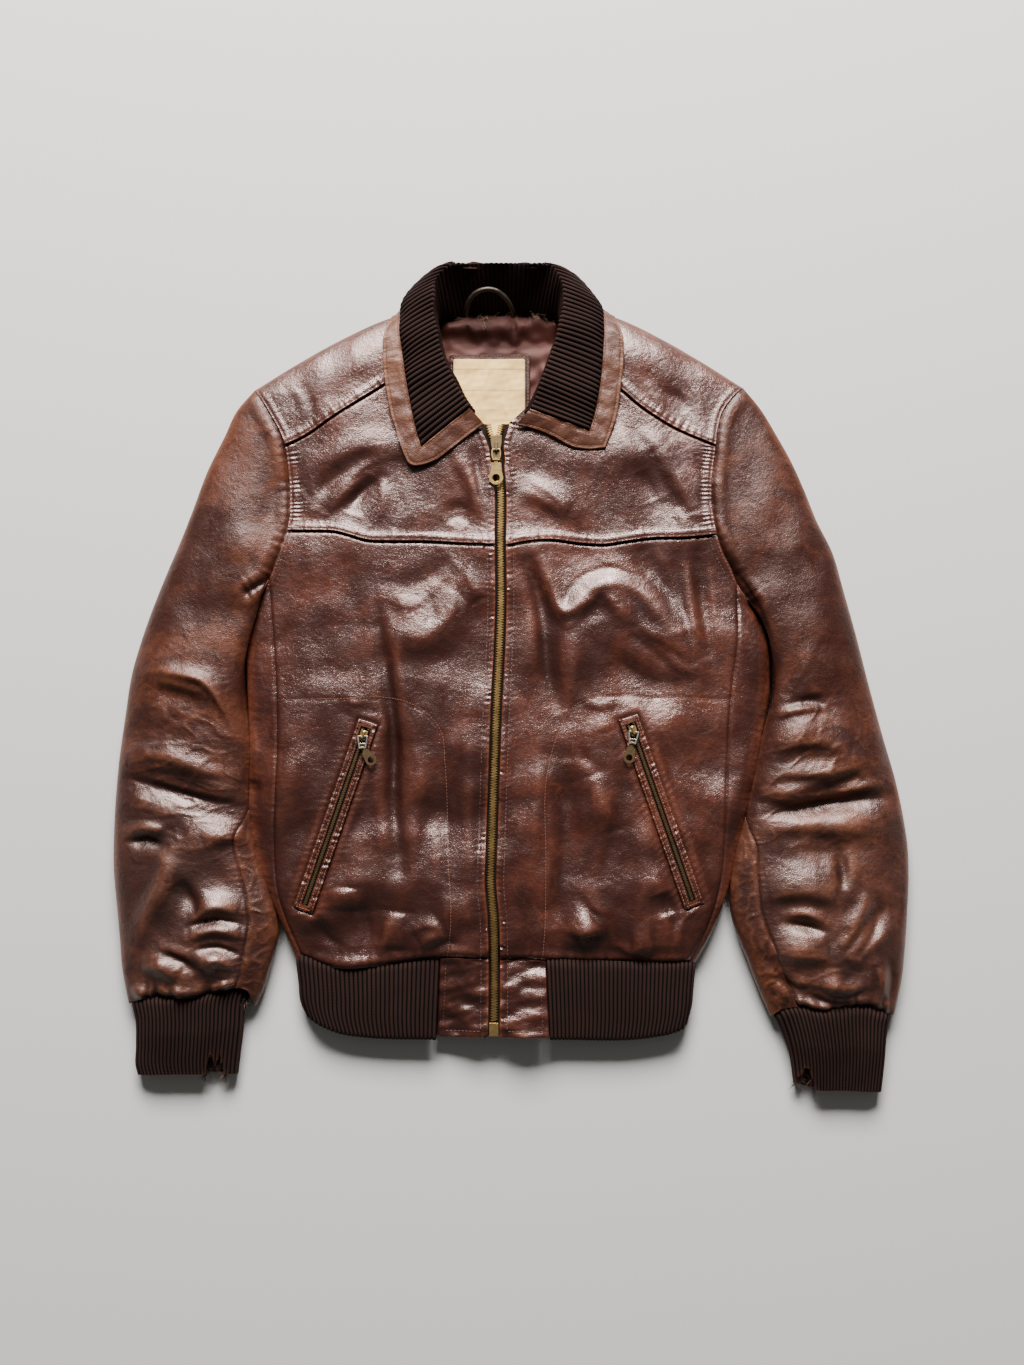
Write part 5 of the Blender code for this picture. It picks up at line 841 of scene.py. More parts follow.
def puckers(place, pitch, seed):
    """Small ripples along a seam, uneven in length and height."""
    swing = 0.9 * waves(place, 0, 31, seed, 8)
    high = 0.62 + 0.38 * waves(place, 0, 22, seed + 1, 8)
    return high * np.sin(2 * math.pi * place / pitch + swing)


def band(line, x, y, seed=0, rise=0.75, width=BAND):
    """A turned edge: raised within the band, grooved at both stitch rows, puckered across."""
    away, place = nearest(line, x, y)
    on = 1 - eased((away - width + 0.5) / 1.6)
    groove = hump(away, .7, STITCH_ROWS[0]) + 1.5 * np.exp(-((away - width + .6) / .9) ** 2)
    ripple = puckers(place, 3.9, seed) * (0.24 * hump(away, 3.5, width) + 0.20 * on)
    edge = 0.9 * (1 - rounded((away + .05) / 1.1))
    return rise * on - 0.50 * groove + ripple - edge


def tucked(line, x, y, depth=2.4, reach=1.6, seed=1):
    """Where a piece passes under a band: it dips, with puckers that fade over 10 mm."""
    away, place = nearest(line, x, y)
    return -depth * hump(away, reach) + 0.14 * puckers(place, 5.3, seed) * np.exp(-away / 6)


def sewn(line, x, y, depth=1.15, seed=2, half=1.5, ripple=0.26):
    """A plain seam: a valley with fine puckers square to it."""
    away, place = nearest(line, x, y)
    return -depth * hump(away, half) + ripple * puckers(place, 4.4, seed) * np.exp(-away / 4.5)


def patch(top, bottom, start, end):
    """Plan grid between four edges (Coons patch): the blend of both pairs of edges less the blend of the
    four corners."""
    cols, rows = (sum(run_of(line) / run_of(line)[-1] for line in pair) / 2
                  for pair in ((top, bottom), (start, end)))
    cols, rows = cols[None, :, None], rows[:, None, None]
    across = (1 - cols) * start[:, None] + cols * end[:, None]
    down = (1 - rows) * top[None] + rows * bottom[None]
    corners = ((1 - rows) * ((1 - cols) * top[0] + cols * top[-1])
               + rows * ((1 - cols) * bottom[0] + cols * bottom[-1]))
    return across + down - corners


def with_z(plan, height):
    return np.concatenate([plan, height[..., None]], axis=-1)


MIDDLE = {"front": (105, 0), "yoke": (95, 170), "shoulder": (140, 262), "side": (260, -100)}


def inset(label, kind, line, gap=0.15):
    """A plan line moved square to itself by a gap, towards the middle of a panel."""
    along = unit(np.gradient(line, axis=0))
    square = xyz(-along[:, 1], along[:, 0])
    middle = MIDDLE[kind] * np.array([SIDES[label]["sign"], 1.0])
    return line + square * np.sign(np.sum((middle - line) * square, axis=1, keepdims=True)) * gap

# %% [markdown]
# ## Seam lines of both halves
# The seams are needed as plain lines of points too: to shape the bands beside them, and later to lay
# stitches along them.

# %% Seam lines
YOKE_Y = {"right": 127, "left": 122.5}      # where the yoke seam meets the armhole
FRONT_Y = 208                               # where the shoulder seam meets it
PIT_Y = {"right": 82, "left": 78}           # where the side seam meets it
PITCH = 1.75                                # between a panel's points
LEATHER = 2.0                               # thickness of a panel's wall

for label, half in SIDES.items():
    sign = half["sign"]
    yoke_y, front_y, pit_y = YOKE_Y[label], FRONT_Y, PIT_Y[label]
    traced = lambda of_y, ys: xyz(of_y(ys), ys)
    arm = lambda *ends: traced(half["armhole_x"], np.linspace(*ends))
    zip_to = lambda *ends: traced(lambda ys: zip_edge(ys, sign), np.linspace(*ends))
    whole = lambda curve, count: curve(np.linspace(0, 1, count))
    ends = {name: half[name][-1] for name in ("armhole", "side_seam", "yoke_seam", "hem")}
    arm_top = half["armhole"][:1]
    line = {"armhole": whole(half["armhole_curve"], 60),
            "arm_shoulder": np.concatenate([arm_top, arm(arm_top[0][1] - 3, front_y, 30)]),
            "arm_yoke": arm(front_y, yoke_y, 30), "arm_front": arm(yoke_y, pit_y, 20),
            "arm_side": np.concatenate([arm(pit_y, ends["armhole"][1] + 2.2, 14), half["armhole"][-1:]])}
    line["side_seam"] = traced(half["side_seam_x"], np.linspace(pit_y, ends["side_seam"][1], 60))
    line["side_seam"][0] = line["arm_side"][0]
    line["shoulder_seam"] = whole(Curve(half["shoulder_seam"]), 50)
    line["shoulder_seam"][0] = line["arm_yoke"][0]
    for name, start_x in (("yoke_seam", line["arm_front"][0, 0]), ("hem", ends["side_seam"][0])):
        xs = np.linspace(start_x, float(zip_edge(ends[name][1], sign)), 60)
        line[name] = xyz(xs, half[name + "_y"](xs))
    zip_y = ends["yoke_seam"][1]
    line["zip_low"] = zip_to(zip_y, line["hem"][-1, 1], 60)
    neck = whole(Curve(half["neckline"]), 40)
    line["zip_high"] = zip_to(neck[-1, 1], zip_y, 30)
    line["neck_and_zip"] = np.concatenate([neck[:-1], line["zip_high"]])
    line["zip_all"] = np.concatenate([line["zip_high"][:-1], line["zip_low"], zip_to(FOOT_Y, FOOT_Y, 1)])
    line["shoulder"] = whole(Curve(half["shoulder_line"]), 60)
    line["side"] = whole(Curve(half["silhouette"]), 80)
    half["line"] = line
    print(label, {name: round(float(run_of(points)[-1])) for name, points in line.items()})

# %% [markdown]
# ## Chest, front and tab
# The yoke lies over the front along the chest, and both have a stitched band beside the zip. The front
# runs down to the knitted waistband, and a leather tab goes on to the foot of the zip.

# %% Height of each panel
POCKET_BAG = dict(named_lines("""
    right: -213 -30, -155 -29, -101 -30, -78 -41, -63 -60, -60 -85, -57 -165, -54 -236, -57 -262; left: 203
    -30, 153 -28, 80 -26, 58 -35, 42 -62, 33 -94, 31 -174, 30 -236, 28 -262"""))
PLACKET = 6.8


def tab_edge(half, y):
    """Side edge of the leather tab, which leans out by 3 mm towards its foot."""
    return half["tab"] + half["sign"] * np.interp(y, [FOOT_Y, -262], [3, 0])


def placket(half, x, y):
    """The band beside the zip: a turned edge, a stitch row 6.8 mm in and many short cross wrinkles."""
    sign = half["sign"]
    away = sign * (x - zip_edge(y, sign))
    near = np.exp(-((away - 3.5) / 4.2) ** 4)
    cross = 0.46 * puckers(y + 0.35 * away, 4.1, 11 + sign) + 0.30 * puckers(y - 0.2 * away, 5.3, 14 + sign)
    groove = 0.9 * hump(away, .9, PLACKET) + 0.3 * hump(away, .6, 1.4)
    edge = 1.2 * (1 - rounded((away + .05) / 1.2))
    swell = 0.5 * (1 - eased((away - PLACKET) / 2.0))
    beyond = 0.34 * puckers(y - .3 * away, 4.1, 17 + sign) * hump(np.maximum(away - PLACKET, 0), 6)
    return swell + cross * near - groove - edge + beyond * (away > PLACKET)


def on_panel(label, kind, x, y):
    """Height of a body panel: the body's form, its folds, and the seams this panel takes part in."""
    half = SIDES[label]
    line = half["line"]
    seed = 20 if label == "right" else 40
    extra = np.zeros(np.shape(x))
    if kind == "yoke":
        extra += band(line["yoke_seam"], x, y, seed) + band(line["arm_yoke"], x, y, seed + 2)
        extra += tucked(line["shoulder_seam"], x, y, seed=seed + 4) + placket(half, x, y)
        away, place = nearest(line["yoke_seam"], x, y)
        extra += (1.3 + .55 * puckers(place, 7.5, seed + 5)) * hump(away, 7, 1)
    elif kind == "shoulder":
        extra += band(line["shoulder_seam"], x, y, seed + 6) + band(line["arm_shoulder"], x, y, seed + 8)
        away, place = nearest(line["shoulder_seam"], x, y)
        extra += (.8 + .45 * puckers(place, 7.5, seed + 7)) * hump(away, 7, 1)
    elif kind == "front":
        extra += tucked(line["yoke_seam"], x, y, seed=seed + 10)
        extra += band(line["arm_front"], x, y, seed + 12, 0.5) + placket(half, x, y)
        extra += sewn(line["side_seam"], x, y, seed=seed + 14)
        extra += sewn(POCKET_BAG[label], x, y, 0.42, seed + 16, 1.2, 0.12)
        extra += pocket_bed(label, x, y)
        hem_away, hem_place = nearest(line["hem"], x, y)
        extra += 1.5 * hump(hem_away, 5, 5) - 2.6 * hump(hem_away, 2.4)
        extra += 0.5 * puckers(hem_place, 9.5, seed + 18) * hump(hem_away, 9)
    elif kind == "side":
        extra += (band(line["arm_side"], x, y, seed + 20, 0.3)
                  + sewn(line["side_seam"], x, y, seed=seed + 14))
        extra += 0.30 * puckers(y + 0.2 * x, 6.5, seed + 22) * hump(side_depth(x, y, half), 16)
    elif kind == "tab":
        extra += (placket(half, x, y) + 0.55 * waves(x * .5, y, 15, seed)
                  + 0.15 * waves(x * .6, y, 7, seed + 1))
        away = half["sign"] * (tab_edge(half, y) - x)
        extra += 0.5 - 0.6 * hump(away, 1.0, 5.5) - 1.6 * (1 - rounded(away / 1.6))
        extra += -0.6 * hump(y - FOOT_Y, 1.0, 6) - 1.6 * (1 - rounded((y - FOOT_Y) / 1.6))
    return body_top(x, y, extra)


def pocket_frame(label):
    """Top, direction, length and cross direction of a pocket's zip."""
    top, bottom = (np.array(POCKETS[label][end], float) for end in ("top", "bottom"))
    length = np.linalg.norm(bottom - top)
    along = (bottom - top) / length
    return top, along, length, np.array([-along[1], along[0]])


def pocket_place(label, x, y):
    """How far down a pocket's zip a plan point is, and how far to its side."""
    top, along, _, across = pocket_frame(label)
    dx, dy = x - top[0], y - top[1]
    return dx * along[0] + dy * along[1], dx * across[0] + dy * across[1]


def pocket_bed(label, x, y):
    """The front sinks a little round a pocket, and puckers beside its welt."""
    down, aside = pocket_place(label, x, y)
    length = pocket_frame(label)[2]
    out = np.hypot(np.maximum(np.abs(aside) - WELT_HALF, 0),
                   np.maximum(np.abs(down - length / 2) - length / 2, 0))
    inside = (np.abs(aside) < WELT_HALF + .3) & (down > -.3) & (down < length + .3)
    lip = -0.9 * hump(out, 1.6) + 0.7 * hump(out, 3.5, 5)
    ripple = 0.34 * puckers(down + 0.4 * aside, 6.2, 61) * hump(out, 10)
    return np.where(inside, -1.4, lip + ripple)

# %% Cut the yokes and fronts
def panel(name, node, plan, label, kind, edges):
    grid = with_z(plan, on_panel(label, kind, plan[..., 0], plan[..., 1]))
    return cloth(name, grid, LEATHER, "jacket_leather", stands_for=(node,) if node else (),
                 values=hide_values(grid, edges))


def hide_values(grid, edges=(), gloss=1.0):
    """Numbers for the leather: how far each point stands above the cloth around it, how near it is to a
    worn edge, and its gloss."""
    z = grid[..., 2]
    wide = z.copy()
    for _ in range(5):
        for axis in (0, 1):
            first, last = np.take(wide, [0, 0], axis), np.take(wide, [-1, -1], axis)
            padded, count = np.concatenate([first, wide, last], axis), wide.shape[axis]
            wide = sum(np.take(padded, range(k, k + count), axis) for k in range(5)) / 5
    proud = np.clip((z - wide) / 1.4 * 0.5 + 0.5, 0, 1)
    worn = np.zeros(z.shape)
    for line, reach in edges:
        away = nearest(line, grid[..., 0], grid[..., 1])[0]
        worn = np.maximum(worn, hump(away, reach))
    return {"proud": proud, "worn": worn, "gloss": gloss + 0 * z}


for label, half in SIDES.items():
    line, sign = half["line"], half["sign"]
    gap = lambda kind, seam, shares: inset(label, kind, resampled(seam, shares))
    width = run_of(line["yoke_seam"])[-1]
    across = steps(width, PITCH)
    down = steps(run_of(line["zip_low"])[-1], PITCH)
    start = np.concatenate([line["arm_front"][:-1], line["side_seam"]])
    plan = patch(gap("front", line["yoke_seam"], across), gap("front", line["hem"], across),
                 gap("front", start, down), resampled(line["zip_low"], down))
    panel("front_%s_leather" % label, "front_" + label, plan, label, "front",
          edges=[(line["zip_low"], 2.2), (line["arm_front"], 2.0)])
    down = steps(run_of(line["neck_and_zip"])[-1], PITCH)
    plan = patch(gap("yoke", line["shoulder_seam"], across), gap("yoke", line["yoke_seam"], across),
                 gap("yoke", line["arm_yoke"], down), resampled(line["neck_and_zip"], down))
    panel("yoke_%s_leather" % label, "yoke_" + label, plan, label, "yoke",
          edges=[(line["yoke_seam"], 2.0), (line["arm_yoke"], 1.8), (line["zip_high"], 2.2)])
    hem = line["hem"][-1, 1]
    ys = (steps(hem - FOOT_Y, PITCH) * (FOOT_Y - hem) + hem)[:, None]
    first, last = tab_edge(half, ys), zip_edge(ys, sign)
    x = first + (last - first) * steps(abs(float(last[0, 0] - first[0, 0])), PITCH)
    y = np.repeat(ys, x.shape[1], axis=1)
    y[0] = half["hem_y"](x[0]) - 0.2
    y[1:] = y[0] + (y[1:] - hem) * (FOOT_Y - y[0]) / (FOOT_Y - hem)
    panel("tab_%s_leather" % label, None, xyz(x, y), label, "tab", edges=[(line["zip_all"], 2.2)])

# %% [markdown]
# ## Shoulders and sides
# These panels wrap round a fold. Rows run from the seam on top, over the fold and 26 mm in on the
# underside, and they crowd together at the fold, where the cloth turns fastest.

# %% Wrap a panel round its fold
def wrapped(name, node, label, kind, top_plan, under_plan, edges):
    """One grid from a seam on top, round the fold, to the edge on the underside."""
    top = with_z(top_plan, on_panel(label, kind, top_plan[..., 0], top_plan[..., 1]))
    top[-1, :, 2] = body_edge(top_plan[-1, :, 1])
    under = with_z(under_plan, body_under(under_plan[..., 0], under_plan[..., 1]))
    grid = np.concatenate([top, under[1:]])
    return cloth(name, grid, LEATHER, "jacket_leather", stands_for=(node,), values=hide_values(grid, edges))


def crowded(width, plain, count):
    """Places from 0 to 1: even over the plain share, and then crowded towards the fold as a cosine."""
    return np.unique(np.concatenate([steps(width, PITCH, end=False) * plain,
                                     1 - (1 - plain) * np.cos(np.linspace(0, math.pi / 2, count))]))


UNDER = 26 * (1 - np.cos(np.linspace(0, math.pi / 2, 14)))
for label, half in SIDES.items():
    line, sign = half["line"], half["sign"]
    curve, length = half["armhole_curve"], half["armhole_length"]
    columns = steps(run_of(line["shoulder"])[-1], PITCH)
    rows = crowded(52, .72, 14)
    seam, ridge = resampled(line["shoulder_seam"], columns), resampled(line["shoulder"], columns)
    arm = resampled(line["arm_shoulder"][::-1], rows)
    neck = seam[-1] + (ridge[-1] - seam[-1]) * rows[:, None]
    top_plan = patch(inset(label, "shoulder", seam), ridge, inset(label, "shoulder", arm), neck)
    back_arm = curve(UNDER / length)
    back_neck = ridge[-1] + np.stack([-sign * 0.12 * UNDER, -UNDER], axis=-1)
    inside = ridge + (0, -24)
    inside[0], inside[-1] = back_arm[-1], back_neck[-1]
    under_plan = patch(ridge, inside, back_arm, back_neck)
    half["back_shoulder"] = inside
    wrapped("shoulder_%s_leather" % label, "shoulder_" + label, label, "shoulder", top_plan, under_plan,
            [(line["shoulder_seam"], 2.0), (line["arm_shoulder"], 2.0), (line["shoulder"], 6.0)])
    columns = steps(run_of(line["side"])[-1], PITCH)
    rows = crowded(26, .6, 12)
    seam, ridge = resampled(line["side_seam"], columns), resampled(line["side"], columns)
    arm = resampled(line["arm_side"], rows)
    hem = seam[-1] + (ridge[-1] - seam[-1]) * rows[:, None]
    top_plan = patch(inset(label, "side", seam), ridge, arm, hem)
    under_arm = curve(1 - UNDER / length)
    inside = ridge - (sign * 26, 0)
    inside[0] = under_arm[-1]
    under_hem = ridge[-1] + (inside[-1] - ridge[-1]) * (UNDER / 26)[:, None]
    under_plan = patch(ridge, inside, under_arm, under_hem)
    half["back_side"] = inside
    wrapped("side_%s_leather" % label, "side_" + label, label, "side", top_plan, under_plan,
            [(line["side"], 7.0), (line["arm_side"], 2.0)])

# %% [markdown]
# ## Sleeves
# A sleeve is a flattened tube. v runs along it from the armhole to the cuff, and u round it: 0 at the
# outer fold, over the top to 1 at the inner fold, and beyond those on the underside. Near the armhole the
# tube takes over the body's form, so that the two meet. The leather of the sleeves has gone soft where
# the elbow bends, so fine creases are added there, square to the sleeve.

# %% The sleeve's form
SLEEVE_TURN, SLEEVE_SEAM_IN = (.50, .66), 25.0     # where along the sleeve its seam turns, and how far in
SLEEVE_RUN = 600
SLEEVE_LOFT = [(0, 30), (.15, 33), (.35, 37.5), (.5, 36.5), (.7, 35), (.9, 31.5), (1, 25)]
CUFF_LOFT = [(0, 23.5), (.5, 22), (1, 16)]
SLEEVE_CREASES = {
    "right": fold_lines("""
        5 3: -327 -5, -300 -9, -276 -16, -261 -36, -244 -69; 8 -2.2: -327 -21, -295 -26, -277 -34; 13 6:
        -350 -88, -325 -88, -293 -94, -266 -105, -241 -112; 8 -5.5: -348 -101, -311 -111, -275 -121, -238
        -128; 12 2: -345 -121, -315 -130, -288 -131; 9 3.4: -274 -162, -257 -155, -237 -153; 5 3.2: -344
        -149, -327 -147, -310 -151; 4 -4: -344 -158, -325 -156, -308 -162; 10 4.2: -306 -167, -309 -192,
        -324 -223, -336 -251; 9 -4.2: -297 -192, -286 -209, -276 -223; 8 4.4: -280 -223, -261 -216, -241
        -220; 7 3.8: -286 -243, -264 -236, -239 -241; 4 -2.6: -285 -232, -264 -227, -241 -230; 5 -2.8: -279
        -253, -261 -251, -240 -258; 9 3.6: -330 -267, -312 -269, -294 -279; 5 -2.8: -311 -255, -293 -262,
        -277 -272; 7 3.4: -275 -272, -261 -263, -243 -269; 5 2.6: -338 -284, -331 -295, -329 -302; 5 -2.2:
        -319 -288, -313 -296, -313 -303; 5 2.6: -299 -283, -294 -293, -295 -302; 5 -2.4: -269 -283, -271
        -293, -269 -300; 5 2.4: -254 -279, -255 -289, -251 -296"""),
    "left": fold_lines("""
        5 2.8: 239 -45, 257 -40, 281 -38; 5 -2.2: 247 -36, 267 -31, 283 -29; 13 4.2: 235 -78, 255 -70, 282
        -70, 307 -78; 12 4.8: 222 -106, 245 -112, 270 -106, 301 -92, 325 -87; 8 -5.5: 219 -121, 246 -128,
        277 -124, 309 -121, 342 -117; 5 2.4: 291 -114, 315 -110, 340 -105; 14 -4.8: 233 -158, 258 -155, 294
        -158, 328 -155; 15 4.6: 227 -206, 257 -202, 291 -206; 5 -2.4: 295 -167, 297 -185, 294 -202; 5 2.6:
        244 -222, 262 -222, 279 -229; 4 -2.6: 242 -229, 262 -232, 279 -237; 12 4.4: 227 -251, 252 -258, 284
        -257; 7 3: 319 -200, 310 -225, 289 -253; 7 -3: 331 -209, 324 -236, 305 -263; 9 3.4: 298 -269, 318
        -250, 336 -236; 5 -2.8: 236 -272, 248 -284, 265 -289; 5 2.6: 234 -283, 241 -295, 239 -303; 6 3.2:
        273 -283, 295 -289, 315 -284; 4 -2.4: 265 -293, 283 -300, 306 -300; 5 2.8: 326 -267, 329 -284, 327
        -298; 4 -2.2: 337 -263, 340 -279, 338 -295; 7 2.4: 220 -31, 226 -54, 222 -78"""),
}


def sleeve_relief(x, y, label):
    """The placed folds, slack, and fine cross creases that are strongest at the elbow."""
    elbow = hump(y, 85, -92) + 0.6 * hump(y, 32, -275)
    fine = crinkle(x * .45, y, 24, 71 if label == "right" else 72) * 0.8
    fine += crinkle(x * .6 + y * .2, y, 12, 73) * 0.3
    low = 1.3 + .4 * eased((-150 - y) / 60)
    placed = .5 * folds(x, y, FOLDS, .35) + folds(x, y, SLEEVE_CREASES[label], .4)
    return low * placed + slack(x, y) + elbow * fine


def sleeve_point(label, v, u):
    """Point of a sleeve. In plan it is the straight line from outer to inner edge, bent to the armhole at
    v = 0 and to the cuff's seam at v = 1; its height is the underside's or the top's rounded profile."""
    side = SIDES[label]
    v, u = np.broadcast_arrays(np.clip(v, 0, 1), np.asarray(u, float))
    a = np.where(u < 0, -u, np.where(u > 1, 2 - u, u))
    share = a[..., None]
    start, end = Curve(side["sleeve_outer"])(v), Curve(side["sleeve_inner"])(v)
    gap = side["sign"] * 4.5 * eased((v - .22) / .15) * (1 - eased((v - .74) / .14))
    end = end - gap[..., None] * (1.0, 0)
    near, far = (1 - eased(v / .35))[..., None], eased((v - .86) / .14)[..., None]
    arm = side["armhole_curve"]
    bow = lambda curve: curve(a) - (curve(0 * a) * (1 - share) + curve(0 * a + 1) * share)
    plan = start + (end - start) * share + near * bow(arm) + far * bow(Curve(side["sleeve_hem"]))
    by_arm = near[..., 0]
    width = np.linalg.norm(end - start, axis=-1) * (1 - by_arm) + side["armhole_length"] * by_arm
    x, y = plan[..., 0], plan[..., 1]
    arm_x, arm_y = arm(a)[..., 0], arm(a)[..., 1]
    hold, middle = 1 - eased(v / .16), 13 - 2 * v
    loft = np.interp(v, *np.array(SLEEVE_LOFT).T) + sleeve_relief(x, y, label)
    over = middle + (loft - middle) * (rounded(2 * a) * rounded(2 - 2 * a))
    under = middle * (1 - rounded(a * width / 13) * rounded((1 - a) * width / 13))
    over = hold * body_top(arm_x, arm_y) + (1 - hold) * over
    under = hold * body_under(arm_x, arm_y) + (1 - hold) * under
    return xyz(x, y, np.where((u >= 0) & (u <= 1), over, under))

# %% Sew the sleeves
def sleeve_width(label, v):
    side = SIDES[label]
    near = 1 - eased(v / .30)
    flat = np.linalg.norm(Curve(side["sleeve_outer"])(v) - Curve(side["sleeve_inner"])(v), axis=-1)
    return flat * (1 - near) + side["armhole_length"] * near


def seam_turn(v):
    """How far the sleeve's seam has turned from its outer fold on to the top."""
    return eased((v - SLEEVE_TURN[0]) / (SLEEVE_TURN[1] - SLEEVE_TURN[0]))


for label, half in SIDES.items():
    v = steps(SLEEVE_RUN, 1.9)[:, None]
    width = sleeve_width(label, v)
    seam = 1 - seam_turn(v) * SLEEVE_SEAM_IN / width
    even = np.linspace(0, 1, 96)[1:]
    over = .55 * (1 - np.cos(np.linspace(0, math.pi, 96)[1:])) / 2 + .45 * even
    under_u = -np.cumsum(np.array([.4, .8, 1.3, 2.2, 3.3, 5, 6, 7]))[::-1] / width
    upper_u = np.concatenate([under_u, 0 * width, seam * over], axis=1)
    grid = sleeve_point(label, v, upper_u)
    x, y = grid[..., 0], grid[..., 1]
    away = (1 - upper_u / seam) * width * seam
    edge = -1.3 * hump(away, 1.5) + 0.3 * puckers(y, 4.6, 81) * np.exp(-away / 5)
    arm_away, arm_place = nearest(half["line"]["armhole"], x, y)
    edge = edge + eased(away / 26) * (-1.9 * hump(arm_away, 2.6) + 1.5 * hump(arm_away, 6, 8)
                                      + 0.5 * puckers(arm_place, 8.5, 83) * hump(arm_away, 9, 3))
    hem_away = (1 - v) * SLEEVE_RUN
    edge = edge + (2.3 * hump(hem_away, 7, 7) - 3.4 * hump(hem_away, 3)
                   + 1.3 * puckers(x, 11.5, 85) * hump(hem_away, 13))
    grid[..., 2] += edge * rounded(upper_u * 3)
    gloss = .62 + .88 * eased((20 - y) / 220)
    cloth("sleeve_upper_%s_leather" % label, grid, LEATHER, "sleeve_leather",
          stands_for=("sleeve_upper_" + label,),
          values=hide_values(grid, [(half["sleeve_outer"], 5.0)], gloss))
    v = steps(SLEEVE_RUN, 2.6)[:, None]
    width, turn = sleeve_width(label, v), seam_turn(v)
    first = np.concatenate([np.linspace(0, 2.5, 14), [3.2, 4.6, 6.5, 9.5, 15, 26]]) * (1 - turn)
    first = first + np.concatenate([np.linspace(-25, -3.2, 14), [-2, -1, 0, 1.8, 5.5, 13]]) * turn
    low = 1 + first / width
    start, last = low[:, -1:], 2 - 28 / width
    u = np.concatenate([low, start + (last - start) * np.linspace(0, 1, 24)[1:]], axis=1)
    grid = sleeve_point(label, v, u)
    x, y = grid[..., 0], grid[..., 1]
    away = (u - low[:, :1]) * width
    lumps = 1.1 * crinkle(x * .7, y, 19, 93) + 0.3 * crinkle(x, y * .8, 9, 94)
    lumps = lumps * np.clip(away / 4, 0, 1) * np.clip((1 - u) * width / 4, 0, 1)
    grid[..., 2] += np.where(u < 1, (-1.2 * hump(away, 1.6) + lumps) * turn, 0)
    grid[..., 2] += np.where(u > 1, 0.5 * np.clip(waves(x, y, 40, 91), 0, 2) * (grid[..., 2] < 1), 0)
    cloth("sleeve_under_%s_leather" % label, grid, LEATHER, "sleeve_leather", up=(0, 0, -1),
          stands_for=("sleeve_under_" + label,), values=hide_values(grid))
    half["back_sleeve"] = half["armhole_curve"](np.linspace(26 / half["armhole_length"],
                                                            1 - 26 / half["armhole_length"], 40))

# %% [markdown]
# ## Back
# The back is what the jacket lies on, so its underside is the floor's plane, with only faint hollows.

# %% Cut the back
def back_edge(side):
    arm = side["back_sleeve"]
    return np.concatenate([arm[::2], side["back_side"][2:]])


right, left = SIDES["right"], SIDES["left"]
top = np.concatenate([right["back_shoulder"], [(-71, 333), (-40, 331), (-11, 330), (20, 331), (46, 333)],
                      left["back_shoulder"][::-1]])
first, last = back_edge(right), back_edge(left)
shares, rows = np.linspace(0, 1, 130), np.linspace(0, 1, 150)
top = resampled(top, shares)
bottom = resampled(np.array([first[-1], (-95, -263.5), (-15, -264.5), (65, -266), last[-1]]), shares)
plan = patch(top, bottom, resampled(first, rows), resampled(last, rows))
x, y = plan[..., 0], plan[..., 1]
hollow = 0.35 * np.clip(waves(x, y, 60, 95), 0, 2) + 0.12 * np.clip(waves(x, y, 17, 96), 0, 2)
seam = np.array([(-250, 150), (-120, 141), (0, 138), (120, 141), (250, 150)], float)
hollow += 0.8 * hump(nearest(seam, x, y)[0], 1.5)
grid = with_z(plan, hollow)
inner = with_z(plan, np.full(x.shape, 2.4))
cloth("back_leather", grid, LEATHER, "jacket_leather", up=(0, 0, -1), inner=inner, stands_for=("back",),
      values=hide_values(grid, [(seam, 3.0)]))

# %% [markdown]
# ## Knitted ribs
# Rib knit is columns of stitches with narrow valleys between them. Across the columns the height is
# |sin|-shaped, raised to a power so that the tops are round and the valleys narrow. A number for how far
# along and across the ribs each point lies goes to the material, which draws the loops of the knit.
# A third number, hollow, marks the valleys, which the material paints darker: painted shade.

# %% Rib helpers
RIB_PITCH, COLLAR_RIB_PITCH = 3.9, 4.4


def rib_shares(width, pitch, block=4, fine=8):
    """How many ribs fit a width, and places across it with several to each rib."""
    ribs = max(block, int(round(width / pitch / block)) * block)
    return ribs, np.linspace(0, 1, ribs * fine + 1)


def rib_profile(share, ribs):
    return np.abs(np.sin(math.pi * share * ribs)) ** 0.75

# %% Knit the waistband
DOWN = np.concatenate([[0, .02, .05], np.linspace(.09, .93, 26), [.965, .985, 1]])[:, None]
LOOPS, KNIT = 70, 2.6       # length of a band's ribs, and thickness of the doubled knit


def down_to(foot, x, first_y):
    """Plan rows from a seam down to the band's foot."""
    return first_y + (foot(x) - first_y) * DOWN


def facing(grid, row, column, up):
    """Unit normals of a grid, turned so that the one at a row and column looks up (1) or down (-1)."""
    normal = grid_normals(grid)
    return normal * np.sign(up * normal[row, column, 2])


def back_hem(x):
    return np.interp(x, [-168, 139.5], [-263, -267]) - 0.4


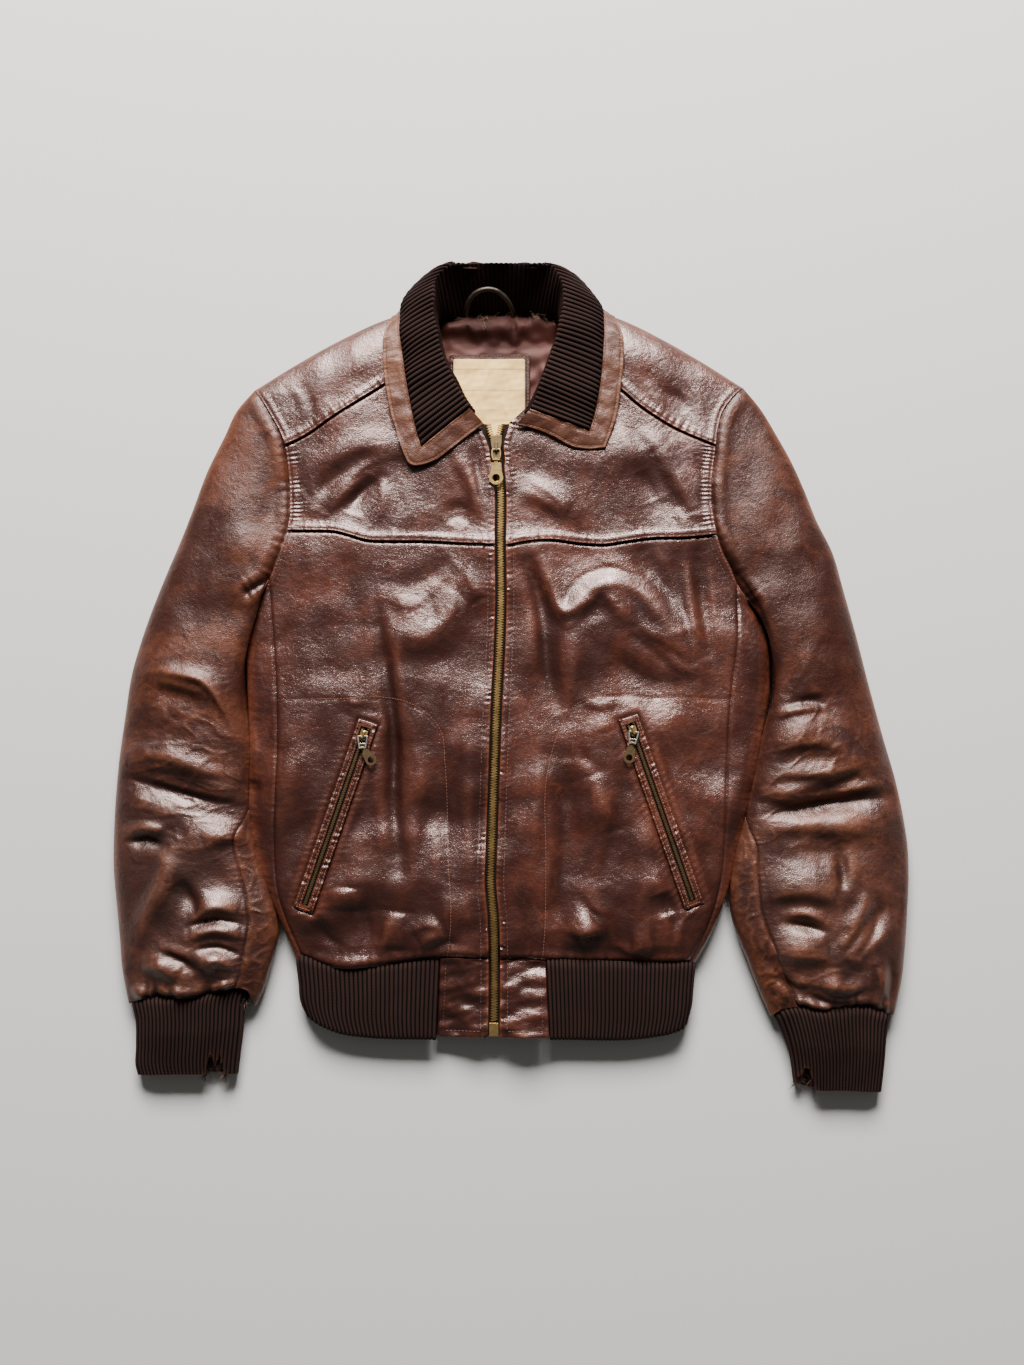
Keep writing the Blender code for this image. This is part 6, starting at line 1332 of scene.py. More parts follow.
def waist_half(label):
    """Half of the band, from its tab to the side fold and 16 mm round it, and the number of each rib."""
    half = SIDES[label]
    sign, seam, fold = half["sign"], half["side_seam"][-1], half["silhouette"][-1]
    edge = Curve(half["rib_edge"])(DOWN[:, 0])[:, :1]
    tab = half["tab"] + sign * (0.4 + 3 * DOWN)
    ribs, share = rib_shares(abs(edge[0, 0] - tab[0, 0]), RIB_PITCH)
    x = tab + (edge - tab) * share
    first_y = np.where(np.abs(x[0]) < abs(seam[0]), half["hem_y"](x[0]),
                       np.interp(sign * x[0], [abs(seam[0]), abs(fold[0])], [seam[1], fold[1]])) + 2.0
    y = down_to(half["rib_foot_y"], x, first_y)
    full = np.interp(y, [-331, -262], [15.5, 18]) + CROWN * (1 - (x / BODY_HALF) ** 2)
    full = full + (0.9 * np.sin(DOWN * math.pi) + 0.7 * waves(x, 0, 60, 101) * (1 - DOWN))
    low = 8.5 - DOWN
    z = low + (full - low) * rounded(np.abs(x - edge) / 15) - 3.2 * hump(DOWN * LOOPS, 3.2)
    z -= 1.5 * (1 - rounded((1 - DOWN) * LOOPS / 2.5))
    depths = np.cumsum([.5, .8, 1.2, 2, 3, 4, 5])
    under_x = edge - sign * depths
    under_y = down_to(half["rib_foot_y"], under_x, back_hem(under_x[0]))
    grid = np.concatenate([xyz(x, y, z), xyz(under_x, under_y, low * (1 - rounded(depths / 11)))], axis=1)
    places = np.concatenate([share * ribs, ribs + depths / RIB_PITCH])
    return (grid, places) if sign < 0 else (grid[:, ::-1], -places[::-1])


(right, right_ribs), (left, left_ribs) = waist_half("right"), waist_half("left")
xs = np.linspace(-160, 130, 60)
foot = lambda x: np.where(x < -11, *(SIDES[label]["rib_foot_y"](x) for label in SIDES)).clip(-331.5) + 1
base = np.concatenate([right, xyz(xs, down_to(foot, xs, back_hem(xs)), 0.0), left], axis=1)
places = np.concatenate([right_ribs, right_ribs[-1] + (xs - xs[0]) / RIB_PITCH, left_ribs])
normal = facing(base, 8, 12, 1)
normal[:, len(right_ribs) - 2:len(places) - len(left_ribs) + 2] = (0, 0, -1)
profile = rib_profile(places, 1)
height = np.where(base[..., 2] < 0.4, 0.0, 1.35) * profile
# hollow, the valleys between the ribs, is painted darker in the material: painted shade
cloth("waist_knit", base + height[..., None] * normal, KNIT, "rib_knit", stride=4, sharp=75,
      inner=base - KNIT * normal, stands_for=("waist_rib",),
      values={"rib": places, "along": DOWN * LOOPS, "hollow": 1 - profile})

# %% Knit the cuffs
for label, half in SIDES.items():
    sign = half["sign"]
    outer_edge, inner_edge = (Curve(half[name])(DOWN[:, 0]) for name in ("cuff_outer", "cuff_inner"))
    width = np.linalg.norm(outer_edge[0] - inner_edge[0])
    outer_edge, inner_edge = outer_edge[:, :1], inner_edge[:, :1]
    ribs, share = rib_shares(width, RIB_PITCH)
    x = outer_edge + (inner_edge - outer_edge) * share
    y = down_to(half["cuff_foot_y"], x, half["sleeve_hem_y"](x[0]) + 2.5)
    loft = np.interp(DOWN, *np.array(CUFF_LOFT).T) + 0.9 * waves(x, 0, 45, 111) * (1 - DOWN)
    low = 10.5 - 3 * DOWN
    z = low + (loft - low) * rounded(share * width / 26) * rounded((1 - share) * width / 26)
    z -= 4.5 * hump(DOWN * LOOPS, 4) * rounded(share * 8) * rounded((1 - share) * 8)
    base = xyz(x, y, z)
    normal = facing(base, 8, 40, 1)
    normal[:, 0], normal[:, -1] = (sign, 0, 0), (-sign, 0, 0)
    profile = rib_profile(share, ribs)
    outer = base + (profile * 1.4 * np.minimum(DOWN * 14, 1))[..., None] * normal
    near, far = half["rip"]
    centre, reach = (near + far) / 2, (far - near) / 2 + 1.2
    seed = 120 if label == "right" else 130
    ragged = 15.5 + 3.2 * waves(x[-1], 0, 5, seed) + 2.0 * waves(x[-1], 0, 2.4, seed + 1)
    bite = ragged * np.sqrt(np.clip(1 - ((x[-1] - centre) / reach) ** 2, 0, 1))
    torn = (y - y[-1]) < bite
    away = np.hypot((np.abs(x - centre) - reach).clip(0), (y - y[-1] - bite).clip(0))
    # hollow, the valleys between the ribs, is painted darker in the material: painted shade
    masked_cloth("cuff_top_%s_knit" % label, np.stack([outer, base - KNIT * normal]),
                 ~(torn[1:, 1:] & torn[1:, :-1]), "rib_knit", flat_on=base, stands_for=("cuff_top_" + label,),
                 values={"rib": share * ribs, "along": DOWN * LOOPS, "hollow": 1 - profile,
                         "frayed": hump(away, 3)})
    depth = np.concatenate([[0], np.cumsum([.4, .8, 1.2, 2, 3, 4])])
    run = np.concatenate([depth / width, np.linspace(.16, .84, 22), 1 - depth[::-1] / width])
    under_x = inner_edge + (outer_edge - inner_edge) * run
    under_y = down_to(half["cuff_foot_y"], under_x, half["sleeve_hem_y"](under_x[0]) + 1.5)
    base = xyz(under_x, under_y, low * (1 - rounded(run * width / 9) * rounded((1 - run) * width / 9)))
    normal = facing(base, 8, 12, -1)
    normal[:, 0], normal[:, -1] = (-sign, 0, 0), (sign, 0, 0)
    # A hollow of .4 paints the whole underside about half dark: painted shade under the cuff
    cloth("cuff_under_%s_knit" % label, base, KNIT, "rib_knit", stride=2, inner=base - KNIT * normal,
          up=(0, 0, -1), stands_for=("cuff_under_" + label,),
          values={"rib": run * ribs, "along": DOWN * LOOPS, "hollow": .4})
    half["torn"] = (centre, reach, x[-1], y[-1], bite)

# %% [markdown]
# ## Collar
# The collar stands up from the neck seam, rolls over and falls to its edge. Seen square to its length its
# section is a quarter ellipse up and another down. The rib is knitted along that section, so the ribs
# run from the neck seam over the roll to the leather border.

# %% The collar's form
def with_height(points, above):
    """Points with three numbers as they are, and the others at a height above the front."""
    flat = np.array([p[:2] for p in points], float)
    top = body_plain(flat[:, 0], flat[:, 1]) + above
    return np.array([[*p[:2], p[2] if len(p) == 3 else z] for p, z in zip(points, top)])


def body_plain(x, y):
    """The body's form with its large folds only."""
    full = BODY_TOP + CROWN * (1 - (x / BODY_HALF) ** 2) + folds(x, y, FOLDS)
    return BODY_EDGE + (full - BODY_EDGE) * inside_folds(x, y, SIDE_ROUND, SHOULDER_ROUND)


def collar_curves():
    """Curves of the neck seam, the crest and both outer edges, all on the crest's own spacing."""
    whole = lambda part: COLLAR["right"][part] + COLLAR["back"][part] + COLLAR["left"][part][::-1]
    knots = Curve(whole("crest")).knots
    return {part: Curve(with_height(whole(part), above), knots)
            for part, above in (("seam", 1.0), ("crest", 0), ("rib", 5.0), ("leather", 4.0))}


def collar_face(place, turn):
    """Point of the rib: turn runs from -1 at the neck seam over the crest at 0 to 1 at the outer edge."""
    place, turn = np.broadcast_arrays(place, turn)
    foot, crest, edge = (curves[part](place) for part in ("seam", "crest", "rib"))
    inward = np.abs(turn) * math.pi / 2
    rising = turn < 0
    other = np.where(rising[..., None], foot, edge)
    share = np.where(rising, 1 - np.cos(inward), np.sin(inward))[..., None]
    spot = crest + (other - crest) * share
    z = other[..., 2] + (crest[..., 2] - other[..., 2]) * np.cos(inward)
    return with_z(spot[..., :2], z)


def above_body(grid, gap):
    """Lift points that would sink into the front: at least a gap above it."""
    x, y = grid[..., 0], grid[..., 1]
    inside = (shoulder_y(x) - y > 1) & (np.abs(x + 10) > 26)
    floor = np.where(inside, body_plain(x, y) + gap, -99)
    grid = grid.copy()
    grid[..., 2] = np.maximum(grid[..., 2], floor)
    return grid


curves = collar_curves()
crest_line = curves["crest"](np.linspace(0, 1, 300))
collar_length = run_of(crest_line)[-1]
ribs, share = rib_shares(collar_length, COLLAR_RIB_PITCH, 2)
turns = np.concatenate([np.linspace(-1, 0, 20), np.linspace(0, 1, 30)[1:]])[:, None]
base = collar_face(share, turns)
wobble = 0.7 * waves(share * collar_length, turns * 20, 38, 141)
along = collar_face(share + .004, turns) - collar_face(share - .004, turns)
across = collar_face(share, np.minimum(turns + .04, 1)) - collar_face(share, np.maximum(turns - .04, -1))
slope = np.cross(along, across)
seam_way = (curves["seam"](share) - curves["crest"](share)) * (1, 1, 0)
fall_way = (curves["rib"](share) - curves["crest"](share)) * (1, 1, 0)
lean = np.sin(np.abs(turns) * math.pi / 2)[..., None]
square = unit(np.cross(np.gradient(curves["crest"](share), axis=0), UP) * (1, 1, 0))
square = square * np.sign(np.sum(-seam_way * square, axis=-1, keepdims=True))
stand = turns[..., None] < 0
plain = unit(np.where(stand, -square, square) * lean + (1 - lean) * UP)
slope = unit(slope * np.sign(np.sum(slope * plain, axis=-1, keepdims=True)))
wide = np.clip(np.linalg.norm(np.where(stand, seam_way, fall_way), axis=-1, keepdims=True) / 14, 0, 1)
normal = unit(wide * slope + (1.02 - wide) * plain)
for end in (0, -1):
    run = unit((base[-1, end] - base[20, end]) * (1, 1, 0))
    square = np.array([-run[1], run[0], 0])
    normal[:, end] = unit(normal[:, end] - normal[:, end] @ square[:, None] * square)
hold = np.minimum(1, (1 - np.abs(turns)) * 4)
base = base + (wobble * hold)[..., None] * normal
base = np.where(turns[..., None] > 0, above_body(base, 4.2), base)
profile = rib_profile(share, ribs)
fade = np.minimum(1, (1 - turns) * 9) * np.minimum(1, (turns + 1) * 9 + .2)
outer = base + (1.5 * profile * fade)[..., None] * normal
roll, fall = (np.linalg.norm((curves["rib"](share) - curves[part](share))[:, :2], axis=-1, keepdims=True)
              for part in ("seam", "crest"))
inner = base - np.clip(np.minimum(roll * .35, fall * .45), 0.7, 2.8) * normal
# hollow paints the valleys between the ribs darker, as painted shade; on the stand, which lies in shade, at
# .55 of that
values = {"rib": share * ribs, "along": turns * 55, "hollow": (1 - profile) * np.where(turns > 0, 1, .55)}
cloth("collar_knit", outer, 2.8, "rib_knit", stride=4, inner=inner, stands_for=("collar_rib",),
      values=values, sharp=75, at=(.8, .12), flat_on=base)

# %% [markdown]
# ## The collar's leather border
# A strip of leather runs round the fall of the collar and turns along both front ends, with a folded
# edge on each side and a stitch row inside each edge.

# %% Border
def border_lines():
    """Inner and outer edge of the border, from the right front corner round the back to the left one.
    Each outer corner is rounded: (1 - t)^2 first + 2 t (1 - t) corner + t^2 last."""
    places = np.linspace(0, 1, 420)
    inner_edge, outer_edge = collar_face(places, np.ones(420)), curves["leather"](places)
    turn = np.linspace(0, .78, 34)
    ends = {name: (collar_face(np.full(34, end), turn),
                   with_height(Curve(COLLAR[name]["front_edge"])(turn / .985 * .80 / .79).tolist(), 4.0))
            for name, end in (("right", 0.0), ("left", 1.0))}
    inner_line = np.concatenate([ends["right"][0], inner_edge, ends["left"][0][::-1]])
    outer_line = np.concatenate([ends["right"][1], outer_edge, ends["left"][1][::-1]])
    for corner, reach in ((34, 6), (len(outer_line) - 34, 5)):
        t = np.linspace(0, 1, 2 * reach + 1)[:, None]
        first, last = outer_line[corner - reach], outer_line[corner + reach]
        outer_line[corner - reach:corner + reach + 1] = (
            (1 - t) ** 2 * first + 2 * t * (1 - t) * outer_line[corner] + t ** 2 * last)
    return inner_line, outer_line


inner_line, outer_line = border_lines()
inner_line = inner_line + unit(outer_line - inner_line) * 0.6
shares = steps(22, 1.3)
line = inner_line + (outer_line - inner_line) * shares[:, None, None]
normal = grid_normals(line)
normal *= np.sign(normal[4:5, :, 2:] + 1e-9)
run = run_of(line[len(shares) // 2])
wide = np.linalg.norm(outer_line - inner_line, axis=-1)
from_inner, from_outer = shares[:, None] * wide, (1 - shares[:, None]) * wide
height = (0.30 * waves(run, from_inner, 24, 151) + 0.07 * waves(run, from_inner, 9, 152)
          + 0.20 * puckers(run, 5.2, 153) * np.exp(-from_outer / 5))
for distance in (from_inner, from_outer):
    height = height - 0.45 * hump(distance, .8, 2.6) - 1.0 * (1 - rounded((distance + .05) / 1.3))
grid = above_body(line + height[..., None] * normal, 3.0)
grid[..., 2] = np.maximum(grid[..., 2], 0.4)
values = {**hide_values(grid), "worn": np.maximum(hump(from_outer, 2.4), 0.8 * hump(from_inner, 1.5))}
cloth("collar_border_leather", grid, 1.8, "collar_leather", stride=3, stands_for=("collar_border",),
      values=values, inner=grid - 1.8 * normal)
border_grid, border_normal = grid, normal

# %% [markdown]
# ## Inside the neck
# Through the neck one sees the back layer's satin lining, a leather patch with a pale label stitched to
# it, and a hanging loop over the seam. The satin is torn along that seam, where threads hang loose.

# %% Lining, patch and label
PULLS = fold_lines("""
    5 1: -62 322, -50 306, -34 298; 5 1.1: 40 322, 32 305, 22 296; 3.5 .9: -40 330, -32 318, -28 306;
    3.5 .8: 10 331, 4 320, 2 307; 6 2.4: -60 329, -30 325, 0 325, 40 331; 4 -1.3: -52 313, -20 309, 34 314;
    5 1: 30 296, 34 270, 28 240; 4 .9: -66 296, -64 270, -58 244""")


def lining_height(x, y):
    """Satin lies in soft diagonal pulls: 0.8 mm swells, sharper towards the neck seam."""
    height = 3.9 + 2.8 * eased((y - 318) / 17) + 0.5 * waves(x, y, 21, 161) + folds(x, y, PULLS)
    return np.maximum(height + 0.35 * puckers(x, 5.1, 162) * hump(335, 9, y), 3.5)


def flat_grid(right, left, top, bottom, pitch, height, corner=2.0):
    """A rectangle's grid with its corners rounded: each row is drawn in near the corners by
    r - sqrt(r^2 - d^2)."""
    ys = top - (top - bottom) * steps(top - bottom, pitch)
    share = steps(left - right, pitch)
    d = np.clip(corner - np.minimum(top - ys, ys - bottom), 0, corner)
    cut = corner - np.sqrt(corner ** 2 - d ** 2)
    cut = cut[:, None]
    x, y = np.broadcast_arrays(right + cut + (left - right - 2 * cut) * share, ys[:, None])
    return xyz(x, y, height(x, y))


def edge_distance(x, y, right, left, top, bottom):
    return np.minimum(np.minimum(x - right, left - x), np.minimum(top - y, y - bottom))


ys = np.linspace(335, 206, 66)
sides = [as_function(LINING_EDGES[name], 1)(ys) for name in ("right", "left")]
x = sides[0][:, None] + (sides[1] - sides[0])[:, None] * np.linspace(0, 1, 70)
seam = collar_curves()["seam"](np.linspace(0, 1, 300))
top = np.interp(x, seam[90:210, 0], seam[90:210, 1] + 3.0)
y = 206 + (ys[:, None] - 206) / 129 * (top - 206)
cloth("lining_satin", xyz(x, y, lining_height(x, y)), 0.8, "lining_satin", stands_for=("lining",))


def patch_height(x, y):
    """The patch lies on the lining: domed by its padding, pinched at the stitch row 2 mm inside."""
    rim = edge_distance(x, y, *LABEL_PATCH)
    return (5.6 + 0.25 * waves(x, y, 33, 163) - 0.45 * hump(rim, .7, 2.2)
            - 0.9 * (1 - rounded((rim + .05) / 1.2)) + 0.12 * puckers(x + y, 4.5, 164) * np.exp(-rim / 3))


grid = flat_grid(*LABEL_PATCH, 1.5, patch_height, 3.0)
rim = edge_distance(grid[..., 0], grid[..., 1], *LABEL_PATCH)
cloth("label_patch_leather", grid, 1.1, "patch_leather", stands_for=("label_patch",),
      values={"proud": .3 + 0 * rim, "worn": .25 * np.exp(-rim / 1.2)})


def label_height(x, y):
    rim = edge_distance(x, y, *LABEL)
    return (6.7 + 0.25 * waves(x, y, 33, 163) + 0.10 * waves(x, y, 9, 165)
            - 0.55 * (1 - rounded((rim + .05) / 1.0)))


grid = flat_grid(*LABEL, .8, label_height, 2.0)
x, y = grid[..., 0], grid[..., 1]
line_marks = sum(depth * hump(y, .55, at) for at, depth in ((288, .9), (267, .8), (248, .5), (238, .4)))
cloth("label_blank", grid, 0.9, "label_leather", stands_for=("label",),
      values={"pressed": line_marks, "worn": np.exp(-edge_distance(x, y, *LABEL) / 1.3)})

# %% [markdown]
# A cord of leather is a tube: rings of points square to a path. The hanging loop is one, and so are the
# loose threads. A stitch is a short one with rings of its own.

# %% Tubes
def tube_grid(path, radius, count):
    """Rings of points square to a path: path + radius (cos a side + sin a up)."""
    along = unit(np.gradient(path, axis=0))
    lead = np.array([0.13, 0.21, 1.0]) if abs(along[len(along) // 2, 2]) < .9 else np.array([1.0, 0.1, 0])
    side = unit(np.cross(along, lead))
    up = np.cross(side, along)
    angles = np.linspace(0, 2 * math.pi, count, endpoint=False)
    radius = np.broadcast_to(np.asarray(radius, float), len(path))[:, None, None]
    across, high = np.cos(angles)[:, None], np.sin(angles)[:, None]
    return path[:, None] + radius * (across * side[:, None] + high * up[:, None])


def tube_faces(rows, count, start=0):
    """Sides of one tube, and a fan over each end; the first and last ring are one small ring each."""
    number = start + np.arange(rows * count).reshape(rows, count)
    around = np.roll(number, -1, axis=1)
    sides = np.stack([number[:-1], number[1:], around[1:], around[:-1]], axis=-1).reshape(-1, 4).tolist()
    return sides + [number[0].tolist(), number[-1, ::-1].tolist()]


def tubes(name, paths, radius, count, finish, **more):
    """Many tubes in one mesh; paths is a list of point lines, radius a number or one for each point."""
    points, faces = [], []
    for path in paths:
        rings = tube_grid(path, radius(path) if callable(radius) else radius, count)
        faces += tube_faces(len(path), count, sum(len(p) for p in points))
        points.append(rings.reshape(-1, 3))
    return make(name, np.concatenate(points), faces, finish, **more)


route = Curve(LOOP_ROUTE)
path = resampled(route(np.linspace(0, 1, 200)), np.linspace(0, 1, 60))
ripple = 1 + 0.03 * np.sin(run_of(path) * 2 * math.pi / 3.1) + 0.02 * waves(run_of(path), 0, 6, 171)
loop_ring = tube_grid(path, LOOP_RADIUS * ripple, 18)
make("hanger_loop_leather", loop_ring.reshape(-1, 3), tube_faces(60, 18), "loop_leather",
     stands_for=("hanger_loop",),
     values={"proud": np.full(60 * 18, .42), "worn": np.full(60 * 18, .05)})

# %% [markdown]
# ## Main zip
# The tape is woven cloth under both fronts. Brass teeth are clamped on to its two edges, each side half
# a pitch from the other, and above the slider the two rows part in a V with the tape.

# %% Zip tape
def chain_height(y):
    """Height of the tape beside the zip: 2.4 mm of leather and 1 mm of play below the fronts."""
    sides = zip_x(y) - 9, zip_x(y) + 9
    full = plain_top(y) + CROWN * .99
    low = np.minimum(*(full + folds(x, y, FOLDS) for x in sides))
    edge = body_edge(y)
    lift = np.minimum(*(inside_folds(x, y, SIDE_ROUND, SHOULDER_ROUND) for x in sides))
    return edge + (low - edge) * lift - 3.4 - 1.2 * eased((-235 - y) / 8) * eased((y + 290) / 8)


def zip_part(y):
    return 5.0 * eased((y - 203) / 24)


for label, sign in (("right", -1), ("left", 1)):
    ys = np.linspace(229, -329, 380)[:, None]
    near, far = 1.1 + zip_part(ys), 11.5 + zip_part(ys)
    share = np.array([0, .06, .15, .3, .5, .75, 1.0])
    x, y = np.broadcast_arrays(zip_x(ys) + sign * (near + (far - near) * share), ys)
    z = chain_height(y) + 0.35 * (1 - eased((np.abs(share * 10.4 - 1.0)) / 1.4))
    covered = eased((np.abs(x - zip_x(y)) - 3) / 3)
    z = z - covered * np.clip(z - body_top(x, y) + 4.2, 0, None)
    cloth("zip_tape_%s_woven" % label, xyz(x, y, z), 0.8, "zip_tape", stride=2, stands_for=("zip_tape",))

# %% [markdown]
# ## Copies of small shapes
# Teeth and stitches are one small shape each, set down many times. Each copy has its own place and its
# own three axes, so that it follows the seam or the tape that it sits on.

# %% Copies
def copies(name, template, faces, spots, frames, finish, **more):
    """One mesh of many copies: spot + x X + y Y + z Z for each template point (x, y, z)."""
    points = spots[:, None] + np.einsum("pk,nkj->npj", np.asarray(template, float), frames)
    size = len(template)
    faces = [[int(corner) + n * size for corner in face] for n in range(len(spots)) for face in faces]
    return make(name, points.reshape(-1, 3), faces, finish, **more)


def frames_along(line, ups):
    """Axes at each point of a line: X along it, Z the way up, Y across."""
    along = unit(np.gradient(line, axis=0))
    up = unit(ups - np.sum(ups * along, axis=-1, keepdims=True) * along)
    return np.stack([along, np.cross(up, along), up], axis=1)


STITCH = ((-1, .35, -.75), (-.72, .9, -.2), (0, 1, .12), (.72, .9, -.2), (1, .35, -.75))


def capsule(length, radius, around=6):
    """A stitch: a bar along X that is thick in the middle and dips at both ends."""
    angles = np.linspace(0, 2 * math.pi, around, endpoint=False)
    points = [(share * length / 2, thick * radius * math.cos(a), radius * (thick * math.sin(a) + dip))
              for share, thick, dip in STITCH for a in angles]
    return points, tube_faces(len(STITCH), around)


def stitched(lines, pitch=3.6, gap=.5):
    """Centres and axes of stitches along lines, each line a pair: points in space, ways up."""
    spots, frames = [], []
    for line, ups in lines:
        run = run_of(line)
        places = np.arange(gap + pitch / 2, run[-1] - gap, pitch)
        if len(places) < 3:
            continue
        dense = at_places(line, run, places)
        up = at_places(np.broadcast_to(ups, line.shape), run, places)
        spots.append(dense)
        frames.append(frames_along(dense, up))
    return np.concatenate(spots), np.concatenate(frames)


def stitches(name, lines, finish="brown_thread", pitch=3.6, length=3.0, radius=.33, **more):
    spots, frames = stitched(lines, pitch)
    print(name, len(spots), "stitches")
    return copies(name, *capsule(length, radius), spots, frames, finish, **more)

# %% [markdown]
# A tooth is clamped to the tape's edge at its wide end and grips with its narrow head. Its outline is an
# extrusion with a smaller top, 26 faces in all. The right row's teeth stand half a pitch from the left's.

# %% Zip teeth
def tooth(length, wide, narrow, tall):
    """Outline from the clamp at x = 0 to the head at x = length, drawn in by 0.25 mm at the top."""
    half = np.array([(0, wide), (.35, wide), (.5, narrow), (.85, narrow), (1, narrow * .55)])
    outline = np.concatenate([half * (length, -1), half[::-1] * (length, 1)])
    middle = np.array([length * .5, 0])
    rings = [np.column_stack([ring, np.full(10, z)]) for ring, z in
             ((outline, 0), (outline, tall - .35), (middle + (outline - middle) * .8, tall))]
    return np.concatenate(rings), tube_faces(3, 10)


def chain(name, centre, tape_height, shape, places, part, finish, stands_for):
    """Two rows of teeth along a zip's middle line; centre gives a plan point at a distance down it,
    part how far each row stands to its side, and places the first and last distance and the pitch."""
    first, last, pitch = places
    spots, frames = [], []
    for side, start in ((-1, 0.0), (1, pitch / 2)):
        down = np.arange(first + start, last, pitch)
        spot, along, across = centre(down)
        away = part(down)
        lean = unit(along + across * (side * np.gradient(away, down))[:, None])
        inward = unit(xyz(-lean[:, 1], lean[:, 0]))
        inward *= np.sign(np.sum(inward * across, axis=1, keepdims=True)) * -side
        plan = spot + across * (side * (away + shape[0] * .62))[:, None]
        spots.append(np.column_stack([plan, tape_height(plan)]))
        x_axis = np.column_stack([inward, np.zeros(len(down))])
        z_axis = np.broadcast_to(UP, x_axis.shape)
        frames.append(np.stack([x_axis, np.cross(z_axis, x_axis), z_axis], axis=1))
    spots = np.concatenate(spots)
    print(name, len(spots), "teeth")
    copies(name, *tooth(*shape), spots, np.concatenate(frames), finish, stands_for=(stands_for,))


def main_centre(down):
    y = 229 - down
    along = unit(xyz(zip_x(y - 1) - zip_x(y + 1), -2.0))
    return xyz(zip_x(y), y), along, xyz(-along[:, 1], along[:, 0])


chain("zip_chain_teeth", main_centre, lambda plan: chain_height(plan[:, 1]) + .1, (5.0, .62, .46, 2.3),
      (2.0, 229 + 316, 2.35), lambda down: zip_part(229 - down), "tooth_brass", "zip_chain")

# %% [markdown]
# ## Pockets
# Each pocket is a slit with a zip, framed by a narrow welt of leather with a stitch row beside the
# window and another near its outer edge. Years of hands have wrinkled both welts and rubbed their edges.

# %% Pocket welts, tape and teeth
def window_half(down):
    return WINDOW_HALF + (WINDOW_TOP_HALF - WINDOW_HALF) * (1 - eased((down - 17) / 5))


def welt_height(label, plan, down, aside, half_window):
    """Height of a welt above the front: padded lips, two stitch grooves, cross wrinkles, thin edges."""
    from_window, from_edge = np.abs(aside) - half_window, WELT_HALF - np.abs(aside)
    length = pocket_frame(label)[2]
    end = np.minimum(down, length - down)
    swell = 1.5 + 0.55 * hump(from_window, 1.4, 2.9) + 0.25 * hump(from_window, .8)
    groove = 0.40 * hump(from_window, .55, 1.35) + 0.30 * hump(from_edge, .5, 1.4)
    seed = 181 if label == "right" else 187
    wrinkle = (0.36 * puckers(down + .35 * aside, 4.9, seed) + 0.24 * waves(down, aside * .6, 8, seed + 2)
               + 0.05 * waves(down, aside, 3.6, seed + 3)) * np.clip(from_window / 1.5, 0, 1)
    thin = 0.8 * (1 - rounded((from_edge + .05) / 1.1)) + 0.5 * (1 - rounded((end + .05) / 1.2))
    return body_top(plan[..., 0], plan[..., 1]) + swell - groove + wrinkle - thin


for label in ("right", "left"):
    top, along, length, across = pocket_frame(label)
    down = steps(length, 1.25) * length
    edge_share = np.array([0, .05, .13, .25, .38, .5, .61, .72, .82, .91, .97, 1])
    half_window = window_half(down)[:, None]
    aside = np.concatenate([-WELT_HALF + (WELT_HALF - half_window) * edge_share,
                            half_window * np.array([-.5, 0, .5]),
                            half_window + (WELT_HALF - half_window) * (1 - edge_share[::-1])], axis=1)
    plan = top + down[:, None, None] * along + aside[..., None] * across
    grid = with_z(plan, welt_height(label, plan, down[:, None], aside, half_window))
    middle = (down[:-1] + down[1:]) / 2
    open_rows = (middle > 5) & (middle < length - 5)
    cells = np.ones((len(down) - 1, aside.shape[1] - 1), bool)
    cells[np.ix_(open_rows, np.arange(11, 15))] = False
    values = hide_values(grid)
    window = np.abs(aside) - half_window
    values["worn"] = np.maximum(.75 * hump(np.maximum(window, 0), .7),
                                .6 * hump(WELT_HALF - np.abs(aside), .9))
    masked_cloth("pocket_welt_%s_leather" % label, np.stack([grid, grid - (0, 0, 1.3)]), cells,
                 "jacket_leather", stands_for=("pocket_welt_" + label,), values=values)
    down = np.linspace(3.5, length - 3.5, 110)[:, None, None]
    plan = top + down * along + (np.linspace(-1, 1, 9) * 5.6)[:, None] * across
    cloth("pocket_tape_%s_woven" % label, with_z(plan, body_top(plan[..., 0], plan[..., 1]) - .75), 0.5,
          "zip_tape", stride=2)

    def pocket_centre(down, top=top, along=along, across=across):
        spot = top + down[:, None] * along
        return spot, np.broadcast_to(along, spot.shape), np.broadcast_to(across, spot.shape)

    chain("pocket_zip_%s_teeth" % label, pocket_centre, lambda plan: body_top(plan[:, 0], plan[:, 1]) - .6,
          (3.0, .62, .48, 1.7), (6.0, length - 6.0, 2.1), lambda down: 2.6 * (1 - eased((down - 6) / 9)),
          "dark_brass", "pocket_zip_" + label)

# %% [markdown]
# ## Sliders, links and pulls
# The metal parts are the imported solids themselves, so that they swing on their joints. Each gets a
# narrow rounding on its edges, so that they catch the light, and its plating.

# %% Metal finishes
METAL_EDGE = 0.00022        # rounding on a metal edge, in metres
METAL = {"zip_slider": "dark_brass", "zip_link": "brass", "zip_pull": "brass", "zip_box": "tooth_brass"}
for label in ("right", "left"):
    METAL["pocket_slider_" + label] = "brass"
    METAL["pocket_link_" + label] = "nickel"
    METAL["pocket_pull_" + label] = "dark_brass"
for name, finish in METAL.items():
    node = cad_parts[name]
    for slot in node.material_slots:
        slot.link = "OBJECT"
        slot.material = FINISH[finish]
    weld = node.modifiers.new("weld", "WELD")
    weld.merge_threshold = 0.00001
    bevel = node.modifiers.new("bevel", "BEVEL")
    bevel.width = METAL_EDGE
    bevel.segments = 2
    bevel.limit_method = "ANGLE"
    bevel.angle_limit = math.radians(40)
print(len(METAL), "metal parts")

# %% [markdown]
# ## Stitches
# Every seam that was measured above now gets its thread: bars 3 mm long in rows, their ends sunk into
# the leather. Dark brown thread holds the panels, and tan thread has faded on pockets and collar.

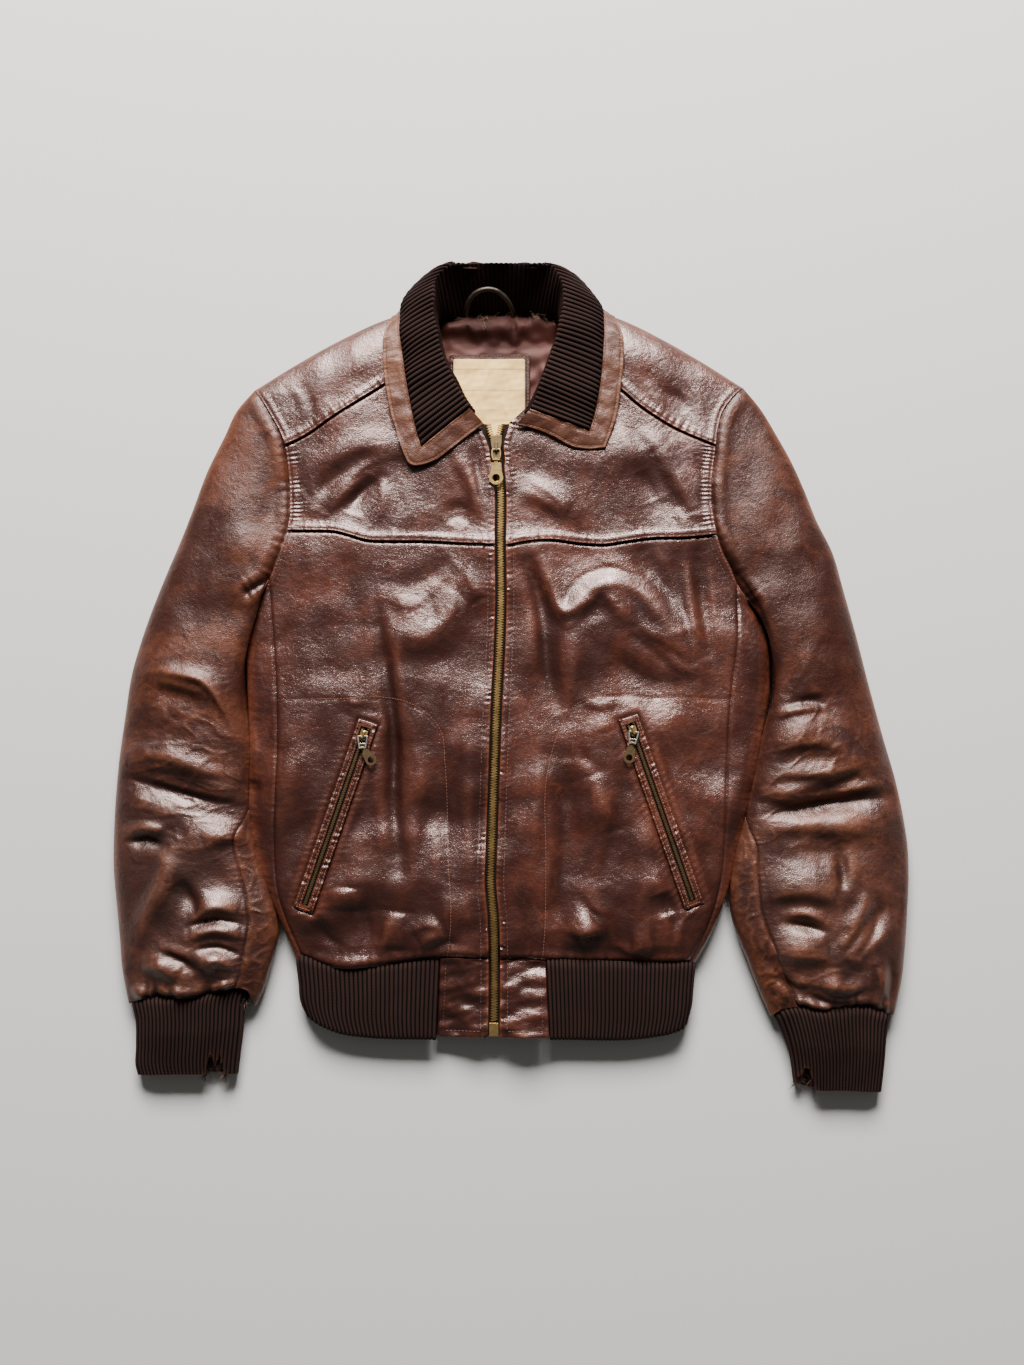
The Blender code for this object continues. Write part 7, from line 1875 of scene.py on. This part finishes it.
# %% Stitch lines
def on_line(label, kind, plan):
    """A plan line lifted on to a panel, with the panel's own slope as the way up."""
    x, y = plan[:, 0], plan[:, 1]
    z = on_panel(label, kind, x, y)
    run_x = (on_panel(label, kind, x + 1.5, y) - on_panel(label, kind, x - 1.5, y)) / 3
    run_y = (on_panel(label, kind, x, y + 1.5) - on_panel(label, kind, x, y - 1.5)) / 3
    return np.column_stack([plan, z + 0.16]), unit(np.column_stack([-run_x, -run_y, np.ones(len(x))]))


def cut_to(line, first, last):
    """The stretch of a line between two distances from its start; a last below 0 counts from its end."""
    run = run_of(line)
    places = np.linspace(first, last if last > 0 else run[-1] + last, 200)
    return at_places(line, run, places)


for label, half in SIDES.items():
    sign, line = half["sign"], half["line"]
    rows = [on_line(label, kind, cut_to(inset(label, kind, line[seam], away), first, last))
            for seam, kind, first, last in (
                ("yoke_seam", "yoke", 3, -3), ("shoulder_seam", "shoulder", 3, -6),
                ("arm_shoulder", "shoulder", 4, -3), ("arm_yoke", "yoke", 3, -3),
                ("arm_front", "front", 3, -2))
            for away in STITCH_ROWS]
    yoke_end, hem_end = line["yoke_seam"][-1, 1], line["hem"][-1, 1]
    for ys, kind in ((np.linspace(226, yoke_end + 2, 150), "yoke"),
                     (np.linspace(yoke_end - 2, hem_end + 1, 300), "front"),
                     (np.linspace(hem_end - 2, -324, 80), "tab")):
        rows.append(on_line(label, kind, xyz(zip_edge(ys, sign) + sign * PLACKET, ys)))
    xs = np.linspace(zip_edge(-325, sign) + sign * PLACKET, half["tab"] - sign * 2, 60)
    rows.append(on_line(label, "tab", xyz(xs, -325.0)))
    ys = np.linspace(hem_end - 3, -322, 80)
    rows.append(on_line(label, "tab", xyz(tab_edge(half, ys) - sign * 5.5, ys)))
    stitches("stitches_body_" + label, rows, "brown_thread")
    bag = Curve(POCKET_BAG[label])(np.linspace(0, 1, 300))
    down, aside = pocket_place(label, bag[:, 0], bag[:, 1])
    top, along, length, across = pocket_frame(label)
    clear = (np.abs(aside) > WELT_HALF + 1) | (down < -1) | (down > length + 1)
    stitches("stitches_bag_" + label, [on_line(label, "front", bag[clear])], "tan_thread", 3.0, 2.4, .2)

    def welt_row(down, aside):
        down, aside = np.broadcast_arrays(down, aside)
        plan = top + down[:, None] * along + aside[:, None] * across
        return np.column_stack([plan, welt_height(label, plan, down, aside, window_half(down)) + .14]), UP

    down = np.linspace(3.0, length - 3.0, 200)
    aways = window_half(down) + 1.35, WELT_HALF - 1.4
    rows = [welt_row(down, side * away) for side in (-1, 1) for away in aways]
    aside = np.linspace(-WELT_HALF + 1.6, WELT_HALF - 1.6, 30)
    rows += [welt_row(down, aside) for down in (2.0, length - 2.0)]
    stitches("stitches_pocket_" + label, rows, "tan_thread", 2.9, 2.3, .26)

rows = []
for distances, grid, normals in ((from_inner, border_grid, border_normal),
                                 (from_outer[::-1], border_grid[::-1], border_normal[::-1])):
    index = np.clip((distances < 2.6).sum(axis=0), 1, len(distances) - 1)
    columns = np.arange(distances.shape[1])
    low, high = distances[index - 1, columns], distances[index, columns]
    share = ((2.6 - low) / (high - low))[:, None]
    spot = grid[index - 1, columns] * (1 - share) + grid[index, columns] * share
    up = normals[index, columns]
    rows.append(((spot + .12 * up)[4:-4], up[4:-4]))
stitches("stitches_collar", rows, "tan_thread", 3.2, 2.5, .26)

right, left, top, bottom = LABEL_PATCH
right, left, top, bottom = right + 2.2, left - 2.2, top - 2.2, bottom + 2.2
corners = np.array([(right, top), (left, top), (left, bottom), (right, bottom), (right, top)])
plan = resampled(corners, np.linspace(0, 1, 300))
line = np.column_stack([plan, patch_height(plan[:, 0], plan[:, 1]) + .25])
stitches("stitches_label", [(line, UP)], "tan_thread", 3.2, 2.5, .28)

# %% [markdown]
# ## Frayed threads
# Where cloth has torn, single threads stand out of it: thin tubes on random short arcs. They start at
# the torn edge, and their length, curl and direction differ.

# %% Threads
def threads(name, starts, ways, length, finish, seed, radius=.28, lift=.5):
    """One tube for each start: start + way s + up (lift s - sag s^2) + a sideways curl."""
    rng = np.random.default_rng(seed)
    paths = []
    for start, way in zip(starts, ways):
        s = np.linspace(0, 1, 7)[:, None] * length * rng.uniform(.45, 1.25)
        way = unit(way + rng.normal(0, .45, 3) * (1, 1, .2))
        curl = rng.normal(0, .09)
        wave = 0.35 * np.sin(s * rng.uniform(.5, 1.4) + rng.uniform(0, 6))
        rise = (lift * rng.uniform(.2, 1.3)) * s - 0.055 * s ** 2
        path = start + way * s + UP * rise + np.cross(way, UP) * (curl * s ** 2 * .35 + wave * s / length)
        path[:, 2] = np.maximum(path[:, 2], .3)
        paths.append(path)
    print(name, len(paths), "threads")
    return tubes(name, paths, lambda path: radius * np.linspace(1, .35, len(path)), 5, finish)


def bundle(rng, *groups):
    """Places or ways in groups: a count, a mean and how far each axis spreads round it."""
    return np.concatenate([mean + rng.normal(0, 1, (count, len(mean))) * spread
                           for count, mean, spread in groups])


for label, half in SIDES.items():
    centre, reach, xs, foot, bite = half["torn"]
    rng = np.random.default_rng(201 if label == "right" else 203)
    for finish, count, seed in (("tan_thread", 26, 211), ("knit_thread", 190, 213)):
        at = centre + rng.uniform(-1.15, 1.15, count) * reach
        y = np.interp(at, np.sort(xs), (foot + bite)[np.argsort(xs)])
        z = 8.5 + rng.uniform(-3.5, 3.5, count)
        starts = np.column_stack([at, y + rng.uniform(-.4, .8, count), z])
        ways = np.column_stack([rng.normal(0, .55, count), -np.ones(count), rng.normal(0, .15, count)])
        threads("frayed_cuff_%s_%s" % (label, finish), starts, ways, 8.0, finish, seed + half["sign"], .30)

rng = np.random.default_rng(221)
for finish, count, seed in (("knit_thread", 60, 223), ("tan_thread", 9, 225)):
    starts = bundle(rng, (count, (-239.5, -301.0, 11.0), (1.6, 2.2, 1.4)))
    ways = bundle(rng, (count, (.5, -.7, .2), .6))
    threads("frayed_seam_right_" + finish, starts, ways, 6.0, finish, seed)

rng = np.random.default_rng(230)
hem = Curve(points_from("-58.5 335.5, -45 338, -30 338.5, -14 340.5, 2 340, 20 340.5, 34 337.5, 42 333.5"))
starts = np.concatenate([hem(rng.uniform(.04, .98, 12)),
                         bundle(rng, (12, (-27.0, 338), (2.2, 4.5)), (20, (24.5, 341), (4.5, 1.8)))])
starts = np.column_stack([starts, lining_height(starts[:, 0], starts[:, 1]) + .9])
ways = bundle(rng, (12, (0, -.9, 0), .6), (12, (0, -1, 0), .35), (20, (.9, -.5, .2), .5))
threads("frayed_lining_thread", starts, ways, 7.0, "pale_thread", 231, .2, .7)

# %% [markdown]
# ## What each panel was cut to
# The flat size of each sheet of cloth as it shows here is printed: the longest row and the
# longest column of each grid, and its area.

# %% Sheets
for name, (wide, long, area) in SHEETS.items():
    wide, long = math.ceil(wide * 1000) / 1000, math.ceil(long * 1000) / 1000
    print("%-28s %4d x %4d mm, %5d cm2" % (name, wide * 1000, long * 1000, area * 1e4))

# %% [markdown]
# ## Floor and light
# A plain pale floor stands in for the tiles. One soft window, beyond the collar as in the photograph,
# lights every fold from the same side.

# %% Floor and light
FLOOR_HALF = 12         # metres
mesh = bpy.data.meshes.new("floor")
corners = [(x * FLOOR_HALF, y * FLOOR_HALF, 0) for x, y in ((-1, -1), (1, -1), (1, 1), (-1, 1))]
mesh.from_pydata(corners, [], [(0, 1, 2, 3)])
floor = bpy.data.objects.new("floor", mesh)
bpy.context.scene.collection.objects.link(floor)
new_material("floor", (.55, .535, .51), .85)
mesh.materials.append(FINISH["floor"])
world = bpy.data.worlds.new("studio")
bpy.context.scene.world = world
world.use_nodes = True
sky = world.node_tree.nodes["Background"].inputs
sky["Color"].default_value = (1, .98, .95, 1)
sky["Strength"].default_value = .13
light = bpy.data.objects.new("window", bpy.data.lights.new("window", "AREA"))
light.data.shape = "RECTANGLE"
light.data.size, light.data.size_y = 1.9, 1.3
light.data.energy = 440
light.location = (-.1, 2.62, 1.84)
light.rotation_euler = (math.radians(-55), 0, 0)
bpy.context.scene.collection.objects.link(light)
print(sum(DONE.values()), "faces in", len(DONE), "pieces")
